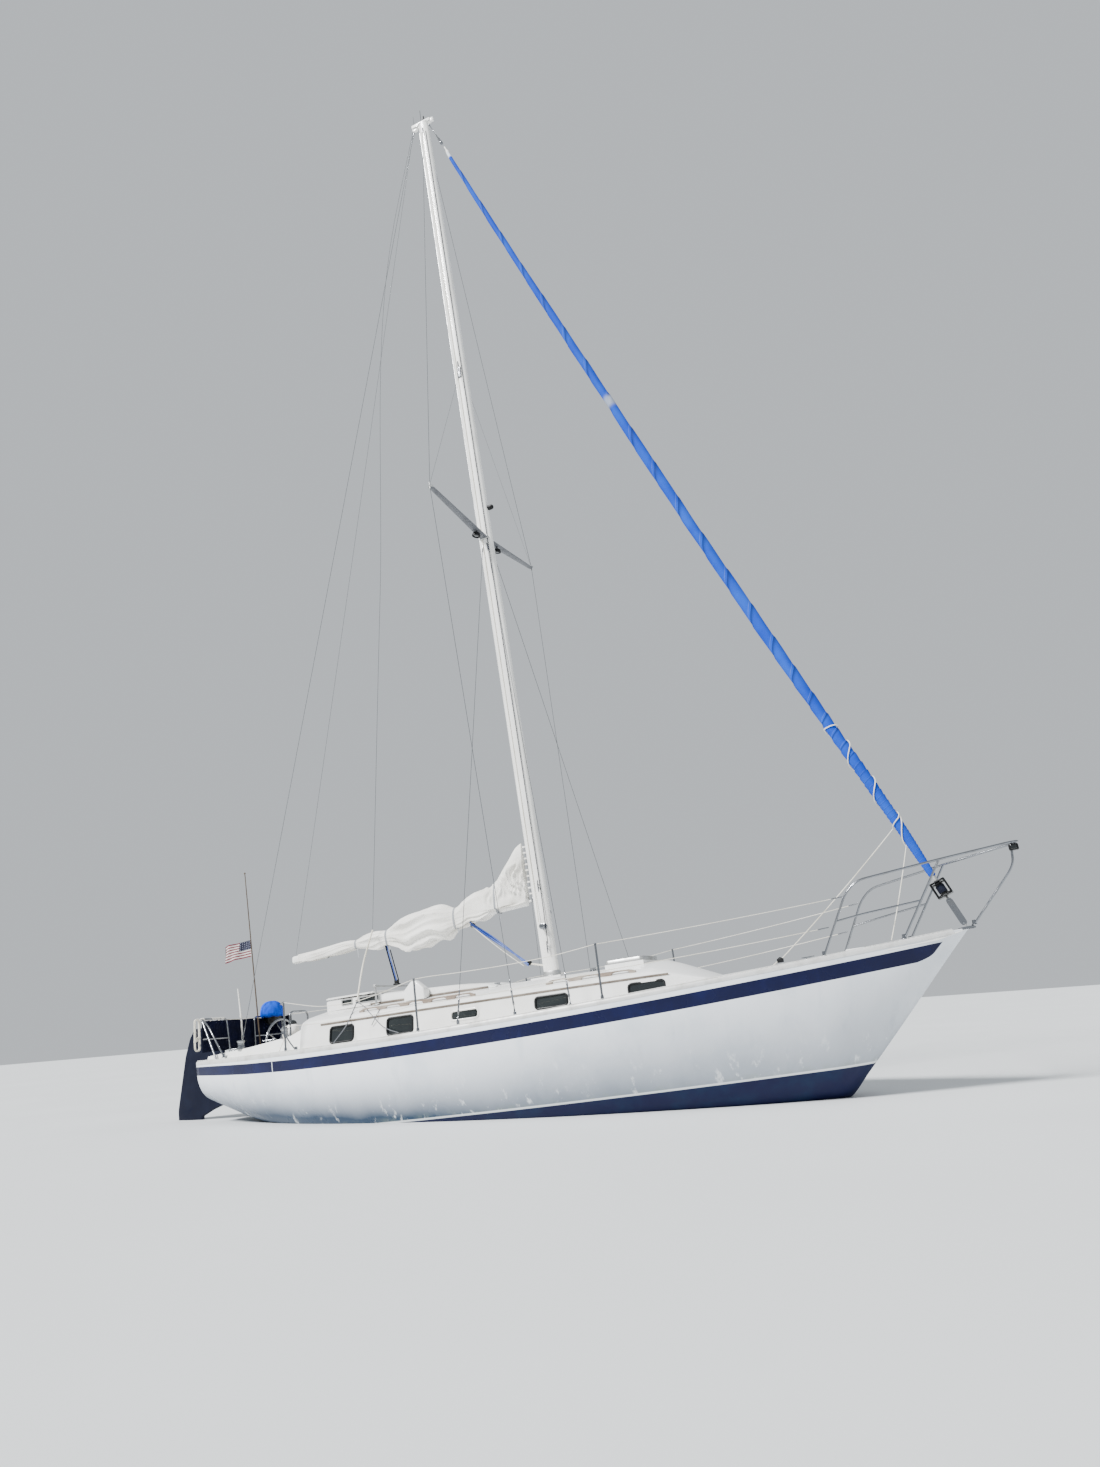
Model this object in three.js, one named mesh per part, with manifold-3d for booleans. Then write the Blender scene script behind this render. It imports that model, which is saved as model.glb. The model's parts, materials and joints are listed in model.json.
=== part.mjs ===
// A 9.77 m masthead sloop with a transom-hung rudder, afloat and trimmed by the stern.
// Units are millimetres. +X is forward, +Y is to port, +Z is up.
// The pieces are drawn in the boat's own level frame, with z = 0 on the painted waterline.
// The last lines trim the whole boat, so that z = 0 of the finished group is the water.
import * as THREE from "three";
import { mergeVertices } from "three/addons/utils/BufferGeometryUtils.js";
import Module from "manifold-3d";

const wasm = await Module();
wasm.setup();

// driving dimensions
const TRIM = THREE.MathUtils.degToRad(3.344); // bow up
const GAP = 0.3; // between pieces that touch
const SHEER_BAND = 60; // depth of the deck moulding at the sheer
const CAMBER = 70; // of the deck, over the full beam
const MAX_BEAM = 3044;
const TRANSOM = { x: -5070, cornerX: -4970, cornerY: 754 }; // bowed in plan
const RAKE = 423 / 13655; // of the mast, aft per unit of height
const MAST = { footZ: 1512, headZ: 15160, long: 198, wide: 132, headScale: 0.86 };
const SPREADER = { z: 7551, half: 1485, rise: 143 };
const CHAIN = { y: 1179, capX: 30, lowerX: 702, z: 1075 };
const WIRE = 4; // radius of the standing rigging
const RAIL = 12.5; // radius of the rails' tubes
const TRUNK_WALL = 32;
const TRUNK_FOOT_Z = 900; // the height at which the trunk's foot is given
const COMPANION = { halfWidth: 320, aft: -3045, front: -2370, sillZ: 1125 };
const HATCH = { aft: -3080, front: -2360, half: 400, z: 1632, crownZ: 1642, thick: 26 };
const TURTLE = { half: 446, wall: 24, z: 1440 };
const COCKPIT = { aft: -4700, front: -3120, soleZ: 560, seatZ: 860, wellHalf: 330, seatHalf: 700 };
const RUDDER_AXIS_X = -5120;
const WHEEL = { x: -4145, z: 1165, radius: 345, tube: 14 };
const GOOSENECK = { x: -152, z: 2470 };
const BOOM = { noseX: -216, endX: -3880, slope: 0.054, deep: 50 };
const TACK = { x: 4760, z: 1440 };
const FORESTAY_TOP = { x: -330, z: 15120 };

// hull stations, from abaft the transom to the stem: fullness is the exponent of the section's curve
const STATIONS = [
  // x, half beam, sheer z, keel z, fullness
  [-5090, 715, 1079, 546, 2.5],
  [-4220, 998, 1050, 215, 2.45],
  [-3470, 1195, 1034, -30, 2.35],
  [-2720, 1346, 1024, -225, 2.25],
  [-1970, 1451, 1022, -355, 2.15],
  [-1220, 1509, 1028, -440, 2.1],
  [-470, 1522, 1041, -480, 2.05],
  [280, 1487, 1062, -490, 2.0],
  [1030, 1399, 1090, -475, 1.9],
  [1780, 1250, 1125, -440, 1.8],
  [2530, 1040, 1169, -370, 1.7],
  [3280, 764, 1219, -170, 1.6],
  [4030, 423, 1277, 560, 1.5],
  [4500, 180, 1318, 1040, 1.4],
  [4790, 16, 1343, 1330, 1.3],
].map(([x, halfBeam, sheer, keel, fullness]) => ({ x, halfBeam, sheer, keel, fullness }));

// cabin trunk sections: half widths at the deck, the shoulder and the roof's edge, and their heights
const TRUNK = [
  // x, foot half, shoulder half, shoulder z, edge half, edge z, crown z
  [-3040, 1065, 1000, 1312, 830, 1412, 1514],
  [-2640, 1060, 985, 1320, 820, 1414, 1520],
  [-1000, 1010, 945, 1322, 785, 1408, 1506],
  [500, 930, 870, 1320, 725, 1402, 1500],
  [1500, 800, 745, 1314, 610, 1396, 1494],
  [1670, 760, 690, 1296, 545, 1352, 1430],
  [2140, 610, 540, 1190, 430, 1205, 1215],
].map(([x, foot, shoulder, shoulderZ, edge, edgeZ, crown]) =>
  ({ x, foot, shoulder, shoulderZ, edge, edgeZ, crown }));

// the cabin's space inside the hull, up into the trunk
const CABIN = [
  // x, floor z, half width of the floor, half width at the berths
  [-2900, 150, 560, 880],
  [-2300, -60, 520, 880],
  [-200, -180, 600, 880],
  [1000, -170, 420, 620],
  [1900, 0, 250, 380],
].map(([x, floorZ, floorHalf, berthHalf]) => ({ x, floorZ, floorHalf, berthHalf }));

// side windows: centre x, bottom z, top z, length
const WINDOWS = [
  [-2430, 1075, 1255, 330],
  [-1605, 1075, 1262, 350],
  [-735, 1133, 1233, 350],
  [355, 1128, 1250, 385],
  [1455, 1140, 1250, 390],
].map(([x, bottom, top, length]) => ({ x, bottom, top, length }));

// rudder sections, from the head down
const RUDDER = [
  // z, leading edge x, trailing edge x
  [1560, -5330, -5700],
  [1440, -5165, -5790],
  [1200, -5155, -5880],
  [830, -5155, -5960],
  [500, -5155, -6030],
  [440, -5380, -6034],
  [370, -5560, -6030],
  [-600, -5530, -5985],
  [-1050, -5600, -5900],
].map(([z, lead, trail]) => ({ z, lead, trail }));

// materials
const paint = (color, roughness = 0.5, metalness = 0) =>
  new THREE.MeshStandardMaterial({ color, roughness, metalness });
const LOOK = {
  gelcoat: () => paint(0xe6e8e6, 0.35),
  deck: () => paint(0xe4e3dd, 0.55),
  navy: () => paint(0x14204a, 0.4),
  antifoul: () => paint(0x1c2a4f, 0.8),
  spar: () => paint(0xe8e8e4, 0.35),
  steel: () => paint(0xc8ccd0, 0.25, 1),
  alloy: () => paint(0xb4b6b8, 0.45, 1),
  glass: () => paint(0x20282a, 0.1),
  wood: () => paint(0x8a6748, 0.7),
  black: () => paint(0x141414, 0.5),
  sail: () => paint(0xdcd8cc, 0.9),
  blueCanvas: () => paint(0x1d5fd0, 0.8),
  cloth: () => paint(0x161c3c, 0.95),
  rope: () => paint(0xe6e2d6, 0.95),
  engine: () => paint(0x5c6468, 0.6),
  bronze: () => paint(0x9a7a44, 0.4, 1),
  flag: () => paint(0xc23a3e, 0.9),
};

// solids
const boat = new THREE.Group();

function solidOf(geometry) {
  const bare = geometry.clone();
  bare.deleteAttribute("normal");
  if (bare.getAttribute("uv")) bare.deleteAttribute("uv");
  const merged = mergeVertices(bare, 0.001);
  return new wasm.Manifold(new wasm.Mesh({
    numProp: 3,
    vertProperties: new Float32Array(merged.attributes.position.array),
    triVerts: new Uint32Array(merged.index.array),
  }));
}

function geometryOf(solid) {
  const { vertProperties, triVerts, numProp } = solid.getMesh();
  const geometry = new THREE.BufferGeometry();
  const positions = new Float32Array((vertProperties.length / numProp) * 3);
  for (let i = 0; i < positions.length / 3; i += 1) {
    positions.set(vertProperties.slice(i * numProp, i * numProp + 3), i * 3);
  }
  geometry.setAttribute("position", new THREE.BufferAttribute(positions, 3));
  geometry.setIndex(new THREE.BufferAttribute(new Uint32Array(triVerts), 1));
  geometry.computeVertexNormals();
  return geometry;
}

const join = (...solids) => solids.reduce((sum, solid) => sum.add(solid));
const cut = (solid, ...tools) => tools.reduce((left, tool) => left.subtract(tool), solid);

function place(name, solid, look) {
  const mesh = new THREE.Mesh(solid.isBufferGeometry ? solid : geometryOf(solid), look());
  mesh.name = name;
  boat.add(mesh);
  return mesh;
}

function box(x0, x1, y0, y1, z0, z1) {
  const geometry = new THREE.BoxGeometry(x1 - x0, y1 - y0, z1 - z0);
  geometry.translate((x0 + x1) / 2, (y0 + y1) / 2, (z0 + z1) / 2);
  return solidOf(geometry);
}

// a straight round bar from one point to another
function bar(from, to, radius, sides = 8, endRadius = radius) {
  const a = new THREE.Vector3(...from);
  const b = new THREE.Vector3(...to);
  const geometry = new THREE.CylinderGeometry(endRadius, radius, a.distanceTo(b), sides);
  const along = b.clone().sub(a).normalize();
  const turn = new THREE.Quaternion().setFromUnitVectors(new THREE.Vector3(0, 1, 0), along);
  geometry.applyQuaternion(turn);
  geometry.translate((a.x + b.x) / 2, (a.y + b.y) / 2, (a.z + b.z) / 2);
  return solidOf(geometry);
}

function ball(centre, radius, sides = 8) {
  const geometry = new THREE.SphereGeometry(radius, sides, Math.max(4, sides / 2));
  geometry.translate(...centre);
  return solidOf(geometry);
}

// a tube through points, with a ball at each knee
function pipe(points, radius, sides = 8) {
  const bars = points.slice(1).map((point, i) => bar(points[i], point, radius, sides));
  const knees = points.slice(1, -1).map((point) => ball(point, radius * 1.02, sides));
  return join(...bars, ...knees);
}

// a loft through closed rings of equally many points, with its end caps in strips
function loft(rings) {
  const count = rings[0].length;
  const positions = rings.flat(2);
  const index = [];
  for (let r = 0; r < rings.length - 1; r += 1) {
    for (let i = 0; i < count; i += 1) {
      const j = (i + 1) % count;
      const [a, b, c, d] = [r * count + i, r * count + j, (r + 1) * count + j, (r + 1) * count + i];
      index.push(a, b, c, a, c, d);
    }
  }
  const last = (rings.length - 1) * count;
  for (let i = 0, j = count - 1; j - i > 1; ) {
    index.push(i, j, i + 1);
    index.push(last + i, last + i + 1, last + j);
    i += 1;
    if (j - i > 1) {
      index.push(i, j, j - 1);
      index.push(last + i, last + j - 1, last + j);
      j -= 1;
    }
  }
  const geometry = new THREE.BufferGeometry();
  geometry.setAttribute("position", new THREE.Float32BufferAttribute(positions, 3));
  geometry.setIndex(index);
  const solid = solidOf(geometry);
  if (solid.volume() > 0) return solid;
  for (let t = 0; t < index.length; t += 3) [index[t], index[t + 1]] = [index[t + 1], index[t]];
  geometry.setIndex(index);
  return solidOf(geometry);
}

// hull and deck
const HALF_POINTS = 8; // along a half section
const DECK_POINTS = 4; // across a half deck

// half section: a superellipse from the sheer to the keel line
function halfSection(station, side) {
  const points = [];
  for (let i = 1; i < HALF_POINTS; i += 1) {
    const angle = (i / HALF_POINTS) * (Math.PI / 2);
    const power = 2 / station.fullness;
    const y = station.halfBeam * Math.cos(angle) ** power;
    const z = station.sheer - (station.sheer - station.keel) * Math.sin(angle) ** power;
    points.push([station.x, side * y, z]);
  }
  return points;
}

function hullRing(station) {
  const port = halfSection(station, 1);
  const starboard = halfSection(station, -1).reverse();
  return [
    [station.x, station.halfBeam, station.sheer],
    ...port,
    [station.x, 0, station.keel],
    ...starboard,
    [station.x, -station.halfBeam, station.sheer],
  ];
}

const deckRise = (station, y) => {
  const crown = CAMBER * (station.halfBeam / (MAX_BEAM / 2));
  return crown * (1 - (y / station.halfBeam) ** 2);
};

// the deck moulding's band: from below the sheer up to the cambered deck, raised by some clearance
function deckRing(station, bottom, raise, grow = 0) {
  const top = [];
  for (let i = -DECK_POINTS; i <= DECK_POINTS; i += 1) {
    const y = (i / DECK_POINTS) * station.halfBeam;
    top.push([station.x, y + Math.sign(i) * grow, station.sheer + deckRise(station, y) + raise]);
  }
  const low = Math.max(station.sheer - bottom, station.keel);
  return [...top, [station.x, station.halfBeam + grow, low], [station.x, -station.halfBeam - grow, low]];
}

// what lies abaft the bowed transom
const sag = TRANSOM.cornerX - TRANSOM.x;
const bow = (TRANSOM.cornerY ** 2 + sag ** 2) / (2 * sag);
function abaftTransom(clearance) {
  const drum = new THREE.CylinderGeometry(bow + clearance, bow + clearance, 3000, 144);
  drum.rotateX(Math.PI / 2);
  drum.translate(TRANSOM.x + bow, 0, 900);
  return cut(box(-5400, -4700, -1200, 1200, 200, 1700), solidOf(drum));
}
const aft = abaftTransom(0);

const rawHull = cut(loft(STATIONS.map(hullRing)), aft);
const deckBand = cut(loft(STATIONS.map((station) => deckRing(station, SHEER_BAND, 0))), aft);
const overSheer = loft(STATIONS.map((station) => deckRing(station, SHEER_BAND + GAP, 300, 30)));
const deckWithGap = loft(STATIONS.map((station) => deckRing(station, 400, GAP, 10)));

function trunkRing(section, inset, floor) {
  const inner = (half) => Math.max(half - inset, 20);
  const { x, foot, shoulder, shoulderZ, edge, edgeZ, crown } = section;
  const lean = (shoulder - foot) / (shoulderZ - TRUNK_FOOT_Z);
  const half = [
    [inner(foot) + lean * (floor - TRUNK_FOOT_Z), floor],
    [inner(shoulder), shoulderZ - inset * 0.5],
    [inner(shoulder * 0.72 + edge * 0.28), shoulderZ * 0.5 + edgeZ * 0.5 - inset * 0.7],
    [inner(edge), edgeZ - inset],
    [inner(edge) * 0.5, crown - (crown - edgeZ) * 0.25 - inset],
  ];
  return [
    ...half.map(([y, z]) => [x, y, z]),
    [x, 0, crown - inset],
    ...half.reverse().map(([y, z]) => [x, -y, z]),
  ];
}

function trunkSolid(inset, floor = TRUNK_FOOT_Z) {
  const sections = TRUNK.map((section, i) => {
    const end = i === 0 ? inset : i === TRUNK.length - 1 ? -inset * 1.5 : 0;
    return trunkRing({ ...section, x: section.x + end }, inset, floor);
  });
  return loft(sections);
}

// height of the roof above a point, part of the way from the shoulder's bend to the crown
const between = (a, b, share) => a + (b - a) * share;
function trunkAt(x) {
  const i = Math.max(1, TRUNK.findIndex((section) => section.x >= x));
  const [a, b] = [TRUNK[i - 1], TRUNK[i]];
  const share = (x - a.x) / (b.x - a.x);
  return {
    edge: between(a.edge, b.edge, share),
    edgeZ: between(a.edgeZ, b.edgeZ, share),
    crown: between(a.crown, b.crown, share),
    bend: between(a.shoulder * 0.72 + a.edge * 0.28, b.shoulder * 0.72 + b.edge * 0.28, share),
    bendZ: between(a.shoulderZ + a.edgeZ, b.shoulderZ + b.edgeZ, share) / 2,
  };
}

const BERTH_Z = 350;
const cabinSpace = loft(CABIN.map(({ x, floorZ, floorHalf, berthHalf }) => [
  [x, berthHalf, 1400], [x, berthHalf, BERTH_Z], [x, floorHalf, floorZ],
  [x, -floorHalf, floorZ], [x, -berthHalf, BERTH_Z], [x, -berthHalf, 1400],
]));

const cockpitWell = join(
  box(COCKPIT.aft, COCKPIT.front, -COCKPIT.wellHalf, COCKPIT.wellHalf, COCKPIT.soleZ, 1500),
  box(COCKPIT.aft, COCKPIT.front, -COCKPIT.seatHalf, COCKPIT.seatHalf, COCKPIT.seatZ, 1500),
);

const hullWithGap = loft(STATIONS.map((station) =>
  hullRing({ ...station, halfBeam: station.halfBeam + 1, keel: station.keel - 1 })));

const KEEL = { top: -560, stubTop: -300, stubHalf: 110 };
const keelStub = box(-1500, 900, -KEEL.stubHalf, KEEL.stubHalf, KEEL.top, KEEL.stubTop);
place("hull", cut(join(rawHull, keelStub), overSheer, cabinSpace, cockpitWell), LOOK.gelcoat);

// coamings round the cockpit, part of the deck moulding
const COAMING = [
  // x, inner half width, outer half width, top z
  [-4780, 560, 780, 1134],
  [-4000, 740, 860, 1172],
  [-3300, 760, 930, 1232],
  [-3055, 760, 985, 1296],
];
const COAMING_FOOT_Z = 1030;
const coamings = [-1, 1].map((side) => loft(COAMING.map(([x, inner, outer, top]) => [
  [x, side * inner, COAMING_FOOT_Z], [x, side * inner, top],
  [x, side * (outer - 40), top], [x, side * outer, COAMING_FOOT_Z],
])));
const deckSolid = cut(join(cut(deckBand, cockpitWell), ...coamings), cockpitWell, cabinSpace);
place("deck", deckSolid, LOOK.deck);

// cabin trunk, with its windows, its companionway and its fore hatch cut
const FORE_HATCH = { aft: 840, front: 1260, half: 240, rim: 30, z: 1526, thick: 48 };
const sideRange = (side, inner, outer) => (side > 0 ? [inner, outer] : [-outer, -inner]);
function windowPrism(window, side, shrink) {
  const half = window.length / 2 - shrink;
  return box(window.x - half, window.x + half, ...sideRange(side, 300, 1300),
    window.bottom + shrink, window.top - shrink);
}
const windowCuts = WINDOWS.flatMap((window) => [windowPrism(window, 1, 0), windowPrism(window, -1, 0)]);
const companionCut = box(
  -3200, COMPANION.front, -COMPANION.halfWidth, COMPANION.halfWidth, TRUNK_FOOT_Z, 1700);
const foreHatchCut = box(
  FORE_HATCH.aft, FORE_HATCH.front, -FORE_HATCH.half, FORE_HATCH.half, 1300, 1700);
const foreHatchRim = box(
  FORE_HATCH.aft - FORE_HATCH.rim, FORE_HATCH.front + FORE_HATCH.rim,
  -FORE_HATCH.half - FORE_HATCH.rim, FORE_HATCH.half + FORE_HATCH.rim, 1440, FORE_HATCH.z - GAP);
const mastStep = box(-220, 180, -160, 160, 1460, MAST.footZ);
const trunk = cut(
  join(cut(trunkSolid(0), trunkSolid(TRUNK_WALL, 800)), mastStep, foreHatchRim),
  deckWithGap, ...windowCuts, companionCut, foreHatchCut,
);
place("cabin_trunk", trunk, LOOK.deck);

// the panes of one side, joined inside the cabin by the strip that holds them
const PANE = { outer: 8, inner: 40 };
const paneSkin = cut(trunkSolid(PANE.outer), trunkSolid(PANE.inner, 800));
const stripSkin = cut(trunkSolid(TRUNK_WALL + 2), trunkSolid(PANE.inner, 800));
for (const [name, side] of [["windows_port", 1], ["windows_starboard", -1]]) {
  const panes = WINDOWS.map((window) => paneSkin.intersect(windowPrism(window, side, GAP)));
  const strip = stripSkin.intersect(box(-2500, 1560, ...sideRange(side, 300, 1300), 1175, 1225));
  place(name, cut(join(strip, ...panes), deckWithGap), LOOK.glass);
}

// companionway: boards that drop in, a raised turtle deck with side lights, and a hatch that slides over it
const boardHalf = COMPANION.halfWidth + 40;
place("washboards", box(COMPANION.aft - 27, COMPANION.aft - 5, -boardHalf, boardHalf, COMPANION.sillZ, 1624),
  LOOK.wood);

const crownRing = (x, half, low, sideZ, crownZ) => [
  [x, half, low], [x, half, sideZ], [x, half * 0.9, between(sideZ, crownZ, 0.55)], [x, 0, crownZ],
  [x, -half * 0.9, between(sideZ, crownZ, 0.55)], [x, -half, sideZ], [x, -half, low],
];
const TURTLE_SHAPE = [
  // x, side z, crown z
  [-3040, 1602, 1626],
  [-2330, 1598, 1624],
  [-1745, 1574, 1602],
  [-1150, 1552, 1584],
  [-700, 1506, 1540],
  [-560, 1470, 1502],
];
const turtleLoft = (inset, low) => loft(TURTLE_SHAPE.map(([x, sideZ, crownZ], i) => {
  const end = i === 0 ? x - inset : i === TURTLE_SHAPE.length - 1 ? x - inset * 2 : x;
  return crownRing(end, TURTLE.half - inset, low, sideZ - inset, crownZ - inset);
}));
const turtleOpening = box(-3200, COMPANION.front, -COMPANION.halfWidth, COMPANION.halfWidth, 1300, 1800);
const SIDE_LIGHTS = [
  // aft x, front x, bottom z, top z
  [-2800, -2645, 1534, 1598],
  [-2530, -2235, 1534, 1598],
];
const lightCuts = SIDE_LIGHTS.map(([x0, x1, z0, z1]) => box(x0, x1, -800, 800, z0, z1));
place("turtle_deck", cut(turtleLoft(0, TURTLE.z), turtleLoft(TURTLE.wall, TURTLE.z - 40), turtleOpening,
  ...lightCuts, trunkSolid(-GAP)), LOOK.deck);
const hatchRing = (x) => [
  [x, HATCH.half, HATCH.z], [x, HATCH.half, HATCH.z + HATCH.thick * 0.6],
  [x, HATCH.half * 0.93, HATCH.z + HATCH.thick], [x, 0, HATCH.crownZ + HATCH.thick],
  [x, -HATCH.half * 0.93, HATCH.z + HATCH.thick], [x, -HATCH.half, HATCH.z + HATCH.thick * 0.6],
  [x, -HATCH.half, HATCH.z],
];
place("companionway_hatch", loft([HATCH.aft, HATCH.front].map(hatchRing)), LOOK.deck);
const ventRing = (x0, x1, y0, y1, z) => [[x0, y0, z], [x1, y0, z], [x1, y1, z], [x0, y1, z]];
place("cowl_vent", cut(loft([
  ventRing(-1780, -1470, -590, -460, 1400), ventRing(-1770, -1480, -590, -460, 1580),
  ventRing(-1672, -1600, -565, -480, 1688),
]), trunkSolid(-GAP)), LOOK.deck);

const hatchX0 = FORE_HATCH.aft - FORE_HATCH.rim;
const hatchX1 = FORE_HATCH.front + FORE_HATCH.rim;
const hatchHalf = FORE_HATCH.half + FORE_HATCH.rim;
place("fore_hatch", box(
  hatchX0, hatchX1, -hatchHalf, hatchHalf, FORE_HATCH.z, FORE_HATCH.z + FORE_HATCH.thick), LOOK.glass);

// handrails along the roof, with a row of finger loops
const HANDRAIL = { high: 42, half: 13, loop: 200, loopHigh: 27 };
const handrailAt = (x) => {
  const roof = trunkAt(x);
  return { y: (roof.edge + roof.bend) / 2, z: (roof.edgeZ + roof.bendZ) / 2 };
};
for (const [side, sideName] of [[1, "port"], [-1, "starboard"]]) {
  for (const [start, end, loops, spot] of [[-2240, -640, 5, "aft"], [270, 1330, 3, "fore"]]) {
    const ring = (x, low, high, half) => {
      const { y, z } = handrailAt(x);
      return [[x, side * (y - half), z + low], [x, side * (y + half), z + low],
        [x, side * (y + half), z + high], [x, side * (y - half), z + high]];
    };
    const pitch = (end - start) / loops;
    const holes = [];
    for (let i = 0; i < loops; i += 1) {
      const middle = start + pitch * (i + 0.5);
      holes.push(loft([-0.5, -0.36, 0.36, 0.5].map((share) => {
        const arch = Math.abs(share) > 0.4 ? 0.45 : 1;
        return ring(middle + HANDRAIL.loop * share, -20, HANDRAIL.loopHigh * arch, 40);
      })));
    }
    const xs = [start, start + 40, ...(spot === "aft" ? [-1000] : [500]), end - 40, end];
    const rail = loft(xs.map((x, i) => {
      const tip = i === 0 || i === xs.length - 1 ? HANDRAIL.high * 0.5 : HANDRAIL.high;
      return ring(x, -30, tip, HANDRAIL.half);
    }));
    place(`handrail_${spot}_${sideName}`, cut(rail, ...holes, trunkSolid(-GAP)), LOOK.wood);
  }
}

// toe rails on the sheer
const TOE_RAIL = { outer: 6, thick: 8, foot: 3, top: 40 };
for (const [name, side] of [["toe_rail_port", 1], ["toe_rail_starboard", -1]]) {
  const rings = STATIONS.slice(0, -1).map(({ x, halfBeam, sheer }) => {
    const outer = side * (halfBeam - TOE_RAIL.outer);
    const inner = side * (halfBeam - TOE_RAIL.outer - TOE_RAIL.thick);
    return [
      [x, outer, sheer + TOE_RAIL.foot], [x, inner, sheer + TOE_RAIL.foot],
      [x, inner, sheer + TOE_RAIL.top], [x, outer, sheer + TOE_RAIL.top],
    ];
  });
  place(name, cut(loft(rings), aft), LOOK.alloy);
}

// fin keel
const finSection = (chord, thick, x0, z) => [
  [x0, 0, z], [x0 - chord * 0.04, thick * 0.25, z], [x0 - chord * 0.14, thick * 0.43, z],
  [x0 - chord * 0.35, thick * 0.5, z], [x0 - chord, 6, z], [x0 - chord, -6, z],
  [x0 - chord * 0.35, -thick * 0.5, z], [x0 - chord * 0.14, -thick * 0.43, z],
  [x0 - chord * 0.04, -thick * 0.25, z],
];
place("fin_keel", loft([
  finSection(2300, 210, 850, KEEL.top - GAP), finSection(1500, 170, 350, -1650),
]), LOOK.antifoul);

// rudder, hung on two pintles in the transom's gudgeons
const RUDDER_THICK = 58;
const PINTLE = { zs: [985, 640], radius: 9, eye: 11.5, eyeOuter: 23, lugHigh: 26, lugHalf: 17 };
const blade = loft(RUDDER.map(({ z, lead, trail }) => {
  const chord = lead - trail;
  const half = RUDDER_THICK / 2;
  return [
    [lead, half * 0.35, z], [lead - chord * 0.06, half * 0.8, z], [lead - chord * 0.3, half, z],
    [trail + chord * 0.25, half * 0.7, z], [trail, 5, z], [trail, -5, z],
    [trail + chord * 0.25, -half * 0.7, z], [lead - chord * 0.3, -half, z],
    [lead - chord * 0.06, -half * 0.8, z], [lead, -half * 0.35, z],
  ];
}));
const pintles = PINTLE.zs.map((z) => join(
  box(-5170, RUDDER_AXIS_X + 8, -PINTLE.lugHalf, PINTLE.lugHalf, z + 2, z + 2 + PINTLE.lugHigh),
  bar([RUDDER_AXIS_X, 0, z - 45], [RUDDER_AXIS_X, 0, z + 10], PINTLE.radius, 16),
));
place("rudder", join(blade, ...pintles), LOOK.navy);
const gudgeons = PINTLE.zs.map((z) => cut(join(
  box(TRANSOM.x - 13, TRANSOM.x - GAP, -62, 62, z - 30, z),
  box(RUDDER_AXIS_X, TRANSOM.x - 1, -16, 16, z - 30, z),
  bar([RUDDER_AXIS_X, 0, z - 30], [RUDDER_AXIS_X, 0, z], PINTLE.eyeOuter, 16),
), bar([RUDDER_AXIS_X, 0, z - 60], [RUDDER_AXIS_X, 0, z + 30], PINTLE.eye, 16)));
const gudgeonStrap = box(TRANSOM.x - 8, TRANSOM.x - GAP, -26, 26, 620, 990);
place("rudder_gudgeons", join(gudgeonStrap, ...gudgeons), LOOK.steel);

// shaft, strut and propeller
const SHAFT = { from: [-3300, 0, -150], to: [-4020, 0, -330], radius: 14 };
const strut = box(-3960, -3880, -8, 8, -320, 200);
place("propeller_shaft", cut(join(bar(SHAFT.from, SHAFT.to, SHAFT.radius, 12), strut), hullWithGap),
  LOOK.steel);
const shaftWay = new THREE.Vector3(...SHAFT.to).sub(new THREE.Vector3(...SHAFT.from)).normalize();
const alongShaft = (distance) =>
  new THREE.Vector3(...SHAFT.to).addScaledVector(shaftWay, distance).toArray();
const HUB = { start: 6, middle: 51, end: 96, radius: 32 };
const blades = [0, 1].map((i) => {
  const geometry = new THREE.BoxGeometry(8, 90, 200);
  geometry.translate(0, 0, 110);
  geometry.rotateZ(0.5);
  geometry.rotateX(i * Math.PI + 0.5);
  geometry.translate(...alongShaft(HUB.middle));
  return solidOf(geometry);
});
place("propeller", join(bar(alongShaft(HUB.start), alongShaft(HUB.end), HUB.radius, 12), ...blades),
  LOOK.bronze);
place("engine", box(-2860, -2260, -230, 230, 160, 620), LOOK.engine);

// steering pedestal, its guard and the wheel
const PEDESTAL_X = -3960;
const soleTop = COCKPIT.soleZ + GAP;
place("steering_pedestal", join(
  bar([PEDESTAL_X, 0, soleTop], [PEDESTAL_X, 0, 1300], 75, 12, 60),
  bar([PEDESTAL_X, 0, 1290], [PEDESTAL_X, 0, 1420], 85, 12, 70),
), LOOK.gelcoat);
place("pedestal_guard", pipe([
  [-3850, -190, soleTop], [-3850, -190, 1500], [-3850, -130, 1580],
  [-3850, 130, 1580], [-3850, 190, 1500], [-3850, 190, soleTop],
], RAIL), LOOK.steel);
const rim = new THREE.TorusGeometry(WHEEL.radius, WHEEL.tube, 8, 32);
rim.rotateY(Math.PI / 2);
rim.translate(WHEEL.x, 0, WHEEL.z);
const spokes = [0, 1, 2].map((i) => {
  const angle = (i * Math.PI) / 3;
  const reach = [Math.cos(angle) * WHEEL.radius, Math.sin(angle) * WHEEL.radius];
  return bar([WHEEL.x, -reach[0], WHEEL.z - reach[1]], [WHEEL.x, reach[0], WHEEL.z + reach[1]], 7, 6);
});
const wheelHub = bar([WHEEL.x - 20, 0, WHEEL.z], [WHEEL.x + 70, 0, WHEEL.z], 34, 12);
place("steering_wheel", join(solidOf(rim), ...spokes, wheelHub), LOOK.steel);

// seat lockers: lids hinged on their outboard edges
for (const [name, side] of [["locker_lid_port", 1], ["locker_lid_starboard", -1]]) {
  const span = sideRange(side, COCKPIT.wellHalf + 10, COCKPIT.seatHalf - 20);
  place(name, box(-4050, -3200, ...span, COCKPIT.seatZ + GAP, COCKPIT.seatZ + 30), LOOK.deck);
}

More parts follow.
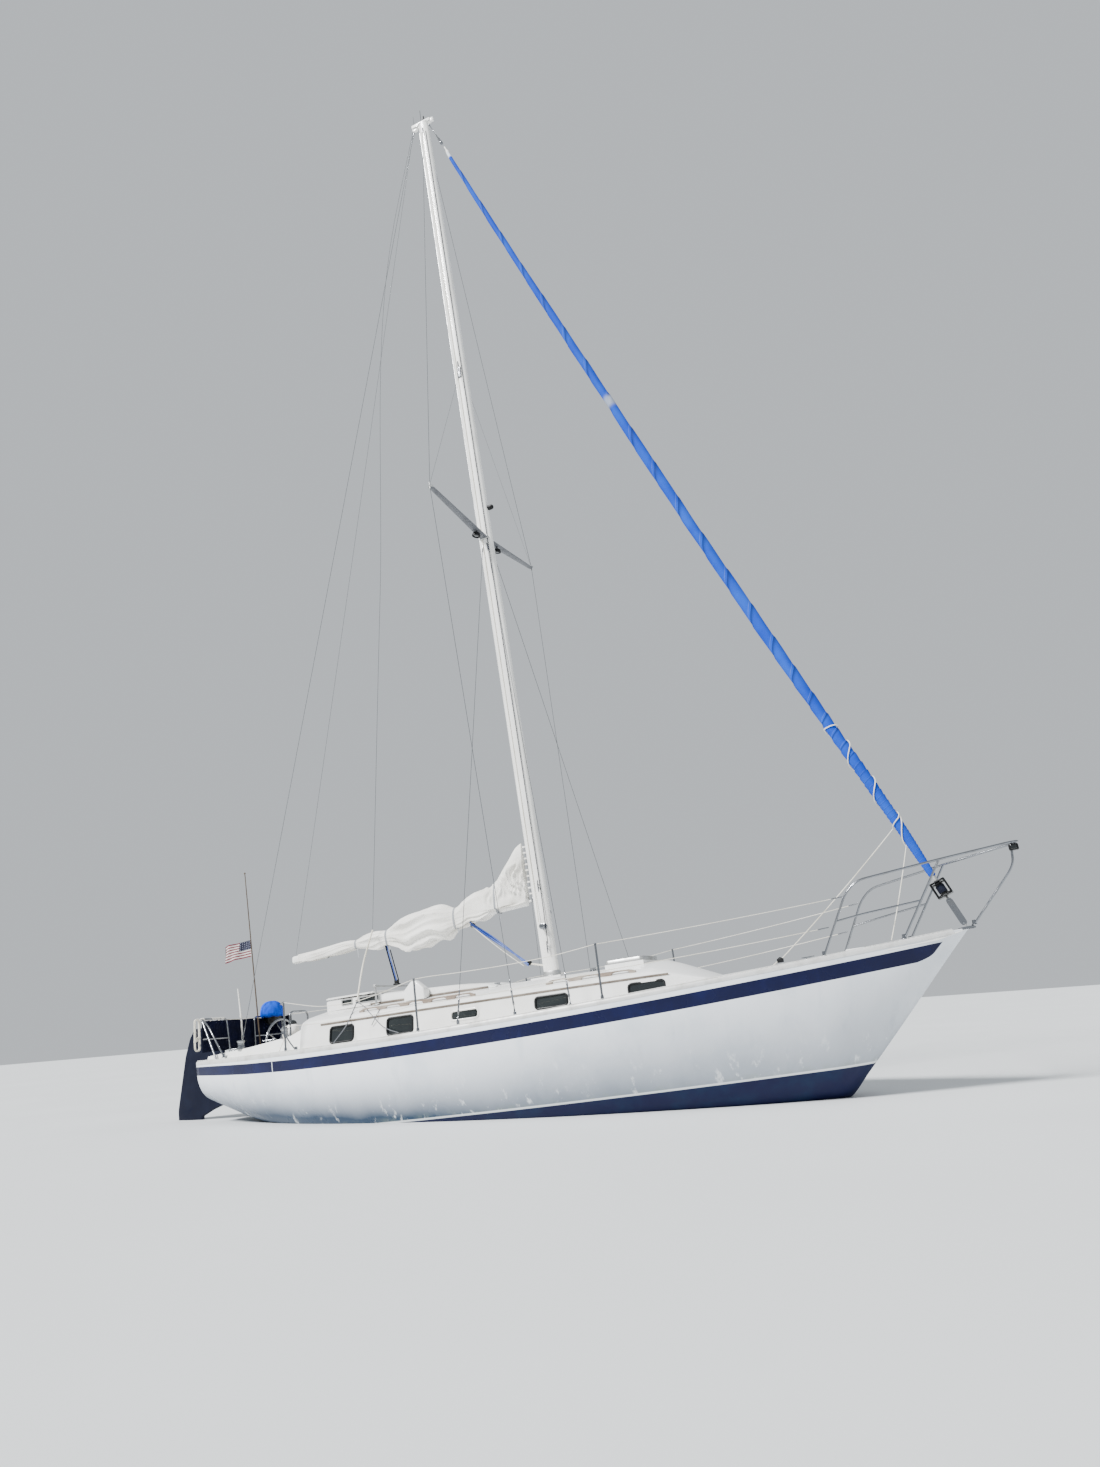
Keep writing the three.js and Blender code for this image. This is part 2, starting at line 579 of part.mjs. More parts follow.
// winches on the coamings
const WINCH = { skirt: 58, neck: 44, head: 52, skirtHigh: 55, high: 110 };
for (const [side, sideName] of [[1, "port"], [-1, "starboard"]]) {
  for (const [x, y, z, spot] of [[-4190, 776, 1166, "aft"], [-3420, 846, 1230, "fore"]]) {
    const foot = z - 8;
    const base = bar([x, side * y, foot], [x, side * y, z + WINCH.skirtHigh], WINCH.skirt, 16, WINCH.neck);
    const drum = bar([x, side * y, z + WINCH.skirtHigh - 1], [x, side * y, z + WINCH.high],
      WINCH.neck, 16, WINCH.head);
    const clear = coamings.map((coaming) => coaming.translate([0, 0, GAP]));
    place(`winch_${spot}_${sideName}`, cut(join(base, drum), ...clear), LOOK.steel);
  }
}

// mast and spreaders
const mastX = (z) => -RAKE * (z - MAST.footZ);
const mastRing = (z, scale) => {
  const points = [];
  for (let i = 0; i < 12; i += 1) {
    const angle = (i / 12) * Math.PI * 2;
    const x = mastX(z) + Math.cos(angle) * (MAST.long / 2) * scale;
    points.push([x, Math.sin(angle) * (MAST.wide / 2) * scale, z]);
  }
  return points;
};
place("mast", loft([
  mastRing(MAST.footZ + GAP, 1), mastRing(11000, 1), mastRing(MAST.headZ, MAST.headScale),
]), LOOK.spar);

const spreaderX = mastX(SPREADER.z);
const spreaderTip = (side) => [spreaderX, side * SPREADER.half, SPREADER.z + SPREADER.rise];
const wingRing = (x, y, z, long, high) => [
  [x + long, y, z], [x + long * 0.5, y, z + high], [x - long * 0.7, y, z + high * 0.7],
  [x - long, y, z], [x - long * 0.7, y, z - high * 0.7], [x + long * 0.5, y, z - high],
];
for (const [name, side] of [["spreader_port", 1], ["spreader_starboard", -1]]) {
  const [tipX, tipY, tipZ] = spreaderTip(side);
  place(name, loft([
    wingRing(tipX, side * (MAST.wide / 2 + 2), SPREADER.z, 60, 26),
    wingRing(tipX, tipY - side * 10, tipZ, 34, 16),
  ]), LOOK.spar);
}
const headZ = MAST.headZ + GAP;
const headX = mastX(headZ);
place("masthead_fitting", join(
  box(headX - 210, headX + 130, -40, 40, headZ, headZ + 55),
  box(headX - 210, headX - 110, -22, 22, headZ - 60, headZ + 10),
  box(headX + 105, headX + 190, -22, 22, headZ - 20, headZ + 55),
  bar([headX - 40, 0, headZ + 50], [headX - 40, 0, headZ + 320], 8, 6),
), LOOK.spar);

// standing rigging
for (const [name, side] of [["shrouds_port", 1], ["shrouds_starboard", -1]]) {
  const tip = spreaderTip(side).map((value, i) => (i === 1 ? value + side * 2 : value));
  const tangZ = MAST.headZ - 120;
  const head = [mastX(tangZ), side * (MAST.wide / 2) * 1.1, tangZ];
  const rootY = side * (MAST.wide / 2 + 14);
  const rootZ = SPREADER.z - 90;
  const foot = (x, inboard) => [x, side * (CHAIN.y - inboard), CHAIN.z + 45];
  const chainplate = box(-740, 740, ...sideRange(side, CHAIN.y - 31, CHAIN.y + 7), 1040, CHAIN.z + 50);
  place(name, join(
    pipe([head, tip, foot(CHAIN.capX, 0)], WIRE, 6),
    bar([spreaderX + 30, rootY, rootZ], foot(CHAIN.lowerX, 24), WIRE, 6),
    bar([spreaderX - 30, rootY, rootZ], foot(-CHAIN.lowerX, 0), WIRE, 6),
    cut(chainplate, deckWithGap),
  ), LOOK.steel);
}
place("backstay", bar([headX - 190, 0, headZ - 62], [-4890, 0, 1150], WIRE, 6), LOOK.steel);

// forestay, with the furler and the rolled headsail that turn about it
const stayWay = new THREE.Vector3(FORESTAY_TOP.x - TACK.x, 0, FORESTAY_TOP.z - TACK.z);
const onStay = (share) => [TACK.x + stayWay.x * share, 0, TACK.z + stayWay.z * share];
const FURLER = { foot: 0.0185, low: 0.019, high: 0.0345, neck: 70, flange: 88 };
place("forestay_foot", bar(onStay(-0.005), onStay(FURLER.foot), 11, 8), LOOK.steel);
place("forestay_head", bar(onStay(0.961), onStay(1), WIRE, 6), LOOK.steel);
place("furler_drum", join(
  bar(onStay(FURLER.low), onStay(FURLER.low + 0.0035), FURLER.flange, 16),
  bar(onStay(FURLER.low + 0.003), onStay(FURLER.high - 0.003), FURLER.neck, 16),
  bar(onStay(FURLER.high - 0.0035), onStay(FURLER.high), FURLER.flange, 16),
), LOOK.black);
const stayLong = Math.hypot(stayWay.x, stayWay.z);
const ROLL = [
  // share of the stay, radius, how far the roll hangs below the straight line
  [0.035, 34, 0], [0.1, 60, 2], [0.2, 68, 34], [0.38, 68, 64], [0.6, 57, 57], [0.8, 42, 40], [0.945, 26, 6],
].map(([share, radius, sag]) => {
  const [x, , z] = onStay(share);
  return { radius, at: [x - (sag * stayWay.z) / stayLong, 0, z + (sag * stayWay.x) / stayLong] };
});
const rolls = ROLL.slice(1).map((end, i) => bar(ROLL[i].at, end.at, ROLL[i].radius, 12, end.radius));
const sailHead = bar(onStay(0.944), onStay(0.96), 22, 10);
place("furled_jib", join(...rolls, sailHead), LOOK.blueCanvas);

// boom, with the flaked mainsail and the vang that swing with it
const boomZ = (x) => GOOSENECK.z + (x - GOOSENECK.x) * BOOM.slope;
const boomRing = (x) => [[45, 0], [34, 50], [-34, 50], [-45, 0], [-34, -50], [34, -50]].map(
  ([y, z]) => [x, y, boomZ(x) + z]);
const boomNose = bar([GOOSENECK.x - 5, 0, GOOSENECK.z], [BOOM.noseX - 30, 0, GOOSENECK.z], 12, 8);
place("boom", join(loft([BOOM.noseX, BOOM.endX].map(boomRing)), boomNose), LOOK.spar);
const mastFaceX = mastX(GOOSENECK.z) - MAST.long / 2;
place("gooseneck", box(mastFaceX - 12, mastFaceX - 1.5, -16, 16, GOOSENECK.z - 40, GOOSENECK.z + 40),
  LOOK.steel);
const BUNDLE = [
  // x, half width, height over the boom
  [-222, 45, 640],
  [-560, 110, 380],
  [-950, 150, 250],
  [-1500, 150, 205],
  [-2300, 140, 150],
  [-3000, 110, 90],
  [-3760, 80, 60],
];
place("mainsail_bundle", loft(BUNDLE.map(([x, half, high]) => {
  const low = boomZ(x) + BOOM.deep + GAP;
  return [
    [x, half * 0.5, low], [x, half, low + high * 0.35], [x, half * 0.5, low + high * 0.9],
    [x, 0, low + high], [x, -half * 0.5, low + high * 0.9], [x, -half, low + high * 0.35],
    [x, -half * 0.5, low],
  ];
})), LOOK.sail);
place("boom_vang", bar([-265, 0, 1700], [-1050, 0, boomZ(-1050) - 112], 16, 8), LOOK.rope);

// guard rails: three stanchions and two wires a side, with a gate to starboard abaft them
const sheerAt = (x) => {
  const i = Math.max(1, STATIONS.findIndex((station) => station.x >= x));
  const [a, b] = [STATIONS[i - 1], STATIONS[i]];
  const share = (x - a.x) / (b.x - a.x);
  return { y: between(a.halfBeam, b.halfBeam, share), z: between(a.sheer, b.sheer, share) };
};
const STANCHION = { inboard: 60, foot: 8, high: 610, wire: 3 };
const STANCHIONS = [-3120, -1066, 1148];
const SLACK = [
  // x of each knot, its height over the sheer on the upper wire and on the lower one
  [-3120, 600, 312],
  [-2520, 484, 290],
  [-1960, 471, 284],
  [-1460, 532, 292],
  [-1066, 598, 310],
  [-460, 583, 301],
  [80, 568, 297],
  [660, 569, 300],
  [1148, 598, 310],
].map(([x, upper, lower]) => ({ x, upper, lower }));
for (const [name, side] of [["guard_rail_port", 1], ["guard_rail_starboard", -1]]) {
  const posts = STANCHIONS.map((x) => {
    const edge = sheerAt(x);
    const y = side * (edge.y - STANCHION.inboard);
    return { x, y, foot: edge.z + STANCHION.foot, top: edge.z + STANCHION.high };
  });
  const wires = [
    { level: "upper", aftEnd: [-4878, 738, 1618], foreEnd: [3682, 545, 1822] },
    { level: "lower", aftEnd: [-4745, 795, 1365], foreEnd: [3492, 592, 1530] },
  ].flatMap(({ level, aftEnd, foreEnd }) => {
    const knots = SLACK.map((knot) => {
      const i = Math.min(1, STANCHIONS.findIndex((x) => x >= knot.x) > 1 ? 1 : 0);
      const [a, b] = [posts[i], posts[i + 1]];
      const share = (knot.x - a.x) / (b.x - a.x);
      return [knot.x, between(a.y, b.y, share), sheerAt(knot.x).z + knot[level]];
    });
    knots.push([foreEnd[0], side * foreEnd[1], foreEnd[2]]);
    if (side > 0) knots.unshift(aftEnd);
    return knots.slice(1).map((knot, i) => bar(knots[i], knot, STANCHION.wire, 6));
  });
  const { x, y, foot, top } = posts[0];
  const brace = bar([x, y, between(foot, top, 0.35)], [x + 150, y + side * 10, foot + 4], 8, 8);
  place(name, join(
    ...posts.map((post) => bar([post.x, post.y, post.foot], [post.x, post.y, post.top], RAIL)),
    brace, ...wires,
  ), LOOK.steel);
}

// pulpit round the stem
const pulpitTip = [5490, 0, 2138];
const pulpitSide = (side) => join(
  pipe([
    [3390, side * 600, 1252], [3720, side * 560, 1850], [3860, side * 540, 1965],
    [4700, side * 290, 2062], [5400, side * 100, 2130], pulpitTip,
  ], RAIL),
  bar([4180, side * 300, 1316], [4690, side * 292, 2058], RAIL),
);
place("pulpit", join(
  pulpitSide(1), pulpitSide(-1),
  pipe([[4870, 0, 1372], [5330, 0, 1850], [5380, 0, 1930], [5405, 0, 2128]], RAIL),
  bar([5405, -96, 2130], [5405, 96, 2130], RAIL * 0.9),
), LOOK.steel);

// pushpit: two halves, each a corner with two raked legs, a crossbar and an inner post
for (const [name, side, inner] of [["pushpit_port", 1, 360], ["pushpit_starboard", -1, 210]]) {
  const corner = [-4915, side * 700, 1628];
  const post = [-4925, side * inner, 1628];
  place(name, cut(join(
    pipe([[-4540, side * 835, 1040], corner, post, [-4895, side * (inner - 30), 1080]], RAIL),
    pipe([[-4440, side * 822, 1100], [-4640, side * 800, 1400], [-4760, side * 752, 1530], corner],
      RAIL * 0.8),
    bar([-4755, side * 766, 1363], [-4910, side * (inner - 12), 1363], RAIL * 0.8),
  ), deckWithGap, ...coamings.map((coaming) => coaming.translate([0, 0, GAP]))), LOOK.steel);
}

// soft things at the stern
const CLOTH = { aft: -4960, thick: 10, low: 1190, top: 1618, starboard: -655, port: 862, front: -4640 };
place("weather_cloth", join(
  box(CLOTH.aft, CLOTH.aft + CLOTH.thick, CLOTH.starboard, CLOTH.port, CLOTH.low, CLOTH.top),
  box(CLOTH.aft, CLOTH.front, CLOTH.port - CLOTH.thick, CLOTH.port, CLOTH.low, CLOTH.top),
), LOOK.cloth);
const coverDome = new THREE.SphereGeometry(1, 16, 10);
coverDome.scale(190, 230, 190);
coverDome.translate(-4800, 600, 1645);
place("rail_cover", cut(solidOf(coverDome), box(-5200, -4400, 200, 1000, 1400, 1645)), LOOK.blueCanvas);
place("flag_staff", bar([-4862, 400, 1125], [-4862, 206, 3690], 9, 8), LOOK.spar);
const FLY = [[-4874, 291, 0], [-5275, 176, -50]]; // hoist and fly: x, y, droop
place("flag", loft(FLY.map(([x, y, droop]) => [
  [x, y + 5, 2470 + droop], [x, y + 5, 2715 + droop], [x, y - 5, 2715 + droop], [x, y - 5, 2470 + droop],
])), LOOK.flag);
place("rope_hank", box(-5000, -4968, -764, -666, 1215, 1640), LOOK.rope);

// mainsheet traveller, bridged over the sliding hatch
const TRAVELLER = { x: -2240, half: 530, z: 1686 };
const risers = [-1, 1].map((side) => cut(box(
  TRAVELLER.x - 30, TRAVELLER.x + 30, side * 500 - 20, side * 500 + 20, 1430, TRAVELLER.z + 2,
), trunkSolid(-GAP)));
place("traveller", join(
  box(TRAVELLER.x - 20, TRAVELLER.x + 20, -TRAVELLER.half, TRAVELLER.half, TRAVELLER.z, TRAVELLER.z + 26),
  ...risers,
), LOOK.alloy);
place("bow_fitting", cut(box(4560, 4880, -45, 45, 1330, 1362), deckWithGap), LOOK.steel);

// trim: the bow comes up about the Y axis
const afloat = new THREE.Group();
boat.rotation.y = -TRIM;
afloat.add(boat);

export default afloat;
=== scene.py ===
import json
import math
from functools import partial

import bmesh
import bpy
import numpy as np
from mathutils import Matrix, Vector


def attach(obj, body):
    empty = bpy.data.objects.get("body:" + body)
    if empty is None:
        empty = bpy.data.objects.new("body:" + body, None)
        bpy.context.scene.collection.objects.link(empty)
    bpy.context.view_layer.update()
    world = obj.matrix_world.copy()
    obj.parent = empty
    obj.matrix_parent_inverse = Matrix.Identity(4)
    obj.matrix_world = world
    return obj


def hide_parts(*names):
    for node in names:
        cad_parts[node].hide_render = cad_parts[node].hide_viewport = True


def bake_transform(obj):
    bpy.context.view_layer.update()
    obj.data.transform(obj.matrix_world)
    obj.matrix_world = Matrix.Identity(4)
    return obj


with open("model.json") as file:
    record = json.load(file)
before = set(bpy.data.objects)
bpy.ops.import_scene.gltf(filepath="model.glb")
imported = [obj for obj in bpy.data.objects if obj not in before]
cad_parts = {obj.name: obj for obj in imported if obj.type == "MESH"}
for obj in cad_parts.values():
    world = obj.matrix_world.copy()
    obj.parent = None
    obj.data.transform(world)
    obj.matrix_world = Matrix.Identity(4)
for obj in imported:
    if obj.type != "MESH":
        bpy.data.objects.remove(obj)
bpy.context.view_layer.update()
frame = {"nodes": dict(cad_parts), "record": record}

nodes = frame["nodes"]
bothSides = {"port": 1, "starboard": -1}
trim = math.radians(3.344)  # bow up; every piece is worked out level, then floated by this turn
print("frame loaded:", len(nodes), "nodes")

# camera

view = {"at": (5.2538, -11.63019, 1.08258), "yaw": 1.98627, "pitch": 0.26741, "roll": -0.07494, "lens": 24.957}


def placeCamera():
    # looks along yaw and pitch, then rolls about the line of sight
    yaw, pitch, roll = view["yaw"], view["pitch"], view["roll"]
    ahead = Vector((math.cos(pitch) * math.cos(yaw), math.cos(pitch) * math.sin(yaw), math.sin(pitch)))
    level = ahead.cross(Vector((0, 0, 1))).normalized()
    upright = level.cross(ahead)
    right = level * math.cos(roll) + upright * math.sin(roll)
    up = upright * math.cos(roll) - level * math.sin(roll)
    data = bpy.data.cameras.new("camera")
    data.lens = view["lens"]
    data.clip_end = 300
    camera = bpy.data.objects.new("camera", data)
    camera.matrix_world = Matrix.Translation(view["at"]) @ Matrix((right, up, -ahead)).transposed().to_4x4()
    bpy.context.scene.collection.objects.link(camera)
    bpy.context.scene.camera = camera


placeCamera()

# surfaces


def spread(*parts):
    # numbers side by side: the parts take their common shape and become the last axis
    return np.stack(np.broadcast_arrays(*parts), -1)


def wholeTurn(count):
    return np.linspace(0, 2 * np.pi, count, endpoint=False)


def walkedAlong(path):
    # the length walked at each point of the path
    return np.concatenate([[0], np.cumsum(np.linalg.norm(np.diff(path, axis=0), axis=-1))])


def unit(ways):
    # each way at a length of one
    ways = np.asarray(ways, float)
    return ways / np.linalg.norm(ways, axis=-1, keepdims=True)


def squareTo(axis):
    # two unit ways, square to the axis and to each other
    first = unit(np.cross(axis, np.eye(3)[np.abs(axis).argmin()]))
    return first, np.cross(axis, first)


def slackLine(start, end, sag, count):
    # a straight line lowered in the middle by a quarter of the sag
    start, end, t = np.asarray(start, float), np.asarray(end, float), np.linspace(0, 1, count)[:, None]
    return start + t * (end - start) - t * (1 - t) * [0, 0, sag]


def afloat(points):
    # level frame to the water's frame: the bow comes up about the Y axis
    points = np.asarray(points, float)
    x, y, z = points[..., 0], points[..., 1], points[..., 2]
    return spread(x * math.cos(trim) - z * math.sin(trim), y, x * math.sin(trim) + z * math.cos(trim))


def grid(points, around=True, capStart=True, capEnd=True):
    # rows of points joined by four-sided faces; around joins a row's end to its start,
    # and a cap fans from the middle of an end row; the map's u and v are lengths in metres
    points = np.asarray(points, float)
    n, m = points.shape[:2]
    i, j = np.meshgrid(np.arange(n - 1), np.arange(m if around else m - 1), indexing="ij")
    k = (j + 1) % m
    quads = spread(i * m + j, (i + 1) * m + j, (i + 1) * m + k, i * m + k).reshape(-1, 4)
    across = np.concatenate([points, points[:, :1]], 1) if around else points
    u = np.concatenate([[0], np.cumsum(np.linalg.norm(np.diff(points, axis=0), axis=-1).mean(1))])
    v = np.concatenate([[0], np.cumsum(np.linalg.norm(np.diff(across, axis=1), axis=-1).mean(0))])
    corners = [(u[i], v[j]), (u[i + 1], v[j]), (u[i + 1], v[j + 1]), (u[i], v[j + 1])]
    quadMap = np.stack([spread(*c) for c in corners], 2).reshape(-1, 4, 2)
    flat = points.reshape(-1, 3)
    tris, triMap = np.zeros((0, 3), int), np.zeros((0, 3, 2))
    for wanted, row, at in ((capStart, 0, 0.0), (capEnd, n - 1, u[-1])):
        if not (around and wanted):
            continue
        middle = len(flat)
        flat = np.concatenate([flat, points[row].mean(0)[None]])
        j = np.arange(m)
        fan = spread(middle, row * m + j, row * m + (j + 1) % m)
        fanMap = np.stack([spread(at, v[j])] * 3, 1)
        tris, triMap = np.concatenate([tris, fan]), np.concatenate([triMap, fanMap])
    return {"points": flat, "quads": quads, "quadMap": quadMap, "tris": tris, "triMap": triMap}


def cubicThrough(knots, values, at):
    # a cubic between neighbouring knots whose slope at each is the mean of the chords beside it
    knots, values, at = np.asarray(knots, float), np.asarray(values, float), np.asarray(at, float)
    slopes = np.gradient(values, knots, axis=0)
    i = np.clip(np.searchsorted(knots, at) - 1, 0, len(knots) - 2)
    width = knots[i + 1] - knots[i]
    t = (at - knots[i]) / width
    if values.ndim > 1:
        width, t = width[..., None], t[..., None]
    start, end = values[i], values[i + 1]
    return (start * (2 * t**3 - 3 * t**2 + 1) + slopes[i] * width * (t**3 - 2 * t**2 + t) + end *
        (3 * t**2 - 2 * t**3) + slopes[i + 1] * width * (t**3 - t**2))


def curveThrough(points, count=40):
    # a cubic through the points, walked by the length between them
    points = np.asarray(points, float)
    walked = walkedAlong(points)
    return cubicThrough(walked, points, np.linspace(0, walked[-1], count))


def easedPath(points, radius=0.08, steps=6):
    # each inner corner is cut back by the radius and rounded by a parabola that aims at the corner
    points = np.asarray(points, float)
    a, b, c = points[:-2], points[1:-1], points[2:]
    back, ahead = a - b, c - b
    backLong, aheadLong = np.linalg.norm(back, axis=-1), np.linalg.norm(ahead, axis=-1)
    reach = np.minimum(radius, 0.48 * np.minimum(backLong, aheadLong))[:, None]
    start, end = b + back / backLong[:, None] * reach, b + ahead / aheadLong[:, None] * reach
    t = np.linspace(0, 1, steps)[None, :, None]
    bends = (1 - t) ** 2 * start[:, None] + 2 * t * (1 - t) * b[:, None] + t**2 * end[:, None]
    return np.concatenate([points[:1], bends.reshape(-1, 3), points[-1:]])


def carried(path, profile, up):
    # the profile's two numbers go to the side of the path and up from it
    path, profile = np.asarray(path, float), np.asarray(profile, float)
    ahead = unit(np.gradient(path, axis=0))
    side = unit(np.cross(up, ahead))
    above = np.cross(ahead, side)
    profile = np.broadcast_to(profile, (len(path),) + profile.shape[-2:])
    return path[:, None] + side[:, None] * profile[..., :1] + above[:, None] * profile[..., 1:]


def tube(path, radius, sides=12):
    # a circle carried along the path, kept square to the axis that the path follows least
    path = np.asarray(path, float)
    up = np.eye(3)[np.abs(unit(np.diff(path, axis=0))).max(0).argmin()]
    turn = wholeTurn(sides)
    circle = spread(np.cos(turn), np.sin(turn))
    radii = np.broadcast_to(np.asarray(radius, float), (len(path),))
    return grid(carried(path, circle[None] * radii[:, None, None], up))


def turned(profile, foot, axis, sides=24):
    # a profile of (height, radius) turned about an axis that stands on the foot
    profile, foot, axis = np.asarray(profile, float), np.asarray(foot, float), unit(axis)
    first, second = squareTo(axis)
    turn = wholeTurn(sides)[None, :, None]
    ring = np.cos(turn) * first + np.sin(turn) * second
    return grid(foot + axis * profile[:, :1, None] + ring * profile[:, 1:, None])


def ovalProfile(halfWide, halfHigh, power=2.0, count=24):
    # a superellipse: a power of 2 is an oval, and more is squarer
    turn = wholeTurn(count)
    c, s = np.cos(turn), np.sin(turn)
    return spread(halfWide * np.sign(c) * np.abs(c) ** (2 / power),
        halfHigh * np.sign(s) * np.abs(s) ** (2 / power))


def block(low, high, ease=0.004):
    # a box whose corners are eased: a squarish section along x, drawn in at both ends
    low, high = np.asarray(low, float), np.asarray(high, float)
    middle, half = (low + high) / 2, (high - low) / 2
    ease = min(ease, *(half * 0.9))
    profile = ovalProfile(1, 1, 7.0, 28)
    inset = ease * np.array([1, 0.3, 0, 0, 0.3, 1])
    xs = np.array([-half[0], -half[0] + ease * 0.3, -half[0] + ease, half[0] - ease, half[0] - ease * 0.3, half[0]])
    rows = spread(xs[:, None], profile[None, :, 0] * (half[1] - inset[:, None]),
        profile[None, :, 1] * (half[2] - inset[:, None]))
    return grid(rows + middle)


def hoop(rows):
    # rows of points joined in turn, and the last row to the first
    return grid(np.concatenate([rows, rows[:1]]), capStart=False, capEnd=False)


def placed(name, mesh, finish, sharp, body, stands=None):
    # the mesh as an object at the origin, with the body that it rides and the node it stands for
    mesh.shade_smooth()
    mesh.set_sharp_from_angle(angle=math.radians(sharp))
    mesh.materials.clear()
    mesh.materials.append(finishes[finish])
    obj = bpy.data.objects.new(name, mesh)
    bpy.context.scene.collection.objects.link(obj)
    if body:
        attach(obj, body)
    if stands:
        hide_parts(stands)
    return obj


def piece(name, shells, finish, body="hull", stands=None, sharp=38, marks=None):
    # joins shells into one floated mesh, welds its poles, points its faces outward and rides it
    start, points, faces, maps = 0, [], [], []
    for shell in shells:
        points.append(shell["points"])
        for kind in ("quads", "tris"):
            faces += (shell[kind] + start).tolist()
            maps.append(shell[kind[:-1] + "Map"].reshape(-1, 2))
        start += len(shell["points"])
    mesh = bpy.data.meshes.new(name)
    mesh.from_pydata(afloat(np.concatenate(points)), [], faces)
    uv = mesh.uv_layers.new(name="lengths")
    uv.data.foreach_set("uv", np.concatenate(maps).ravel())
    for mark, values in (marks or {}).items():
        mesh.attributes.new(mark, "FLOAT", "POINT").data.foreach_set("value", np.asarray(values, float).ravel())
    shape = bmesh.new()
    shape.from_mesh(mesh)
    bmesh.ops.remove_doubles(shape, verts=shape.verts, dist=2e-5)
    bmesh.ops.recalc_face_normals(shape, faces=shape.faces)
    shape.to_mesh(mesh)
    shape.free()
    return placed(name, mesh, finish, sharp, body, stands)


def easedCopy(node, finish, width, angle):
    # a node's own mesh, merged, its flat faces joined and its hard edges rounded by a bevel
    mesh = nodes[node].data.copy()
    shape = bmesh.new()
    shape.from_mesh(mesh)
    bmesh.ops.remove_doubles(shape, verts=shape.verts, dist=1e-5)
    bmesh.ops.dissolve_limit(shape, angle_limit=math.radians(1), verts=shape.verts, edges=shape.edges)
    hard = [e for e in shape.edges if len(e.link_faces) == 2 and e.calc_face_angle(0) > math.radians(angle)]
    bmesh.ops.bevel(shape, geom=hard, offset=width, segments=3, profile=0.6, affect="EDGES", clamp_overlap=True)
    bmesh.ops.remove_doubles(shape, verts=shape.verts, dist=1e-6)
    shape.to_mesh(mesh)
    shape.free()
    return placed(node + "_moulded", mesh, finish, 30, "hull", node)


# finishes


def colour(text):
    # a screen colour in hex, made linear for the shader
    level = np.array([int(text[i:i + 2], 16) for i in (0, 2, 4)]) / 255
    linear = np.where(level > 0.04045, ((level + 0.055) / 1.055) ** 2.4, level / 12.92)
    return (*linear.tolist(), 1.0)


number, tint = "NodeSocketFloat", "NodeSocketColor"


def newGroup(name, inputs):
    # a shared effect: a colour or number goes in by each label; a colour, a roughness and a height come out
    tree = bpy.data.node_groups.new(name, "ShaderNodeTree")
    for label, value in inputs.items():
        kind = tint if isinstance(value, tuple) else number
        tree.interface.new_socket(label, in_out="INPUT", socket_type=kind).default_value = value
    for label, kind in (("Color", tint), ("Roughness", number), ("Height", number)):
        tree.interface.new_socket(label, in_out="OUTPUT", socket_type=kind)
    given, made = tree.nodes.new("NodeGroupInput"), tree.nodes.new("NodeGroupOutput")
    return tree, given.outputs, made


def plug(node, links):
    # sets a node's inputs: a socket is linked, and a number or colour is its value
    for label, value in links.items():
        socket = node.inputs[label]
        if isinstance(value, bpy.types.NodeSocket):
            node.id_data.links.new(value, socket)
        else:
            socket.default_value = value
    return node


def added(tree, kind, links=None, **settings):
    # a new node with its settings and inputs
    node = tree.nodes.new("ShaderNode" + kind)
    for name, value in settings.items():
        setattr(node, name, value)
    return plug(node, links or {})


def worked(kind, links, out=0, **settings):
    # a new node in the tree of the first socket that it takes, and the socket that it makes
    tree = next(v.id_data for v in links.values() if isinstance(v, bpy.types.NodeSocket))
    return added(tree, kind, links, **settings).outputs[out]


def maths(kind, a, b=0.0, c=None):
    return worked("Math", {0: a, 1: b} if c is None else {0: a, 1: b, 2: c}, operation=kind)


times, timesPlus, plus, minus, over = (partial(maths, kind) for kind in ("MULTIPLY", "MULTIPLY_ADD", "ADD",
    "SUBTRACT", "DIVIDE"))
isUnder, fraction, sine, absolute, larger, raised = (partial(maths, kind) for kind in ("LESS_THAN", "FRACT", "SINE",
    "ABSOLUTE", "MAXIMUM", "POWER"))


def blendColours(share, a, b):
    return worked("Mix", {0: share, 6: a, 7: b}, 2, data_type="RGBA")


def spots(place, scale, detail=4.0, stretch=(1, 1, 1), rough=0.55):
    # noise on a place, drawn out by the stretch
    drawn = worked("Mapping", {"Vector": place, "Scale": stretch})
    return worked("TexNoise", {"Vector": drawn, "Scale": scale, "Detail": detail, "Roughness": rough})


def ranged(value, low, high, outLow=0.0, outHigh=1.0):
    # the value's span from low to high becomes the span from outLow to outHigh, held at both ends
    return worked("MapRange", {"Value": value, "From Min": low, "From Max": high, "To Min": outLow,
        "To Max": outHigh}, interpolation_type="SMOOTHSTEP")


def carriedMark(tree, label):
    # the value that each point of the mesh carries under the label
    return added(tree, "Attribute", attribute_name=label).outputs["Fac"]


def objectPlace(tree):
    return added(tree, "TexCoord").outputs["Object"]


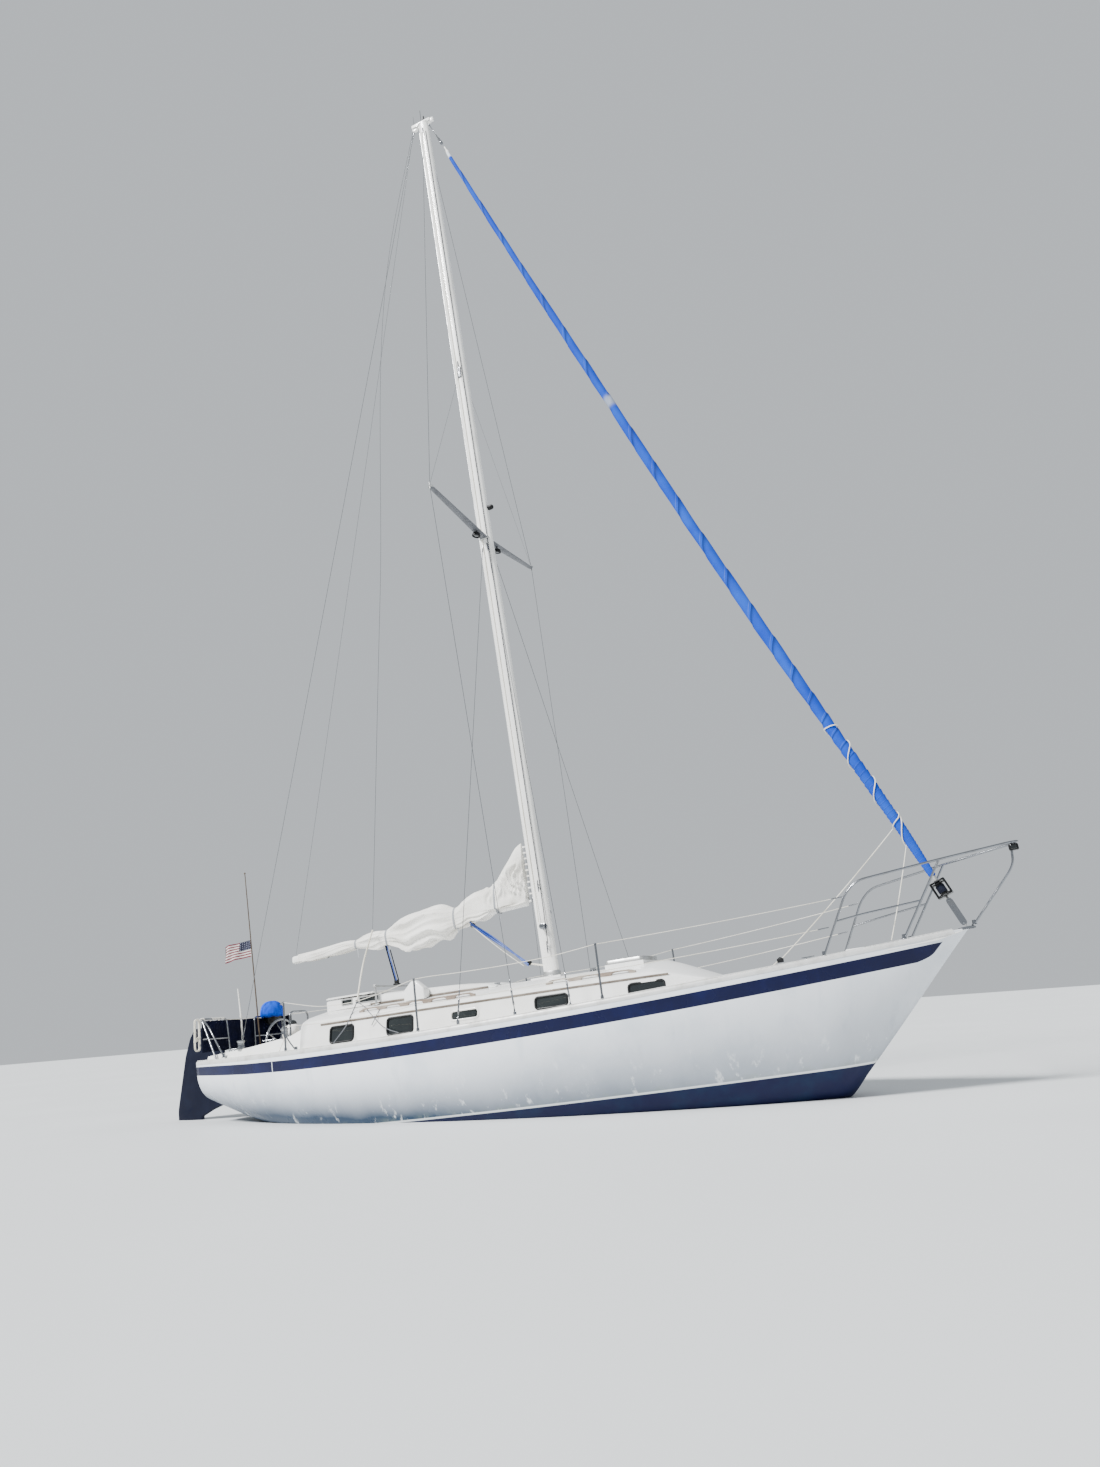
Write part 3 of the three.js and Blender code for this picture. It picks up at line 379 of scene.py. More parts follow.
def weatherGroup():
    # blotches and runs of stain over a clean colour, with the roughness and fine relief that go with them
    tree, given, made = newGroup("weathering", {"Clean": (0.8, 0.8, 0.8, 1), "Stain": (0.3, 0.27, 0.22, 1),
        "Amount": 0.3, "Blotch scale": 2.0, "Run amount": 0.2, "Roughness": 0.4, "Grain scale": 60.0})
    place = objectPlace(tree)
    blotch = ranged(spots(place, given["Blotch scale"], 7.0), 0.42, 0.72)
    runs = ranged(spots(place, 7.0, 3.0, (1, 1, 0.12)), 0.55, 0.8)
    fine = spots(place, given["Grain scale"], 3.0)
    share = times(blotch, given["Amount"])
    share = timesPlus(runs, given["Run amount"], share)
    plug(made, {"Color": blendColours(share, given["Clean"], given["Stain"]),
        "Roughness": timesPlus(minus(blotch, 0.4), 0.16, given["Roughness"]),
        "Height": timesPlus(blotch, 0.35, fine)})
    return tree


def woodGroup():
    # grain drawn out along the boat, silvered by the weather
    tree, given, made = newGroup("weatheredWood", {"Brown": (0.3, 0.18, 0.09, 1), "Silver": (0.4, 0.36, 0.3, 1),
        "Silvering": 0.5})
    place = objectPlace(tree)
    grain = spots(place, 90.0, 5.0, (0.05, 1, 1), 0.65)
    patch = ranged(spots(place, 3.0, 4.0), 0.35, 0.7)
    base = blendColours(times(patch, given["Silvering"]), given["Brown"], given["Silver"])
    dark = blendColours(ranged(grain, 0.45, 0.75, 0.0, 0.55), base, (0.07, 0.04, 0.025, 1))
    plug(made, {"Color": dark, "Roughness": ranged(grain, 0.3, 0.7, 0.6, 0.85), "Height": grain})
    return tree


def weaveGroup():
    # over and under threads on the piece's own lengths, with faded patches and creases
    tree, given, made = newGroup("wovenCloth", {"Dyed": (0.05, 0.1, 0.5, 1), "Faded": (0.2, 0.3, 0.6, 1),
        "Fading": 0.4, "Threads": 400.0, "Crease": 0.5})
    lengths = added(tree, "UVMap", uv_map="lengths")
    place = objectPlace(tree)
    split = added(tree, "SeparateXYZ", {0: lengths.outputs[0]})
    warp, weft = (sine(times(split.outputs[n], given["Threads"])) for n in (0, 1))
    threads = times(warp, weft)
    fade = ranged(spots(place, 2.6, 6.0), 0.38, 0.7)
    creases = spots(place, 9.0, 5.0, (1, 1, 0.6), 0.6)
    dyed = blendColours(times(fade, given["Fading"]), given["Dyed"], given["Faded"])
    shaded = blendColours(ranged(threads, 0.2, 1.0, 0.0, 0.12), dyed, (0.01, 0.01, 0.012, 1))
    height = timesPlus(creases, given["Crease"], times(threads, 0.08))
    plug(made, {"Color": shaded, "Roughness": ranged(fade, 0, 1, 0.78, 0.92), "Height": height})
    return tree


groups = {"weather": weatherGroup(), "wood": woodGroup(), "weave": weaveGroup()}
finishes = {}


def newMaterial(name):
    material = bpy.data.materials.new(name)
    material.use_nodes = True
    material.node_tree.nodes.clear()
    finishes[name] = material
    return material.node_tree


def surfaced(tree, base, rough, height, bump, distance, more):
    # relief, a principled shader and the material's output
    relief = added(tree, "Bump", {"Strength": bump, "Distance": distance, "Height": height})
    shader = added(tree, "BsdfPrincipled", {"Base Color": base, "Roughness": rough, "Normal": relief.outputs[0],
        **more})
    added(tree, "OutputMaterial", {"Surface": shader.outputs[0]})
    return shader


def newFinish(name, group, values, metallic=0.0, bump=0.1, bumpDistance=0.001, coat=0.0, sheen=0.0, gloss=0.5):
    # a principled shader whose colour, roughness and relief come from one of the shared groups
    tree = newMaterial(name)
    effect = added(tree, "Group", values, node_tree=groups[group]).outputs
    shader = surfaced(tree, effect["Color"], effect["Roughness"], effect["Height"], bump, bumpDistance,
        {"Metallic": metallic, "Coat Weight": coat, "Sheen Weight": sheen, "IOR": 1.45,
        "Specular IOR Level": gloss})
    return tree, effect["Color"], shader


def weathered(clean, stain, amount, scale, runs, rough, grain):
    return {"Clean": colour(clean), "Stain": colour(stain), "Amount": amount, "Blotch scale": scale,
        "Run amount": runs, "Roughness": rough, "Grain scale": grain}


def painted(name, clean, stain, amount=0.3, scale=2.0, runs=0.2, rough=0.4, grain=60.0, **more):
    return newFinish(name, "weather", weathered(clean, stain, amount, scale, runs, rough, grain), **more)


def cloth(name, dyed, faded, fading=0.4, threads=900.0, crease=0.5, **more):
    return newFinish(name, "weave", {"Dyed": colour(dyed), "Faded": colour(faded), "Fading": fading,
        "Threads": threads, "Crease": crease}, **more)


painted("deckGelcoat", "f2f2f0", "cfccc2", 0.3, 1.6, 0.22, 0.38, 45, coat=0.25)
painted("cabinLining", "d9d5ca", "a49c8a", 0.2, 2.0, 0.05, 0.6)
painted("nonSkid", "e2e0d6", "b5b0a0", 0.45, 2.2, 0.1, 0.72, 380, bump=0.9, bumpDistance=0.002)
painted("sparPaint", "f3f2ee", "c0beb6", 0.35, 1.1, 0.35, 0.36, 70, coat=0.2)
painted("stainless", "8e9196", "5c5a56", 0.4, 9.0, 0.1, 0.22, 160, metallic=1.0, bump=0.04)
painted("railAlloy", "dcdcda", "98968f", 0.5, 7.0, 0.3, 0.45, 220, metallic=0.25, bump=0.12)
painted("alloy", "bfc0bf", "77746c", 0.5, 7.0, 0.2, 0.42, 220, metallic=0.85, bump=0.12)
painted("wireRope", "84878a", "4a4843", 0.4, 6.0, 0.0, 0.32, 300, metallic=0.9, bump=0.2)
newFinish("teak", "wood", {"Brown": colour("85766a"), "Silver": colour("a59c91"), "Silvering": 0.9}, bump=0.45,
    bumpDistance=0.0015)
newFinish("teakDark", "wood", {"Brown": colour("5f564d"), "Silver": colour("857c72"), "Silvering": 0.9}, bump=0.45,
    bumpDistance=0.0015)
painted("windowGlass", "14191b", "39403f", 0.25, 3.0, 0.1, 0.07, 30, bump=0.015, coat=0.6)
painted("hatchAcrylic", "2a3232", "6a706c", 0.4, 5.0, 0.1, 0.16, 30, bump=0.02, coat=0.5)
painted("antifouling", "070e38", "0e2a48", 0.5, 2.4, 0.35, 0.72, 90, bump=0.35, gloss=0.2)
painted("navyPaint", "080e34", "1a2350", 0.45, 2.2, 0.35, 0.34, 60, gloss=0.25)
painted("bronze", "a07c44", "4a6a58", 0.5, 14.0, 0.0, 0.38, 120, metallic=0.95)
painted("engineEnamel", "5d666b", "37332c", 0.4, 6.0, 0.2, 0.5)
painted("blackPlastic", "0b0c0e", "26272a", 0.4, 12.0, 0.1, 0.4, 200, bump=0.1, gloss=0.3)
painted("frameBlack", "101214", "3a3b3c", 0.35, 9.0, 0.15, 0.38, 160, bump=0.08, gloss=0.3)
cloth("sailCloth", "f0eee8", "cfcbc0", 0.5, 1400.0, 0.9, bump=0.35, bumpDistance=0.006, sheen=0.1)
cloth("blueCover", "0048d0", "1668ea", 0.4, 1100.0, 0.8, bump=0.35, bumpDistance=0.004, gloss=0.25)
cloth("navyCloth", "060a20", "12173a", 0.5, 1000.0, 0.8, bump=0.35, bumpDistance=0.005, gloss=0.15)
cloth("ropeWhite", "e6e2d6", "b5ad98", 0.5, 700.0, 0.4, bump=0.7, bumpDistance=0.002)
cloth("ropeBlue", "1c3f96", "9fb0d6", 0.5, 700.0, 0.4, bump=0.7, bumpDistance=0.002)
cloth("ropeDark", "0f1220", "2c3244", 0.4, 700.0, 0.4, bump=0.7, bumpDistance=0.002, gloss=0.2)
# a grey copy of the white rope: painted shade for the tackle's legs
cloth("shadedWhiteRope", "63656b", "85878c", 0.4, 700.0, 0.4, bump=0.7, bumpDistance=0.002, gloss=0.2)
slotFinish = {"hull_gelcoat": "cabinLining", "deck_gelcoat": "deckGelcoat", "window_glass": "windowGlass",
    "hatch_acrylic": "hatchAcrylic", "teak": "teak", "alloy": "alloy", "antifouling": "antifouling",
    "navy_paint": "navyPaint", "stainless": "stainless", "bronze": "bronze", "engine_enamel": "engineEnamel",
    "spar_paint": "sparPaint", "black_plastic": "blackPlastic", "blue_canvas": "blueCover", "rope": "ropeWhite",
    "sailcloth": "sailCloth", "navy_canvas": "navyCloth"}
finishSlot = {finish: slot for slot, finish in slotFinish.items()} | {"hullGelcoat": "hull_gelcoat",
    "nonSkid": "deck_gelcoat", "railAlloy": "alloy", "frameBlack": "alloy", "teakDark": "teak",
    "wireRope": "stainless", "shadedSpreaderPaint": "spar_paint", "staffWood": "spar_paint", "rudderPaint": "navy_paint",
    "rollCover": "blue_canvas", "flagCloth": "flag_cloth", **dict.fromkeys(("ropeDark", "ropeBlue", "shadedWhiteRope",
    "shadedSailTie"), "rope")}
print("finishes made:", len(finishes))

# rope coil: a light line hitched to the stern rail, wound into an oval hank that hangs from a lashing

hank = {"diameter": 0.0075, "pitch": 0.0079, "middle": -0.715, "outer": 0.0445, "inner": 0.0366, "layers": 4,
    "top": 1.5912, "bottom": 1.264, "first": -4.9722, "bar": (-4.9124, 1.6228), "corner": (-4.907, 1.6155),
    "barRadius": 0.0135, "wraps": (1.362, 1.3735, 1.385), "wrapSlope": 0.5}


def hankPath():
    # eight turns, four side by side and four inside them: down a side, round the bottom, up the other and over the top;
    # a turn moves over by a pitch on its way up
    h = hank
    points = []
    bx, bz = h["bar"]
    y = h["middle"] - h["outer"]
    r = h["barRadius"] + h["diameter"] / 2 + 0.0004
    for a in np.radians(np.linspace(-150, 90, 13)):  # a hitch on the bar, from below and inboard over its top
        points.append((bx + r * math.cos(a), y - 0.004 + 0.004 * (a + 2.6) / 4.2, bz + r * math.sin(a)))
    bend = 0.0175
    points.append((h["first"] + bend + 0.012, y, bz + r))
    for a in np.radians(np.linspace(90, 180, 6)):
        points.append((h["first"] + bend + bend * math.cos(a), y, bz + r - bend + bend * math.sin(a)))
    long = h["top"] - h["bottom"]
    for k in range(2 * h["layers"]):
        inside = k >= h["layers"]
        radius = h["inner"] if inside else h["outer"]
        layer = 2 * h["layers"] - 1 - k if inside else k
        nextLayer = layer if k == h["layers"] - 1 else layer - 1 if inside else layer + 1
        nextRadius = h["inner"] if k >= h["layers"] - 1 else h["outer"]
        x, nextX = h["first"] - layer * h["pitch"], h["first"] - nextLayer * h["pitch"]
        for share in (0.06, 0.28, 0.5, 0.72, 0.94):
            points.append((x, h["middle"] - radius, h["top"] - share * long))
        if k == 2 * h["layers"] - 1:
            break
        for a in np.radians(np.linspace(180, 360, 9)):
            points.append((x, h["middle"] + radius * math.cos(a), h["bottom"] + radius * math.sin(a)))
        for share in (0.1, 0.25, 0.4, 0.55, 0.7, 0.85, 0.96):
            over = min(max((share - 0.1) / 0.45, 0), 1)
            inward = min(max((share - 0.55) / 0.4, 0), 1)
            over, inward = over * over * (3 - 2 * over), inward * inward * (3 - 2 * inward)
            points.append((x + (nextX - x) * over, h["middle"] + radius + (nextRadius - radius) * inward,
                h["bottom"] + share * long))
        for a in np.radians(np.linspace(0, 180, 9)):
            points.append((nextX, h["middle"] + nextRadius * math.cos(a), h["top"] + nextRadius * math.sin(a)))
    points = np.array(points)
    points[:, 1] = 2 * h["middle"] - points[:, 1]
    keep = np.concatenate([[True], np.linalg.norm(np.diff(points, axis=0), axis=1) > 0.002])
    return points[keep]


def makeHank():
    h = hank
    path = hankPath()
    walked = walkedAlong(path)
    fine = cubicThrough(walked, path, np.linspace(0, walked[-1], 620))
    rope = piece("stern_rope", [tube(fine, h["diameter"] / 2, 9)], "ropeWhite", stands="rope_hank")
    end, way = path[-1], path[-1] - path[-2]
    whipping = piece("stern_rope_whipping", [turned([(-0.024, 0.0036), (-0.023, 0.0041), (0.003, 0.0041),
        (0.004, 0.003)], end, way, 14)], "ropeDark")
    bx, bz = h["corner"]
    r = h["barRadius"] + 0.0012
    loop = [(bx, bz + r + 0.0002), (-4.95, bz + 0.0155), (-4.985, 1.6425), (-5.0015, 1.636), (-5.003, 1.628),
        (-4.995, 1.6222), (-4.98, 1.6215), (-4.966, 1.6215), (-4.945, 1.6215), (bx - 0.01, bz - r * 0.78),
        (bx + 0.004, bz - r), (bx + r * 0.92, bz - r * 0.4), (bx + r * 0.9, bz + r * 0.45)]
    loop = np.array([(x, np.interp(x, (-4.955, -4.92), (-0.703, -0.684)), z) for x, z in loop])
    closed = np.concatenate([loop[-2:], loop, loop[:3]])
    walked = walkedAlong(closed)
    ring = cubicThrough(walked, closed, np.linspace(walked[2], walked[-3], 90))
    # three turns of the same line bind the hank lower down, slanting
    a = np.linspace(0, 2 * np.pi, 49)
    oval = ovalProfile(0.0225, h["outer"] + 0.0085, 2.6, 48)
    oval = np.concatenate([oval, oval[:1]])
    wraps = [tube(spread(h["first"] - 1.5 * h["pitch"] + oval[:, 0], h["middle"] + oval[:, 1],
        z + h["wrapSlope"] * oval[:, 1] + 0.002 * np.sin(a)), h["diameter"] / 2, 8) for z in h["wraps"]]
    lashing = piece("stern_rope_lashing", [tube(ring, 0.0019, 8)] + wraps, "ropeWhite")


makeHank()

# each CAD node that stays takes the finish of its slot in the record

stubTop = -0.25  # the moulding has bottom paint below this height


def mouldingFinish():
    # the hull moulding inside: pale lining, and the bottom paint on the keel stub under it
    tree, plain, shader = painted("hullMoulding", "d9d5ca", "a49c8a", 0.2, 2.0, 0.05, 0.6)
    height = worked("SeparateXYZ", {0: objectPlace(tree)}, 2)
    plug(shader, {"Base Color": blendColours(isUnder(height, stubTop), plain, colour("070e38"))})


mouldingFinish()
slotFinish["hull_gelcoat"] = "hullMoulding"
nodeSlot = {part["node"]: part["material_slot"] for part in frame["record"]["subparts"]}
for name, obj in nodes.items():
    obj.data.materials.clear()
    obj.data.materials.append(finishes.get(slotFinish.get(nodeSlot.get(name), "deckGelcoat")))


# hull: the same superellipse sections as the CAD, on a smooth curve through their stations

hull = {
    # x, half beam, sheer, fullness of the section's curve
    "stations": [
        (-5.09, 0.715, 1.079, 2.5), (-4.22, 0.998, 1.05, 2.45), (-3.47, 1.195, 1.034, 2.35),
        (-2.72, 1.346, 1.024, 2.25), (-1.97, 1.451, 1.022, 2.15), (-1.22, 1.509, 1.028, 2.1),
        (-0.47, 1.522, 1.041, 2.05), (0.28, 1.487, 1.062, 2.0), (1.03, 1.399, 1.09, 1.9),
        (1.78, 1.25, 1.125, 1.8), (2.53, 1.04, 1.169, 1.7), (3.28, 0.764, 1.219, 1.6),
        (4.03, 0.423, 1.277, 1.5), (4.5, 0.18, 1.318, 1.4), (4.79, 0.016, 1.343, 1.3),
    ],
    # x and height of the keel line, up the stem
    "keel": [
        (-5.09, 0.546), (-4.22, 0.215), (-3.47, -0.03), (-2.72, -0.225), (-1.97, -0.355), (-1.22, -0.44),
        (-0.47, -0.48), (0.28, -0.49), (1.03, -0.475), (1.78, -0.44), (2.53, -0.37), (3.05, -0.252),
        (3.28, -0.186), (3.5, 0.03), (4.03, 0.558), (4.5, 1.04), (4.79, 1.33),
    ],
    "transom": (-5.07, 0.754, 0.1),  # x on the centreline, half width, how far it bows
    "stem": 4.79, "rows": 170, "columns": 34, "wall": 0.022, "proud": 0.003, "camber": 0.07,
    # x, top under the sheer, depth
    "stripe": [(-5.09, 0.055, 0.106), (-4.5, 0.06, 0.118), (-3.8, 0.074, 0.124), (-3.0, 0.083, 0.127),
               (4.79, 0.083, 0.149)],
    "stripeEnd": {"front": 4.53, "slant": 0.17, "rounding": 0.9, "tick": -3.328},
    # x, height where the painted reflection of the water starts, and where it is full
    "waterReflection": [(-5.09, 0.86, 0.48), (-4.2, 0.8, 0.33), (-3.0, 0.72, 0.2), (-1.0, 0.7, 0.04), (1.5, 1.0, -0.32),
             (4.79, 1.38, -0.9)],
    "waterReflectionAmount": (0.4, 0.98),  # by spots, and everywhere
    "bootTop": (0.104, 0.005),  # height over the drawn waterline, and its rise forward
}
stations = np.array(hull["stations"])
keelLine = np.array(hull["keel"])


def halfBeam(x):
    return cubicThrough(stations[:, 0], stations[:, 1], x)


def sheerZ(x):
    return cubicThrough(stations[:, 0], stations[:, 2], x)


def transomX(y):
    # a circle through the transom's middle and its two corners
    middle, half, bow = hull["transom"]
    radius = (half**2 + bow**2) / (2 * bow)
    return middle + radius - np.sqrt(radius**2 - np.minimum(np.abs(y), radius * 0.9) ** 2)


def hullPoint(x, turn):
    # half beam times the cosine, and depth times the sine, each to the power of 2 over the fullness
    power = 2 / cubicThrough(stations[:, 0], stations[:, 3], x)
    beam, top = halfBeam(x), sheerZ(x)
    bottom = cubicThrough(keelLine[:, 0], keelLine[:, 1], x)
    c, s = np.abs(np.cos(turn)), np.sin(turn)
    return spread(x, np.sign(np.cos(turn)) * beam * c**power, top - (top - bottom) * s**power)


def deckZ(x, y):
    # the sheer plus a camber that falls off with the square of the distance from the centreline
    beam = np.maximum(halfBeam(x), 0.01)
    return sheerZ(x) + hull["camber"] * beam / 1.522 * (1 - np.clip(np.abs(y) / beam, 0, 1) ** 2)


def hullFinish():
    # white gelcoat with the navy stripe, the boot-top and a painted reflection of the water low on the topsides, laid
    # out by the marks on each point of the skin
    tree = newMaterial("hullGelcoat")
    into, depth, waterReflection, forward, height = (carriedMark(tree, label) for label in ("intoStripe", "stripeDepth",
        "waterReflection", "forward", "height"))
    stripe, boot = hull["stripeEnd"], hull["bootTop"]

    def past(value, limit, soft=0.0015):
        node = added(tree, "MapRange")
        return plug(node, {"Value": minus(value, limit), "From Min": -soft, "From Max": soft}).outputs[0]

    across = over(into, depth)
    end = timesPlus(across, -stripe["slant"], stripe["front"])
    corner = larger(minus(across, 0.5), 0.0)
    end = timesPlus(raised(corner, 3.0), -stripe["rounding"], end)
    band = times(past(into, 0.0), minus(1.0, past(into, depth)))
    band = times(band, minus(1.0, past(forward, end, 0.004)))
    tick = isUnder(absolute(minus(forward, stripe["tick"])), 0.006)
    band = times(band, timesPlus(tick, -0.8, 1.0))
    bootEdge = timesPlus(forward, boot[1], boot[0])
    underBoot = minus(1.0, past(height, bootEdge))
    line = times(past(height, bootEdge), minus(1.0, past(height, plus(bootEdge, 0.022))))

    def effect(clean, stain, amount, scale, runs, rough, grain=50.0):
        values = weathered(clean, stain, amount, scale, runs, rough, grain)
        return added(tree, "Group", values, node_tree=groups["weather"]).outputs

    white = effect("e9edf2", "bfc8d2", 0.5, 1.3, 0.3, 0.3)
    navy = effect("040930", "101a50", 0.35, 2.5, 0.3, 0.3)
    bottom = effect("070e38", "0e2a48", 0.5, 3.0, 0.3, 0.55, 90.0)
    # chalking low on the topsides, in drawn-out scuffs that also stand in for painted glints of light reflected off the
    # water
    place = objectPlace(tree)
    scuffsAndGlints = ranged(spots(place, 5.5, 8.0, (1.5, 1, 0.55), 0.7), 0.57, 0.68)
    low = ranged(height, 0.06, 0.68, 1.0, 0.0)
    # painted reflection of the water: a blue-grey shade that deepens towards the waterline, broken up by spots
    reflectionShare = timesPlus(spots(place, 2.2, 5.0, (1, 1, 0.5)), *hull["waterReflectionAmount"])
    reflectionShare = times(reflectionShare, waterReflection)
    skin = blendColours(reflectionShare, white["Color"], colour("2a4058"))
    chalkAndGlints = times(timesPlus(low, 0.8, 0.2), times(scuffsAndGlints, 0.7))
    skin = blendColours(chalkAndGlints, skin, colour("f6f8f8"))
    # a line of slime just over the boot-top, broken up
    slime = times(ranged(minus(height, bootEdge), 0.0, 0.1, 0.4, 0.0), ranged(spots(place, 9.0, 5.0), 0.4, 0.65))
    skin = blendColours(slime, skin, colour("8e9a8c"))
    skin = blendColours(times(line, 0.8), skin, colour("f4f6f6"))
    skin = blendColours(band, skin, navy["Color"])
    skin = blendColours(underBoot, skin, bottom["Color"])
    rough = timesPlus(underBoot, 0.25, white["Roughness"])
    surfaced(tree, skin, rough, white["Height"], 0.06, 0.001, {"Specular IOR Level": 0.22})


hullFinish()


def makeHull():
    # sections run from the starboard sheer, under the keel, to the port sheer; the transom joins the two sides
    turns = (1 - np.cos(np.linspace(0, np.pi, hull["columns"] * 2 + 1))) / 2 * np.pi
    turns = 0.55 * turns + 0.45 * np.linspace(0, np.pi, len(turns))
    share = np.linspace(0, 1, hull["rows"])
    share = share + 0.12 * np.sin(2 * np.pi * share) / (2 * np.pi)
    aftY = hullPoint(np.full(len(turns), -5.02), turns)[:, 1]
    aft = transomX(aftY)
    aftY = hullPoint(aft, turns)[:, 1]
    aft = transomX(aftY)
    x = aft[None] + (hull["stem"] - aft[None]) * share[:, None]
    side = hullPoint(x, np.broadcast_to(turns, x.shape))
    side[..., 1] *= -1
    nose = side[-1:].copy()
    nose[..., 0] += 0.01
    nose[..., 1] = 0
    side = np.concatenate([side, nose])
    rim = side[0]
    half = hull["columns"]
    across = np.linspace(-1, 1, 25)
    width = np.abs(rim[: half + 1, 1])
    y = width[:, None] * across[None]
    stern = spread(transomX(y), y, rim[: half + 1, 2:])
    shells = [grid(side, around=False), grid(stern, around=False)]
    points = np.concatenate([shell["points"] for shell in shells])
    x, z = points[:, 0], points[:, 2]
    stripe, waterReflection = np.array(hull["stripe"]), np.array(hull["waterReflection"])
    start, full = np.interp(x, waterReflection[:, 0], waterReflection[:, 1]), np.interp(x, waterReflection[:, 0], waterReflection[:, 2])
    marks = {"intoStripe": sheerZ(x) - z - np.interp(x, stripe[:, 0], stripe[:, 1]), "forward": x, "height": z,
        "stripeDepth": np.interp(x, stripe[:, 0], stripe[:, 2]),
        "waterReflection": np.clip((start - z) / (start - full), 0, 1) ** 1.5}
    skin = piece("hull_skin", shells, "hullGelcoat", sharp=40, marks=marks)
    wall = skin.modifiers.new("wall", "SOLIDIFY")
    wall.thickness, wall.offset = hull["wall"], 2 * hull["proud"] / hull["wall"] - 1
    wall.use_rim = wall.use_even_offset = True


makeHull()
print("hull made")

# deck: three smooth skins over the moulding, with raised non-skid panels

deck = {"wall": 0.007, "lift": 0.004, "panel": 0.0035}
trunkFoot = [(-3.04, 1.065), (-2.64, 1.06), (-1.0, 1.01), (0.5, 0.93), (1.5, 0.8), (1.67, 0.76), (2.14, 0.61)]
coamingFoot = [(-4.78, 0.78), (-4.0, 0.86), (-3.3, 0.93), (-3.055, 0.985)]


def innerEdge(x):
    # half width of what stands on the deck: the coaming aft, then the cabin trunk
    table = np.array(coamingFoot + trunkFoot)
    return np.interp(x, table[:, 0], table[:, 1])


def deckPatch(x0, x1, inner, outer, rows, columns, lift):
    # for each x, evenly spaced points from the inner line to the outer one, on the cambered deck
    shells = []
    for side in (1, -1):
        share = np.linspace(0, 1, columns)[None]
        x = np.linspace(x0, x1, rows)[:, None] + 0 * share
        y = inner(x) + (outer(x) - inner(x)) * share
        x = np.maximum(x, transomX(y) + 0.001)
        top = spread(x, side * y, deckZ(x, y) + lift)
        under = top.copy()
        under[..., 2] -= deck["wall"]
        ring = np.concatenate([top, under[:, ::-1]], 1)
        shells.append(grid(ring))
    return shells


def makeDeck():
    edge = lambda x: halfBeam(x) + 0.002
    middle = lambda x: 0 * x
    shells = deckPatch(2.02, 4.785, middle, edge, 60, 14, deck["lift"])
    shells += deckPatch(-4.74, 2.12, lambda x: innerEdge(x) - 0.05, edge, 120, 8, deck["lift"])
    shells += deckPatch(-5.07, -4.705, middle, edge, 12, 12, deck["lift"])
    piece("deck_skin", shells, "deckGelcoat", sharp=30)
    panels = []
    for x0, x1 in ((-4.35, -3.2), (-3.0, -1.25), (-1.13, 0.65), (0.77, 1.98)):
        panels += deckPatch(x0, x1, lambda x: innerEdge(x) + 0.045, lambda x: halfBeam(x) - 0.11, 40, 8,
            deck["lift"] + deck["panel"])
    panels += deckPatch(2.3, 4.02, lambda x: 0 * x + 0.05, lambda x: halfBeam(x) - 0.13, 40, 10,
        deck["lift"] + deck["panel"])
    piece("deck_nonskid", panels, "nonSkid", sharp=30)


makeDeck()
print("deck made")

# toe rails: a slotted alloy web on a flange, bolted along the sheer

toeRail = {"pitch": 0.05, "slot": (0.014, 0.0048), "web": (0.006, 0.026), "thick": 0.005, "inset": 0.009,
    "from": -4.955, "to": 4.655}


def slottedWeb(side):
    # one cell is a plate with a round-ended slot; cells are repeated along the sheer, which bends them
    count = int((toeRail["to"] - toeRail["from"]) / toeRail["pitch"])
    halfLong, radius = toeRail["slot"]
    low, high = toeRail["web"]
    w, h, middle = toeRail["pitch"] / 2, (high - low) / 2, (high + low) / 2
    turn = np.linspace(-np.pi / 2, np.pi / 2, 8)
    right = spread(halfLong - radius + radius * np.cos(turn), radius * np.sin(turn))
    rim = np.array([(halfLong - radius, -h), (w, -h), (w, -h * 0.6), (w, -h * 0.2), (w, h * 0.2), (w, h * 0.6),
        (w, h), (halfLong - radius, h)])
    slot, outer = np.concatenate([right, -right]), np.concatenate([rim, -rim])
    ring = np.concatenate([outer, slot])  # 16 points round the plate, then 16 round the slot
    j = np.arange(16)
    k = (j + 1) % 16
    face = spread(j, k, 16 + k, 16 + j)
    wall = spread(16 + j, 16 + k, 48 + k, 48 + j)
    edges = [a for a in range(16) if a in (0, 6, 7, 8, 14, 15)]
    rims = np.array([(a, (a + 1) % 16, 32 + (a + 1) % 16, 32 + a) for a in edges])
    quads = np.concatenate([face, face[:, ::-1] + 32, wall, rims])
    x0 = toeRail["from"] + toeRail["pitch"] * (np.arange(count) + 0.5)
    u = x0[:, None] + ring[None, :, 0]
    z = sheerZ(u) + middle + ring[None, :, 1]
    y = halfBeam(u) - toeRail["inset"]
    layers = [spread(u, side * (y - depth), z) for depth in (0, toeRail["thick"])]
    points = np.concatenate(layers, 1).reshape(-1, 3)
    all4 = (quads[None] + 64 * np.arange(count)[:, None, None]).reshape(-1, 4)
    return {"points": points, "quads": all4, "quadMap": points[all4][..., [0, 2]], "tris": np.zeros((0, 3), int),
        "triMap": np.zeros((0, 3, 2))}


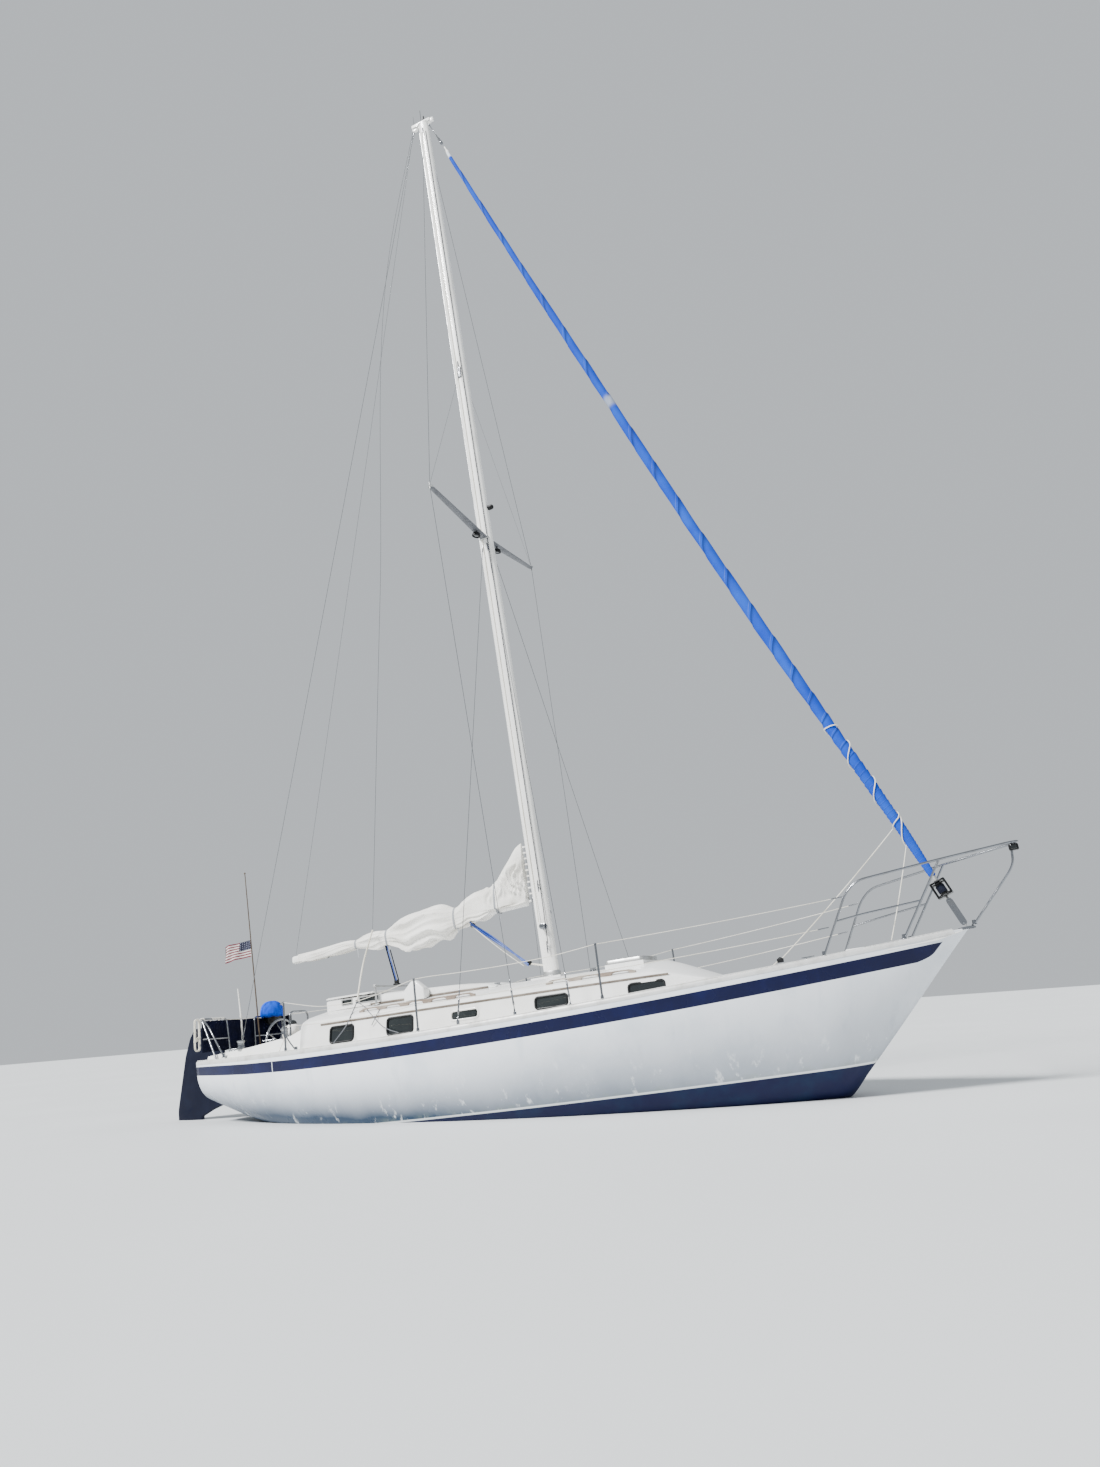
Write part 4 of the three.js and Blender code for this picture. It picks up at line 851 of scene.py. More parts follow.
def makeToeRail(name, side):
    # under the web runs the flange, whose lip hides the joint of hull and deck; bolts stand between the slots
    x = np.linspace(toeRail["from"], toeRail["to"], 150)
    path = spread(x, side * halfBeam(x), sheerZ(x) + 0.004)
    profile = np.array([(0.005, -0.036), (0.0065, -0.032), (0.0065, 0.003), (0.003, 0.0075), (-0.007, 0.009),
        (-0.009, 0.012), (-0.014, 0.012), (-0.016, 0.008), (-0.04, 0.008), (-0.042, 0.003), (0.002, 0.001),
        (0.002, -0.035)])
    profile[:, 0] *= side
    flange = grid(carried(path, profile, (0, 0, 1)))
    boltX = np.arange(toeRail["from"] + 0.05, toeRail["to"], 0.15)
    bolts = [turned([(0, 0.0065), (0.0035, 0.006), (0.005, 0.003)], (bx, side * (halfBeam(bx) - 0.03),
        sheerZ(bx) + 0.0115), (0, 0, 1), 8) for bx in boltX]
    piece(name + "_slotted", [slottedWeb(side), flange] + bolts, "railAlloy", stands=name)


for sideName, side in bothSides.items():
    makeToeRail("toe_rail_" + sideName, side)
print("toe rails made")

# cabin trunk: the CAD moulding with its hard corners eased, then window frames, handrails and trim

trunk = np.array([
    # x, half width at the foot, at the shoulder, shoulder height, half width at the roof's edge, edge height, crown
    (-3.04, 1.065, 1.0, 1.312, 0.83, 1.412, 1.514), (-2.64, 1.06, 0.985, 1.32, 0.82, 1.414, 1.52),
    (-1.0, 1.01, 0.945, 1.322, 0.785, 1.408, 1.506), (0.5, 0.93, 0.87, 1.32, 0.725, 1.402, 1.5),
    (1.5, 0.8, 0.745, 1.314, 0.61, 1.396, 1.494), (1.67, 0.76, 0.69, 1.296, 0.545, 1.352, 1.43),
    (2.14, 0.61, 0.54, 1.19, 0.43, 1.205, 1.215),
])
trunkFootZ = 0.9


def trunkAt(x):
    return [np.interp(x, trunk[:, 0], trunk[:, k]) for k in range(1, 7)]


def trunkSide(x, z):
    # half width of the leaning side, straight from the foot to the shoulder
    foot, shoulder, shoulderZ = trunkAt(x)[:3]
    return foot + (shoulder - foot) * (z - trunkFootZ) / (shoulderZ - trunkFootZ)


def roofZ(x, y):
    # two straight slopes, as in the CAD: a quarter of the drop comes by half way out to the edge
    _, _, _, edge, edgeZ, crown = trunkAt(x)
    out = np.abs(y) / edge
    drop = crown - edgeZ
    return np.where(out < 0.5, crown - 0.5 * drop * out, crown - 0.25 * drop - 1.5 * drop * (out - 0.5))


for node, width, angle in (("cabin_trunk", 0.022, 14), ("turtle_deck", 0.012, 20), ("cowl_vent", 0.02, 20),
        ("deck", 0.02, 35)):
    easedCopy(node, "deckGelcoat", width, angle)

windows = {"panes": [(-2.43, 1.075, 1.255, 0.33), (-1.605, 1.075, 1.262, 0.35), (-0.735, 1.133, 1.233, 0.35),
    (0.355, 1.128, 1.25, 0.385), (1.455, 1.14, 1.25, 0.39)], "corner": 0.036, "lip": 0.007, "wide": 0.015,
    "proud": 0.0075, "pale": 2}


def roundedRing(halfLong, halfHigh, radius):
    # four quarter circles joined by straights
    quarter = np.linspace(0, np.pi / 2, 7)
    ring = [spread(cx * (halfLong - radius) + radius * np.cos(quarter + start),
        cz * (halfHigh - radius) + radius * np.sin(quarter + start)) for cx, cz, start in ((1, 1, 0),
        (-1, 1, np.pi / 2), (-1, -1, np.pi), (1, -1, 1.5 * np.pi))]
    return np.concatenate(ring)


def makeWindows():
    w = windows
    section = [(-w["lip"], -0.014), (-w["lip"], w["proud"] * 0.6), (-w["lip"] + 0.003, w["proud"]),
        (w["wide"] - 0.004, w["proud"]), (w["wide"], w["proud"] * 0.5), (w["wide"], -0.006)]
    for sideName, side in bothSides.items():
        dark, pale = [], []
        for n, (x, low, high, length) in enumerate(w["panes"]):
            shells = pale if n == w["pale"] else dark
            rings = []
            for out, lift in section:
                ring = roundedRing(length / 2 + out, (high - low) / 2 + out, max(w["corner"] + out, 0.012))
                px, pz = x + ring[:, 0], (low + high) / 2 + ring[:, 1]
                rings.append(spread(px, side * (trunkSide(px, pz) + lift), pz))
            shells.append(hoop(np.stack(rings, 1)))
            # a screw near each corner and along the long sides
            for sx in (-0.42, -0.14, 0.14, 0.42):
                for sz in (-1, 1):
                    px, pz = x + sx * length, (low + high) / 2 + sz * ((high - low) / 2 + 0.006)
                    foot = (px, side * (trunkSide(px, pz) + w["proud"] - 0.001), pz)
                    shells.append(turned([(0, 0.0035), (0.0015, 0.003), (0.002, 0.0012)], foot, (0, side, 0.15), 8))
        piece("window_frames_" + sideName, dark, "frameBlack", sharp=50)
        piece("window_frame_middle_" + sideName, pale, "sparPaint", sharp=50)


makeWindows()

handrail = {"half": 0.013, "high": 0.042, "loop": 0.2, "loopHigh": 0.027, "runs": [("aft", -2.24, -0.64, 5),
    ("fore", 0.27, 1.33, 3)]}


def makeHandrails():
    # one rounded section along x: its underside lifts over each finger loop by a superellipse arch
    h = handrail
    for sideName, side in bothSides.items():
        for spot, start, end, loops in h["runs"]:
            x = np.linspace(start, end, loops * 36 + 1)
            _, shoulder, shoulderZ, edge, edgeZ, _ = trunkAt(x)
            y = (edge + shoulder * 0.72 + edge * 0.28) / 2
            roof = (edgeZ + (shoulderZ + edgeZ) / 2) / 2
            pitch = (end - start) / loops
            inLoop = np.abs((x - start) % pitch - pitch / 2) / (h["loop"] / 2)
            under = np.where(inLoop < 1, h["loopHigh"] * (1 - np.minimum(inLoop, 1) ** 3) ** (1 / 3), -0.012)
            tip = np.minimum((x - start) / 0.07, (end - x) / 0.07)
            top = h["high"] * np.clip(tip, 0.25, 1) ** 0.5
            profile = ovalProfile(1, 1, 5, 20)
            middle, half = (top + under) / 2, (top - under) / 2
            rows = spread(x[:, None], side * y[:, None] + profile[None, :, 0] * h["half"],
                (roof + middle)[:, None] + profile[None, :, 1] * half[:, None])
            node = f"handrail_{spot}_{sideName}"
            piece(node + "_shaped", [grid(rows)], "teak", stands=node, sharp=50)


makeHandrails()

battens = {"height": 0.024, "proud": 0.012, "from": -2.74, "to": 1.7, "z": 1.306, "turtle": {"from": -2.36,
    "to": -0.66, "y": 0.448, "lift": 0.01, "height": 0.026}}


def makeTrim():
    # half-round battens along the trunk's shoulder and round the foot of the turtle deck
    b, low = battens, battens["turtle"]
    halfRound = np.array([(-0.004, -0.5), (0.6, -0.5), (0.9, -0.3), (1.0, 0.0), (0.9, 0.3), (0.6, 0.5),
        (-0.004, 0.5)])
    shells = []
    for side in (1, -1):
        x = np.linspace(b["from"], b["to"], 90)
        path = spread(x, side * trunkSide(x, b["z"]), b["z"])
        shells.append(grid(carried(path, halfRound * [side * b["proud"], b["height"]], (0, 0, 1))))
        x = np.linspace(low["from"], low["to"], 60)
        path = spread(x, side * low["y"], roofZ(x, low["y"]) + low["lift"])
        shells.append(grid(carried(path, halfRound * [side * b["proud"], low["height"]], (0, 0, 1))))
    piece("teak_battens", shells, "teakDark", sharp=45)


makeTrim()

companion = {"half": 0.4, "aft": -3.08, "front": -2.36, "z": 1.632, "thick": 0.026, "crown": 0.01}


def makeCompanionway():
    # hatch: a crowned panel with rolled edges and a handle batten across
    c = companion
    across = np.linspace(-1, 1, 25)
    xs = np.concatenate([[c["aft"], c["aft"] + 0.003, c["aft"] + 0.01],
        np.linspace(c["aft"] + 0.03, c["front"] - 0.03, 12), [c["front"] - 0.01, c["front"] - 0.003, c["front"]]])
    edge = np.minimum(np.abs(across - 1), np.abs(across + 1)) * c["half"]
    endEase = np.minimum(xs - c["aft"], c["front"] - xs)
    ease = lambda d: 1 - np.sqrt(np.clip(1 - (1 - np.clip(d / 0.014, 0, 1)) ** 2, 0, 1))
    drop = 0.012 * np.maximum(ease(edge)[None], ease(endEase)[:, None])
    top = c["z"] + c["thick"] * 0.8 + c["crown"] * (1 - across[None] ** 2) + 0.003 - drop
    bottom = np.full_like(top, c["z"]) + 0.001
    y = np.broadcast_to(across[None] * c["half"], top.shape)
    x = np.broadcast_to(xs[:, None], top.shape)
    ring = np.concatenate([spread(x, y, top), spread(x, y, bottom)[:, ::-1]], 1)
    batten = block((c["aft"] + 0.035, -0.17, c["z"] + 0.03), (c["aft"] + 0.07, 0.17, c["z"] + 0.0385), 0.003)
    piece("sliding_hatch_lid", [grid(ring)], "deckGelcoat", "companionway_hatch", stands="companionway_hatch",
        sharp=50)
    piece("sliding_hatch_grip", [batten], "teak", "companionway_hatch", sharp=50)
    # side lights set in the turtle deck, behind their openings
    panes, frames = [], []
    for side in (1, -1):
        for x0, x1 in ((-2.8, -2.645), (-2.53, -2.235)):
            panes.append(block((x0 - 0.012, side * 0.43 - 0.003, 1.526), (x1 + 0.012, side * 0.43 + 0.003, 1.603),
                0.002))
            ringOut = roundedRing((x1 - x0) / 2 + 0.01, 0.042, 0.014)
            ringIn = roundedRing((x1 - x0) / 2 - 0.004, 0.028, 0.01)
            rows = []
            for ring, lift in ((ringIn, -0.02), (ringIn, 0.004), (ringOut, 0.004), (ringOut, -0.004)):
                rows.append(spread((x0 + x1) / 2 + ring[:, 0], side * (0.446 + lift), 1.566 + ring[:, 1]))
            frames.append(hoop(np.stack(rows, 1)))
    piece("turtle_deck_panes", panes, "windowGlass", sharp=50)
    piece("turtle_deck_frames", frames, "alloy", sharp=50)
    # drop-in boards: five planks
    boards = [block((-3.07, -0.358, 1.127 + 0.0995 * i), (-3.052, 0.358, 1.127 + 0.0995 * (i + 1) - 0.003), 0.004)
        for i in range(5)]
    piece("washboards_planked", boards, "teak", stands="washboards", sharp=45)


makeCompanionway()


def makeForeHatch():
    # an acrylic pane in an alloy frame, with two hinges at its front edge and a handle
    x0, x1, half, z = 0.81, 1.29, 0.27, 1.526
    frameParts = []
    outer, inner = roundedRing(0.24, half, 0.05), roundedRing(0.205, half - 0.035, 0.035)
    cx = (x0 + x1) / 2
    rows = []
    for ring, lift in ((inner, 0.004), (inner, 0.04), (inner * 1.01, 0.044), (outer * 0.985, 0.047), (outer, 0.043),
            (outer, 0.002)):
        rows.append(spread(cx + ring[:, 0], ring[:, 1], z + lift))
    frameParts.append(hoop(np.stack(rows, 1)))
    for y in (-0.16, 0.16):
        frameParts.append(block((x1 - 0.075, y - 0.022, z + 0.043), (x1 - 0.004, y + 0.022, z + 0.0478), 0.002))
    frameParts.append(turned([(0, 0.016), (0.01, 0.014), (0.014, 0.006)], (x0 + 0.06, 0, z + 0.033), (0, 0, 1), 16))
    piece("fore_hatch_frame", frameParts, "alloy", "fore_hatch", sharp=50)
    pane = block((x0 + 0.03, -half + 0.03, z + 0.012), (x1 - 0.03, half - 0.03, z + 0.036), 0.004)
    piece("fore_hatch_pane", [pane], "hatchAcrylic", "fore_hatch", stands="fore_hatch", sharp=50)


makeForeHatch()
print("cabin made")

# spars and standing rigging

mast = {"rake": 0.423 / 13.655, "foot": 1.5123, "head": 15.16, "half": (0.099, 0.066), "headScale": 0.86,
    "taperFrom": 11.0}


def mastX(z):
    return -mast["rake"] * (np.asarray(z, float) - mast["foot"])


def mastScale(z):
    # full size up to the taper, then evenly down to the head
    return 1 - (1 - mast["headScale"]) * np.clip((z - mast["taperFrom"]) / (mast["head"] - mast["taperFrom"]), 0, 1)


def makeMast():
    # an oval section squared a little fore and aft, carried up the rake, with a sail track down its after face
    z = np.concatenate([np.linspace(mast["foot"], mast["taperFrom"], 40), np.linspace(11.2, mast["head"], 24)])
    profile = ovalProfile(*mast["half"], 2.25, 36)
    scale = mastScale(z)
    rows = spread(mastX(z)[:, None] + profile[None, :, 0] * scale[:, None], profile[None, :, 1] * scale[:, None],
        z[:, None])
    z = np.linspace(2.62, 15.02, 60)
    path = spread(mastX(z) - mast["half"][0] * mastScale(z) - 0.001, 0 * z, z)
    track = grid(carried(path, np.array([(-0.012, -0.004), (-0.012, 0.004), (0.012, 0.004), (0.012, -0.004)]),
        (1, 0, 0)))
    piece("mast_tube", [grid(rows)], "sparPaint", stands="mast", sharp=50)
    fittings = [track]
    # collar at the foot
    collar = ovalProfile(mast["half"][0] + 0.012, mast["half"][1] + 0.012, 2.25, 36)
    rows = [spread(collar[:, 0] * s, collar[:, 1] * s, 1.5125 + h) for s, h in ((1.16, 0.0), (1.16, 0.01),
        (1.02, 0.016), (1.0, 0.06), (0.97, 0.066))]
    fittings.append(grid(np.stack(rows)))
    piece("mast_track_and_collar", fittings, "alloy")


makeMast()

winchShape = [(0.0, 1.0), (0.05, 1.0), (0.07, 0.93), (0.22, 0.9), (0.26, 0.72), (0.36, 0.66), (0.62, 0.64),
    (0.7, 0.7), (0.8, 0.84), (0.84, 0.9), (0.93, 0.9), (0.97, 0.8), (0.98, 0.42), (0.95, 0.4), (0.95, 0.18),
    (0.9, 0.16)]


def winch(foot, axis, radius, high, ribs=True):
    # a turned base, a waisted drum and a self-tailing crown, with upright ribs on the drum
    shells = [turned([(h * high, r * radius) for h, r in winchShape], foot, axis, 32)]
    if ribs:
        axis = unit(axis)
        first, second = squareTo(axis)
        for turn in wholeTurn(16):
            out = np.cos(turn) * first + np.sin(turn) * second
            path = [np.asarray(foot) + axis * high * h + out * radius * r for h,
                r in ((0.34, 0.665), (0.5, 0.65), (0.66, 0.665))]
            shells.append(tube(path, 0.0028, 6))
    return shells


def makeMastGear():
    # halyard winches and cleats low on the mast, halyards down its sides, and small fittings aloft
    steel, dark, white = [], [], []
    for side in (1, -1):
        z = 2.12 if side < 0 else 2.3
        steel += winch((mastX(z) + 0.02, side * 0.066, z), (0, side, 0.0), 0.042, 0.075, ribs=False)
        for z in (1.86, 2.62):
            base = np.array([mastX(z) + 0.035, side * 0.066, z])
            steel.append(tube([base + (0, side * 0.03, -0.075), base + (0, side * 0.034, -0.03),
                base + (0, side * 0.034, 0.03), base + (0, side * 0.03, 0.075)], [0.005, 0.008, 0.008, 0.005], 10))
            for dz in (-0.018, 0.018):
                steel.append(tube([base + (0, -0.004, dz), base + (0, side * 0.034, dz)], 0.006, 10))
    for side, x, low, store in ((-1, 0.05, 1.9, dark), (1, 0.05, 2.66, white), (-1, -0.03, 2.18, white)):
        z = np.array([14.95, 12.0, 9.0, 6.0, 3.6, low + 0.3, low])
        gap = np.array([0.052, 0.064, 0.066, 0.067, 0.068, 0.078, 0.094])
        path = spread(mastX(z) + x * mastScale(z), side * (gap + 0.004), z)
        store.append(tube(curveThrough(path, 60), 0.005, 8))
    steel.append(block((mastX(10.3) - 0.03, -0.078, 10.22), (mastX(10.3) + 0.03, -0.06, 10.4), 0.004))
    steel.append(tube([(mastX(10.45), -0.072, 10.5), (mastX(10.3), -0.086, 10.32)], 0.006, 8))
    piece("mast_winches_and_cleats", steel, "stainless")
    piece("halyard_dark", dark, "ropeDark")
    piece("halyards_white", white, "ropeWhite")
    # steaming light on the mast's front
    z = 8.02
    lamp = [turned([(0, 0.03), (0.01, 0.036), (0.05, 0.036), (0.075, 0.03), (0.085, 0.012)],
        (mastX(z) + 0.097, 0, z), (1, 0, 0), 20)]
    piece("steaming_light", lamp, "blackPlastic")


makeMastGear()

spreader = {"z": 7.551, "half": 1.485, "rise": 0.143}


def makeSpreaders():
    # a wing section tapering outboard, a root socket, an end cap on the shroud, and a round lamp slung below
    x = mastX(spreader["z"])
    dark, lamps, glass = [], [], []
    for sideName, side in bothSides.items():
        name = "spreader_" + sideName
        share = np.linspace(0, 1, 24)
        y = side * (0.06 + share * (spreader["half"] - 0.075))
        z = spreader["z"] + spreader["rise"] * (share * (spreader["half"] - 0.075) + 0.06 -
            0.066) / spreader["half"]
        long, high = 0.06 - 0.026 * share, 0.021 - 0.008 * share
        wing = ovalProfile(1, 1, 1.8, 24)
        rows = spread(x + wing[None, :, 0] * long[:, None], y[:, None],
            z[:, None] + wing[None, :, 1] * high[:, None])
        piece(name + "_wing", [grid(rows)], "shadedSpreaderPaint", stands=name, sharp=50)
        tip = np.array([x, side * spreader["half"], spreader["z"] + spreader["rise"]])
        dark.append(tube([tip + (-0.034, -side * 0.03, -0.002), tip + (0, 0.002 * side, 0.0),
            tip + (0.034, -side * 0.03, -0.002)], 0.013, 10))
        dark.append(tube([tip + (0, 0, -0.045), tip + (0, 0, 0.045)], [0.01, 0.01], 10))
        root = np.array([x, side * 0.062, spreader["z"]])
        dark.append(block(root - (0.066, 0.03, 0.028), root + (0.066, 0.03, 0.028), 0.01))
        lamp = np.array([x + 0.01, side * 0.3, spreader["z"] - 0.055])
        lamps.append(turned([(0, 0.02), (0.012, 0.05), (0.042, 0.058), (0.06, 0.058), (0.062, 0.05), (0.05, 0.048)],
            lamp + (0, 0, 0.035), (-0.25, side * 0.1, -1), 24))
        lamps.append(tube([lamp + (0, 0, 0.02), lamp + (0, 0, 0.07)], 0.008, 8))
        glass.append(turned([(0.046, 0.048), (0.052, 0.04), (0.056, 0.02)], lamp + (0, 0, 0.035),
            (-0.25, side * 0.1, -1), 24))
    piece("spreader_ends_and_roots", dark, "alloy")
    piece("spreader_lamps", lamps, "blackPlastic")
    piece("spreader_lamp_glasses", glass, "windowGlass")


# a dark grey copy of the spar paint for the spreader wings: painted shade for their undersides, which face away from
# the light
painted("shadedSpreaderPaint", "5f6166", "45464a", 0.6, 6.0, 0.3, 0.5, 90)
makeSpreaders()


def turnbuckle(foot, way):
    # a fork on the chainplate, a barrel with two open flats, and the swaged end of the wire
    profile = [(0.0, 0.009), (0.03, 0.009), (0.035, 0.006), (0.075, 0.006), (0.08, 0.011), (0.11, 0.012),
        (0.12, 0.009), (0.2, 0.009), (0.21, 0.012), (0.24, 0.011), (0.245, 0.006), (0.285, 0.006), (0.29, 0.007),
        (0.35, 0.007), (0.356, shroud["wire"])]
    return turned(profile, foot, way, 12)


shroud = {"wire": 0.0035, "chain": 1.179, "z": 1.075}


def makeRigging():
    x = mastX(spreader["z"])
    tang = 15.04
    for sideName, side in bothSides.items():
        name = "shrouds_" + sideName
        tip = np.array([x, side * (spreader["half"] + 0.002), spreader["z"] + spreader["rise"]])
        capFoot = np.array([0.03, side * shroud["chain"], shroud["z"] + 0.045])
        head = np.array([mastX(tang), side * 0.066 * 0.9, tang])
        wires, ends = [tube([head, tip], shroud["wire"], 8)], []
        feet = [(capFoot, tip), (np.array([0.702, side * (shroud["chain"] - 0.024), 1.12]),
            np.array([x + 0.03, side * 0.064, 7.46])), (np.array([-0.702, side * shroud["chain"], 1.12]),
            np.array([x - 0.03, side * 0.064, 7.46]))]
        for foot, top in feet:
            wires.append(tube([foot, top], shroud["wire"], 8))
            ends.append(turnbuckle(foot, top - foot))
            plate = foot - (0, 0, 0.03)
            ends.append(block(plate - (0.02, 0.0035, 0.045), plate + (0.02, 0.0035, 0.036), 0.003))
            base = np.array([*foot[:2], deckZ(*foot[:2])])
            ends.append(block(base + (-0.05, -0.02, 0.002), base + (0.05, 0.02, 0.008), 0.003))
        for point, way in ((head, tip - head), (feet[1][1], feet[1][0] - feet[1][1]),
                (feet[2][1], feet[2][0] - feet[2][1])):
            ends.append(turned([(0, 0.009), (0.05, 0.008), (0.13, 0.007), (0.135, 0.004)], point, way, 10))
        # lift wire from the mast to the spreader's end
        wires.append(tube([np.array([mastX(10.3), side * 0.064, 10.3]), tip + (0, 0, 0.01)], 0.002, 6))
        piece(name + "_wires", wires, "wireRope", stands=name)
        piece(name + "_turnbuckles", ends, "stainless", sharp=50)
    headZ = mast["head"] + 0.0003
    top = np.array([mastX(headZ) - 0.19, 0, headZ - 0.062])
    foot = np.array([-4.89, 0, 1.15])
    piece("backstay_wire", [tube([foot, top], shroud["wire"], 8)], "wireRope", stands="backstay")
    piece("backstay_ends", [turnbuckle(foot, top - foot), turned([(0, 0.01), (0.12, 0.007), (0.13, 0.004)], top,
        foot - top, 10), block((-4.92, -0.022, 1.085), (-4.86, 0.022, 1.112), 0.004),
        tube([(-4.89, 0, 1.1), (-4.89, 0, 1.155)], 0.007, 8)], "stainless", sharp=50)


makeRigging()


def makeMasthead():
    # two cheek plates with sheaves between them, cranes fore and aft, and a short prong, rod and whip above
    x, z = mastX(15.16), 15.1603
    shells = [block((x - 0.205, s * 0.034 - 0.004, z - 0.002), (x + 0.128, s * 0.034 + 0.004, z + 0.052), 0.003)
        for s in (-1, 1)]
    shells.append(block((x - 0.085, -0.057, z - 0.001), (x + 0.085, 0.057, z + 0.01), 0.005))
    shells.append(block((x - 0.208, -0.02, z - 0.058), (x - 0.112, 0.02, z + 0.05), 0.008))
    shells.append(block((x + 0.107, -0.02, z - 0.018), (x + 0.186, 0.02, z + 0.052), 0.008))
    for sx in (-0.15, 0.15, -0.06, 0.06):
        shells.append(turned([(-0.02, 0.02), (-0.018, 0.026), (0, 0.02), (0.018, 0.026), (0.02, 0.02)],
            (x + sx, 0, z + 0.024), (0, 1, 0), 20))
    piece("masthead_cranes", shells, "sparPaint", stands="masthead_fitting", sharp=50)
    rods = [tube([(x - 0.04, 0.0, z + 0.01), (x - 0.04, 0, z + 0.318)], 0.0035, 8),
        tube([(x - 0.18, 0.02, z + 0.04), (x - 0.185, 0.02, z + 0.29)], [0.004, 0.0015], 8),
        tube([(x + 0.02, -0.02, z + 0.05), (x + 0.02, -0.02, z + 0.14)], 0.012, 10),
        tube([(x - 0.01, 0.02, z + 0.05), (x - 0.01, 0.02, z + 0.17)], 0.009, 10)]
    piece("masthead_rods", rods, "blackPlastic")


makeMasthead()

boom = {"nose": -0.216, "end": -3.88, "half": 0.045, "deep": 0.05, "slope": 0.054, "z": 2.47, "x": -0.152}


def boomZ(x):
    return boom["z"] + (np.asarray(x, float) - boom["x"]) * boom["slope"]


def makeBoom():
    # a rounded box section along the slope, with a cast end, a sheave box and a swivel at the mast
    xs = np.linspace(boom["nose"], boom["end"] + 0.1, 30)
    profile = ovalProfile(boom["half"], boom["deep"], 3.2, 32)
    rows = spread(xs[:, None], profile[None, :, 0], boomZ(xs)[:, None] + profile[None, :, 1])
    piece("boom_tube", [grid(rows)], "sparPaint", "boom", stands="boom", sharp=50)
    ends = []
    xs = np.array([boom["end"] + 0.115, boom["end"] + 0.112, boom["end"] + 0.02, boom["end"] + 0.004, boom["end"]])
    size = np.array([0.9, 1.04, 1.04, 0.98, 0.86])
    rows = spread(xs[:, None], profile[None, :, 0] * size[:, None] * 0.99,
        boomZ(xs)[:, None] + profile[None, :, 1] * size[:, None])
    ends.append(grid(rows))
    xs = np.array([boom["nose"] - 0.03, boom["nose"], boom["nose"] + 0.012])
    size = np.array([1.04, 1.04, 0.6])
    rows = spread(xs[:, None], profile[None, :, 0] * size[:, None],
        boomZ(xs)[:, None] + profile[None, :, 1] * size[:, None])
    ends.append(grid(rows))
    ends.append(tube([(boom["nose"], 0, 2.4665), (-0.158, 0, boom["z"])], 0.0115, 12))
    piece("boom_ends", ends, "sparPaint", "boom", sharp=50)
    straps = []
    for x in (-1.05, -2.35, -3.3):
        ring = ovalProfile(boom["half"] + 0.002, boom["deep"] + 0.002, 3.2, 32)
        rows = np.stack([spread(x + dx, ring[:, 0] * s, boomZ(x) + ring[:, 1] * s) for dx, s in ((-0.016, 0.97),
            (-0.016, 1.0), (0.016, 1.0), (0.016, 0.97))])
        straps.append(grid(rows))
        straps.append(turned([(-0.004, 0.016), (0.004, 0.016)], (x, 0, boomZ(x) - boom["deep"] - 0.016), (0, 1, 0),
            16))
    piece("boom_straps", straps, "stainless", "boom", sharp=50)
    face = mastX(boom["z"]) - mast["half"][0]
    plate = [block((face - 0.0118, -0.016, boom["z"] - 0.04), (face + 0.004, 0.016, boom["z"] + 0.04), 0.003)]
    piece("gooseneck_plate", plate, "stainless", stands="gooseneck", sharp=50)


makeBoom()
print("spars and rigging made")

# furled headsail, its drum and its sheets

stay = {"tack": np.array([4.76, 0, 1.44]), "head": np.array([-0.33, 0, 15.12])}
stayLong = float(np.linalg.norm(stay["head"] - stay["tack"]))
stayWay = (stay["head"] - stay["tack"]) / stayLong
stayFore = np.array([stayWay[2], 0, -stayWay[0]])
toPort = np.array([0, 1.0, 0])
rollSize = np.array([(0.035, 0.034), (0.06, 0.049), (0.1, 0.059), (0.2, 0.067), (0.38, 0.067), (0.6, 0.056),
    (0.8, 0.041), (0.945, 0.026)])
staySag = np.array([(0, 0), (0.1, 0.002), (0.2, 0.034), (0.38, 0.064), (0.6, 0.057), (0.8, 0.04), (0.945, 0.006),
    (0.96, 0), (1, 0)])


def stayAt(share, radius=0.0, turn=0.0):
    # a point beside the sagging stay: the turn is 0 ahead of it and a quarter to port
    sag = cubicThrough(staySag[:, 0], staySag[:, 1], share) * (np.abs(np.asarray(share) - 0.48) < 0.48)
    share, radius, turn, sag = (np.asarray(v, float)[..., None] for v in (share, radius, turn, sag))
    return stay["tack"] + share * (stay["head"] - stay["tack"]) - sag * stayFore + radius * (np.cos(turn) * stayFore
        + np.sin(turn) * toPort)


def rollRadius(share):
    return cubicThrough(rollSize[:, 0], rollSize[:, 1], share)


roll = {"pitch": [(0.035, 0.034), (0.08, 0.05), (0.12, 0.085), (0.17, 0.2), (0.22, 0.42), (0.35, 0.62),
    (0.95, 0.8)], "step": [(0.035, 0.005), (0.08, 0.007), (0.12, 0.01), (0.17, 0.012), (0.25, 0.009),
    (0.95, 0.005)], "sides": 56}


def rollMaterial(vTotal):
    # blue cover cloth: a pale sewn line, a painted shadow at the edge where each turn of the roll ends, and a grey
    # patch
    tree, plain, shader = cloth("rollCover", "0a3cae", "2a62cc", 0.45, 500.0, 0.5, bump=0.4, bumpDistance=0.004,
        gloss=0.2)
    turns, patch, white = (carriedMark(tree, label) for label in ("turns", "patch", "white"))
    lengths = added(tree, "UVMap", uv_map="lengths")
    split = added(tree, "SeparateXYZ", {0: lengths.outputs[0]})
    around = fraction(timesPlus(split.outputs[1], -1 / vTotal, turns))
    seam = isUnder(absolute(minus(around, 0.1)), 0.014)
    # painted shadow: the cloth darkens towards the edge of each turn
    edge = ranged(around, 0.8, 1.0, 0.0, 0.9)
    shade = blendColours(edge, plain, colour("0a2560"))
    sewn = blendColours(times(seam, 0.12), shade, colour("9db8ea"))
    patched = blendColours(patch, sewn, colour("8d96a8"))
    plug(shader, {"Base Color": blendColours(white, patched, colour("dfe3e8"))})


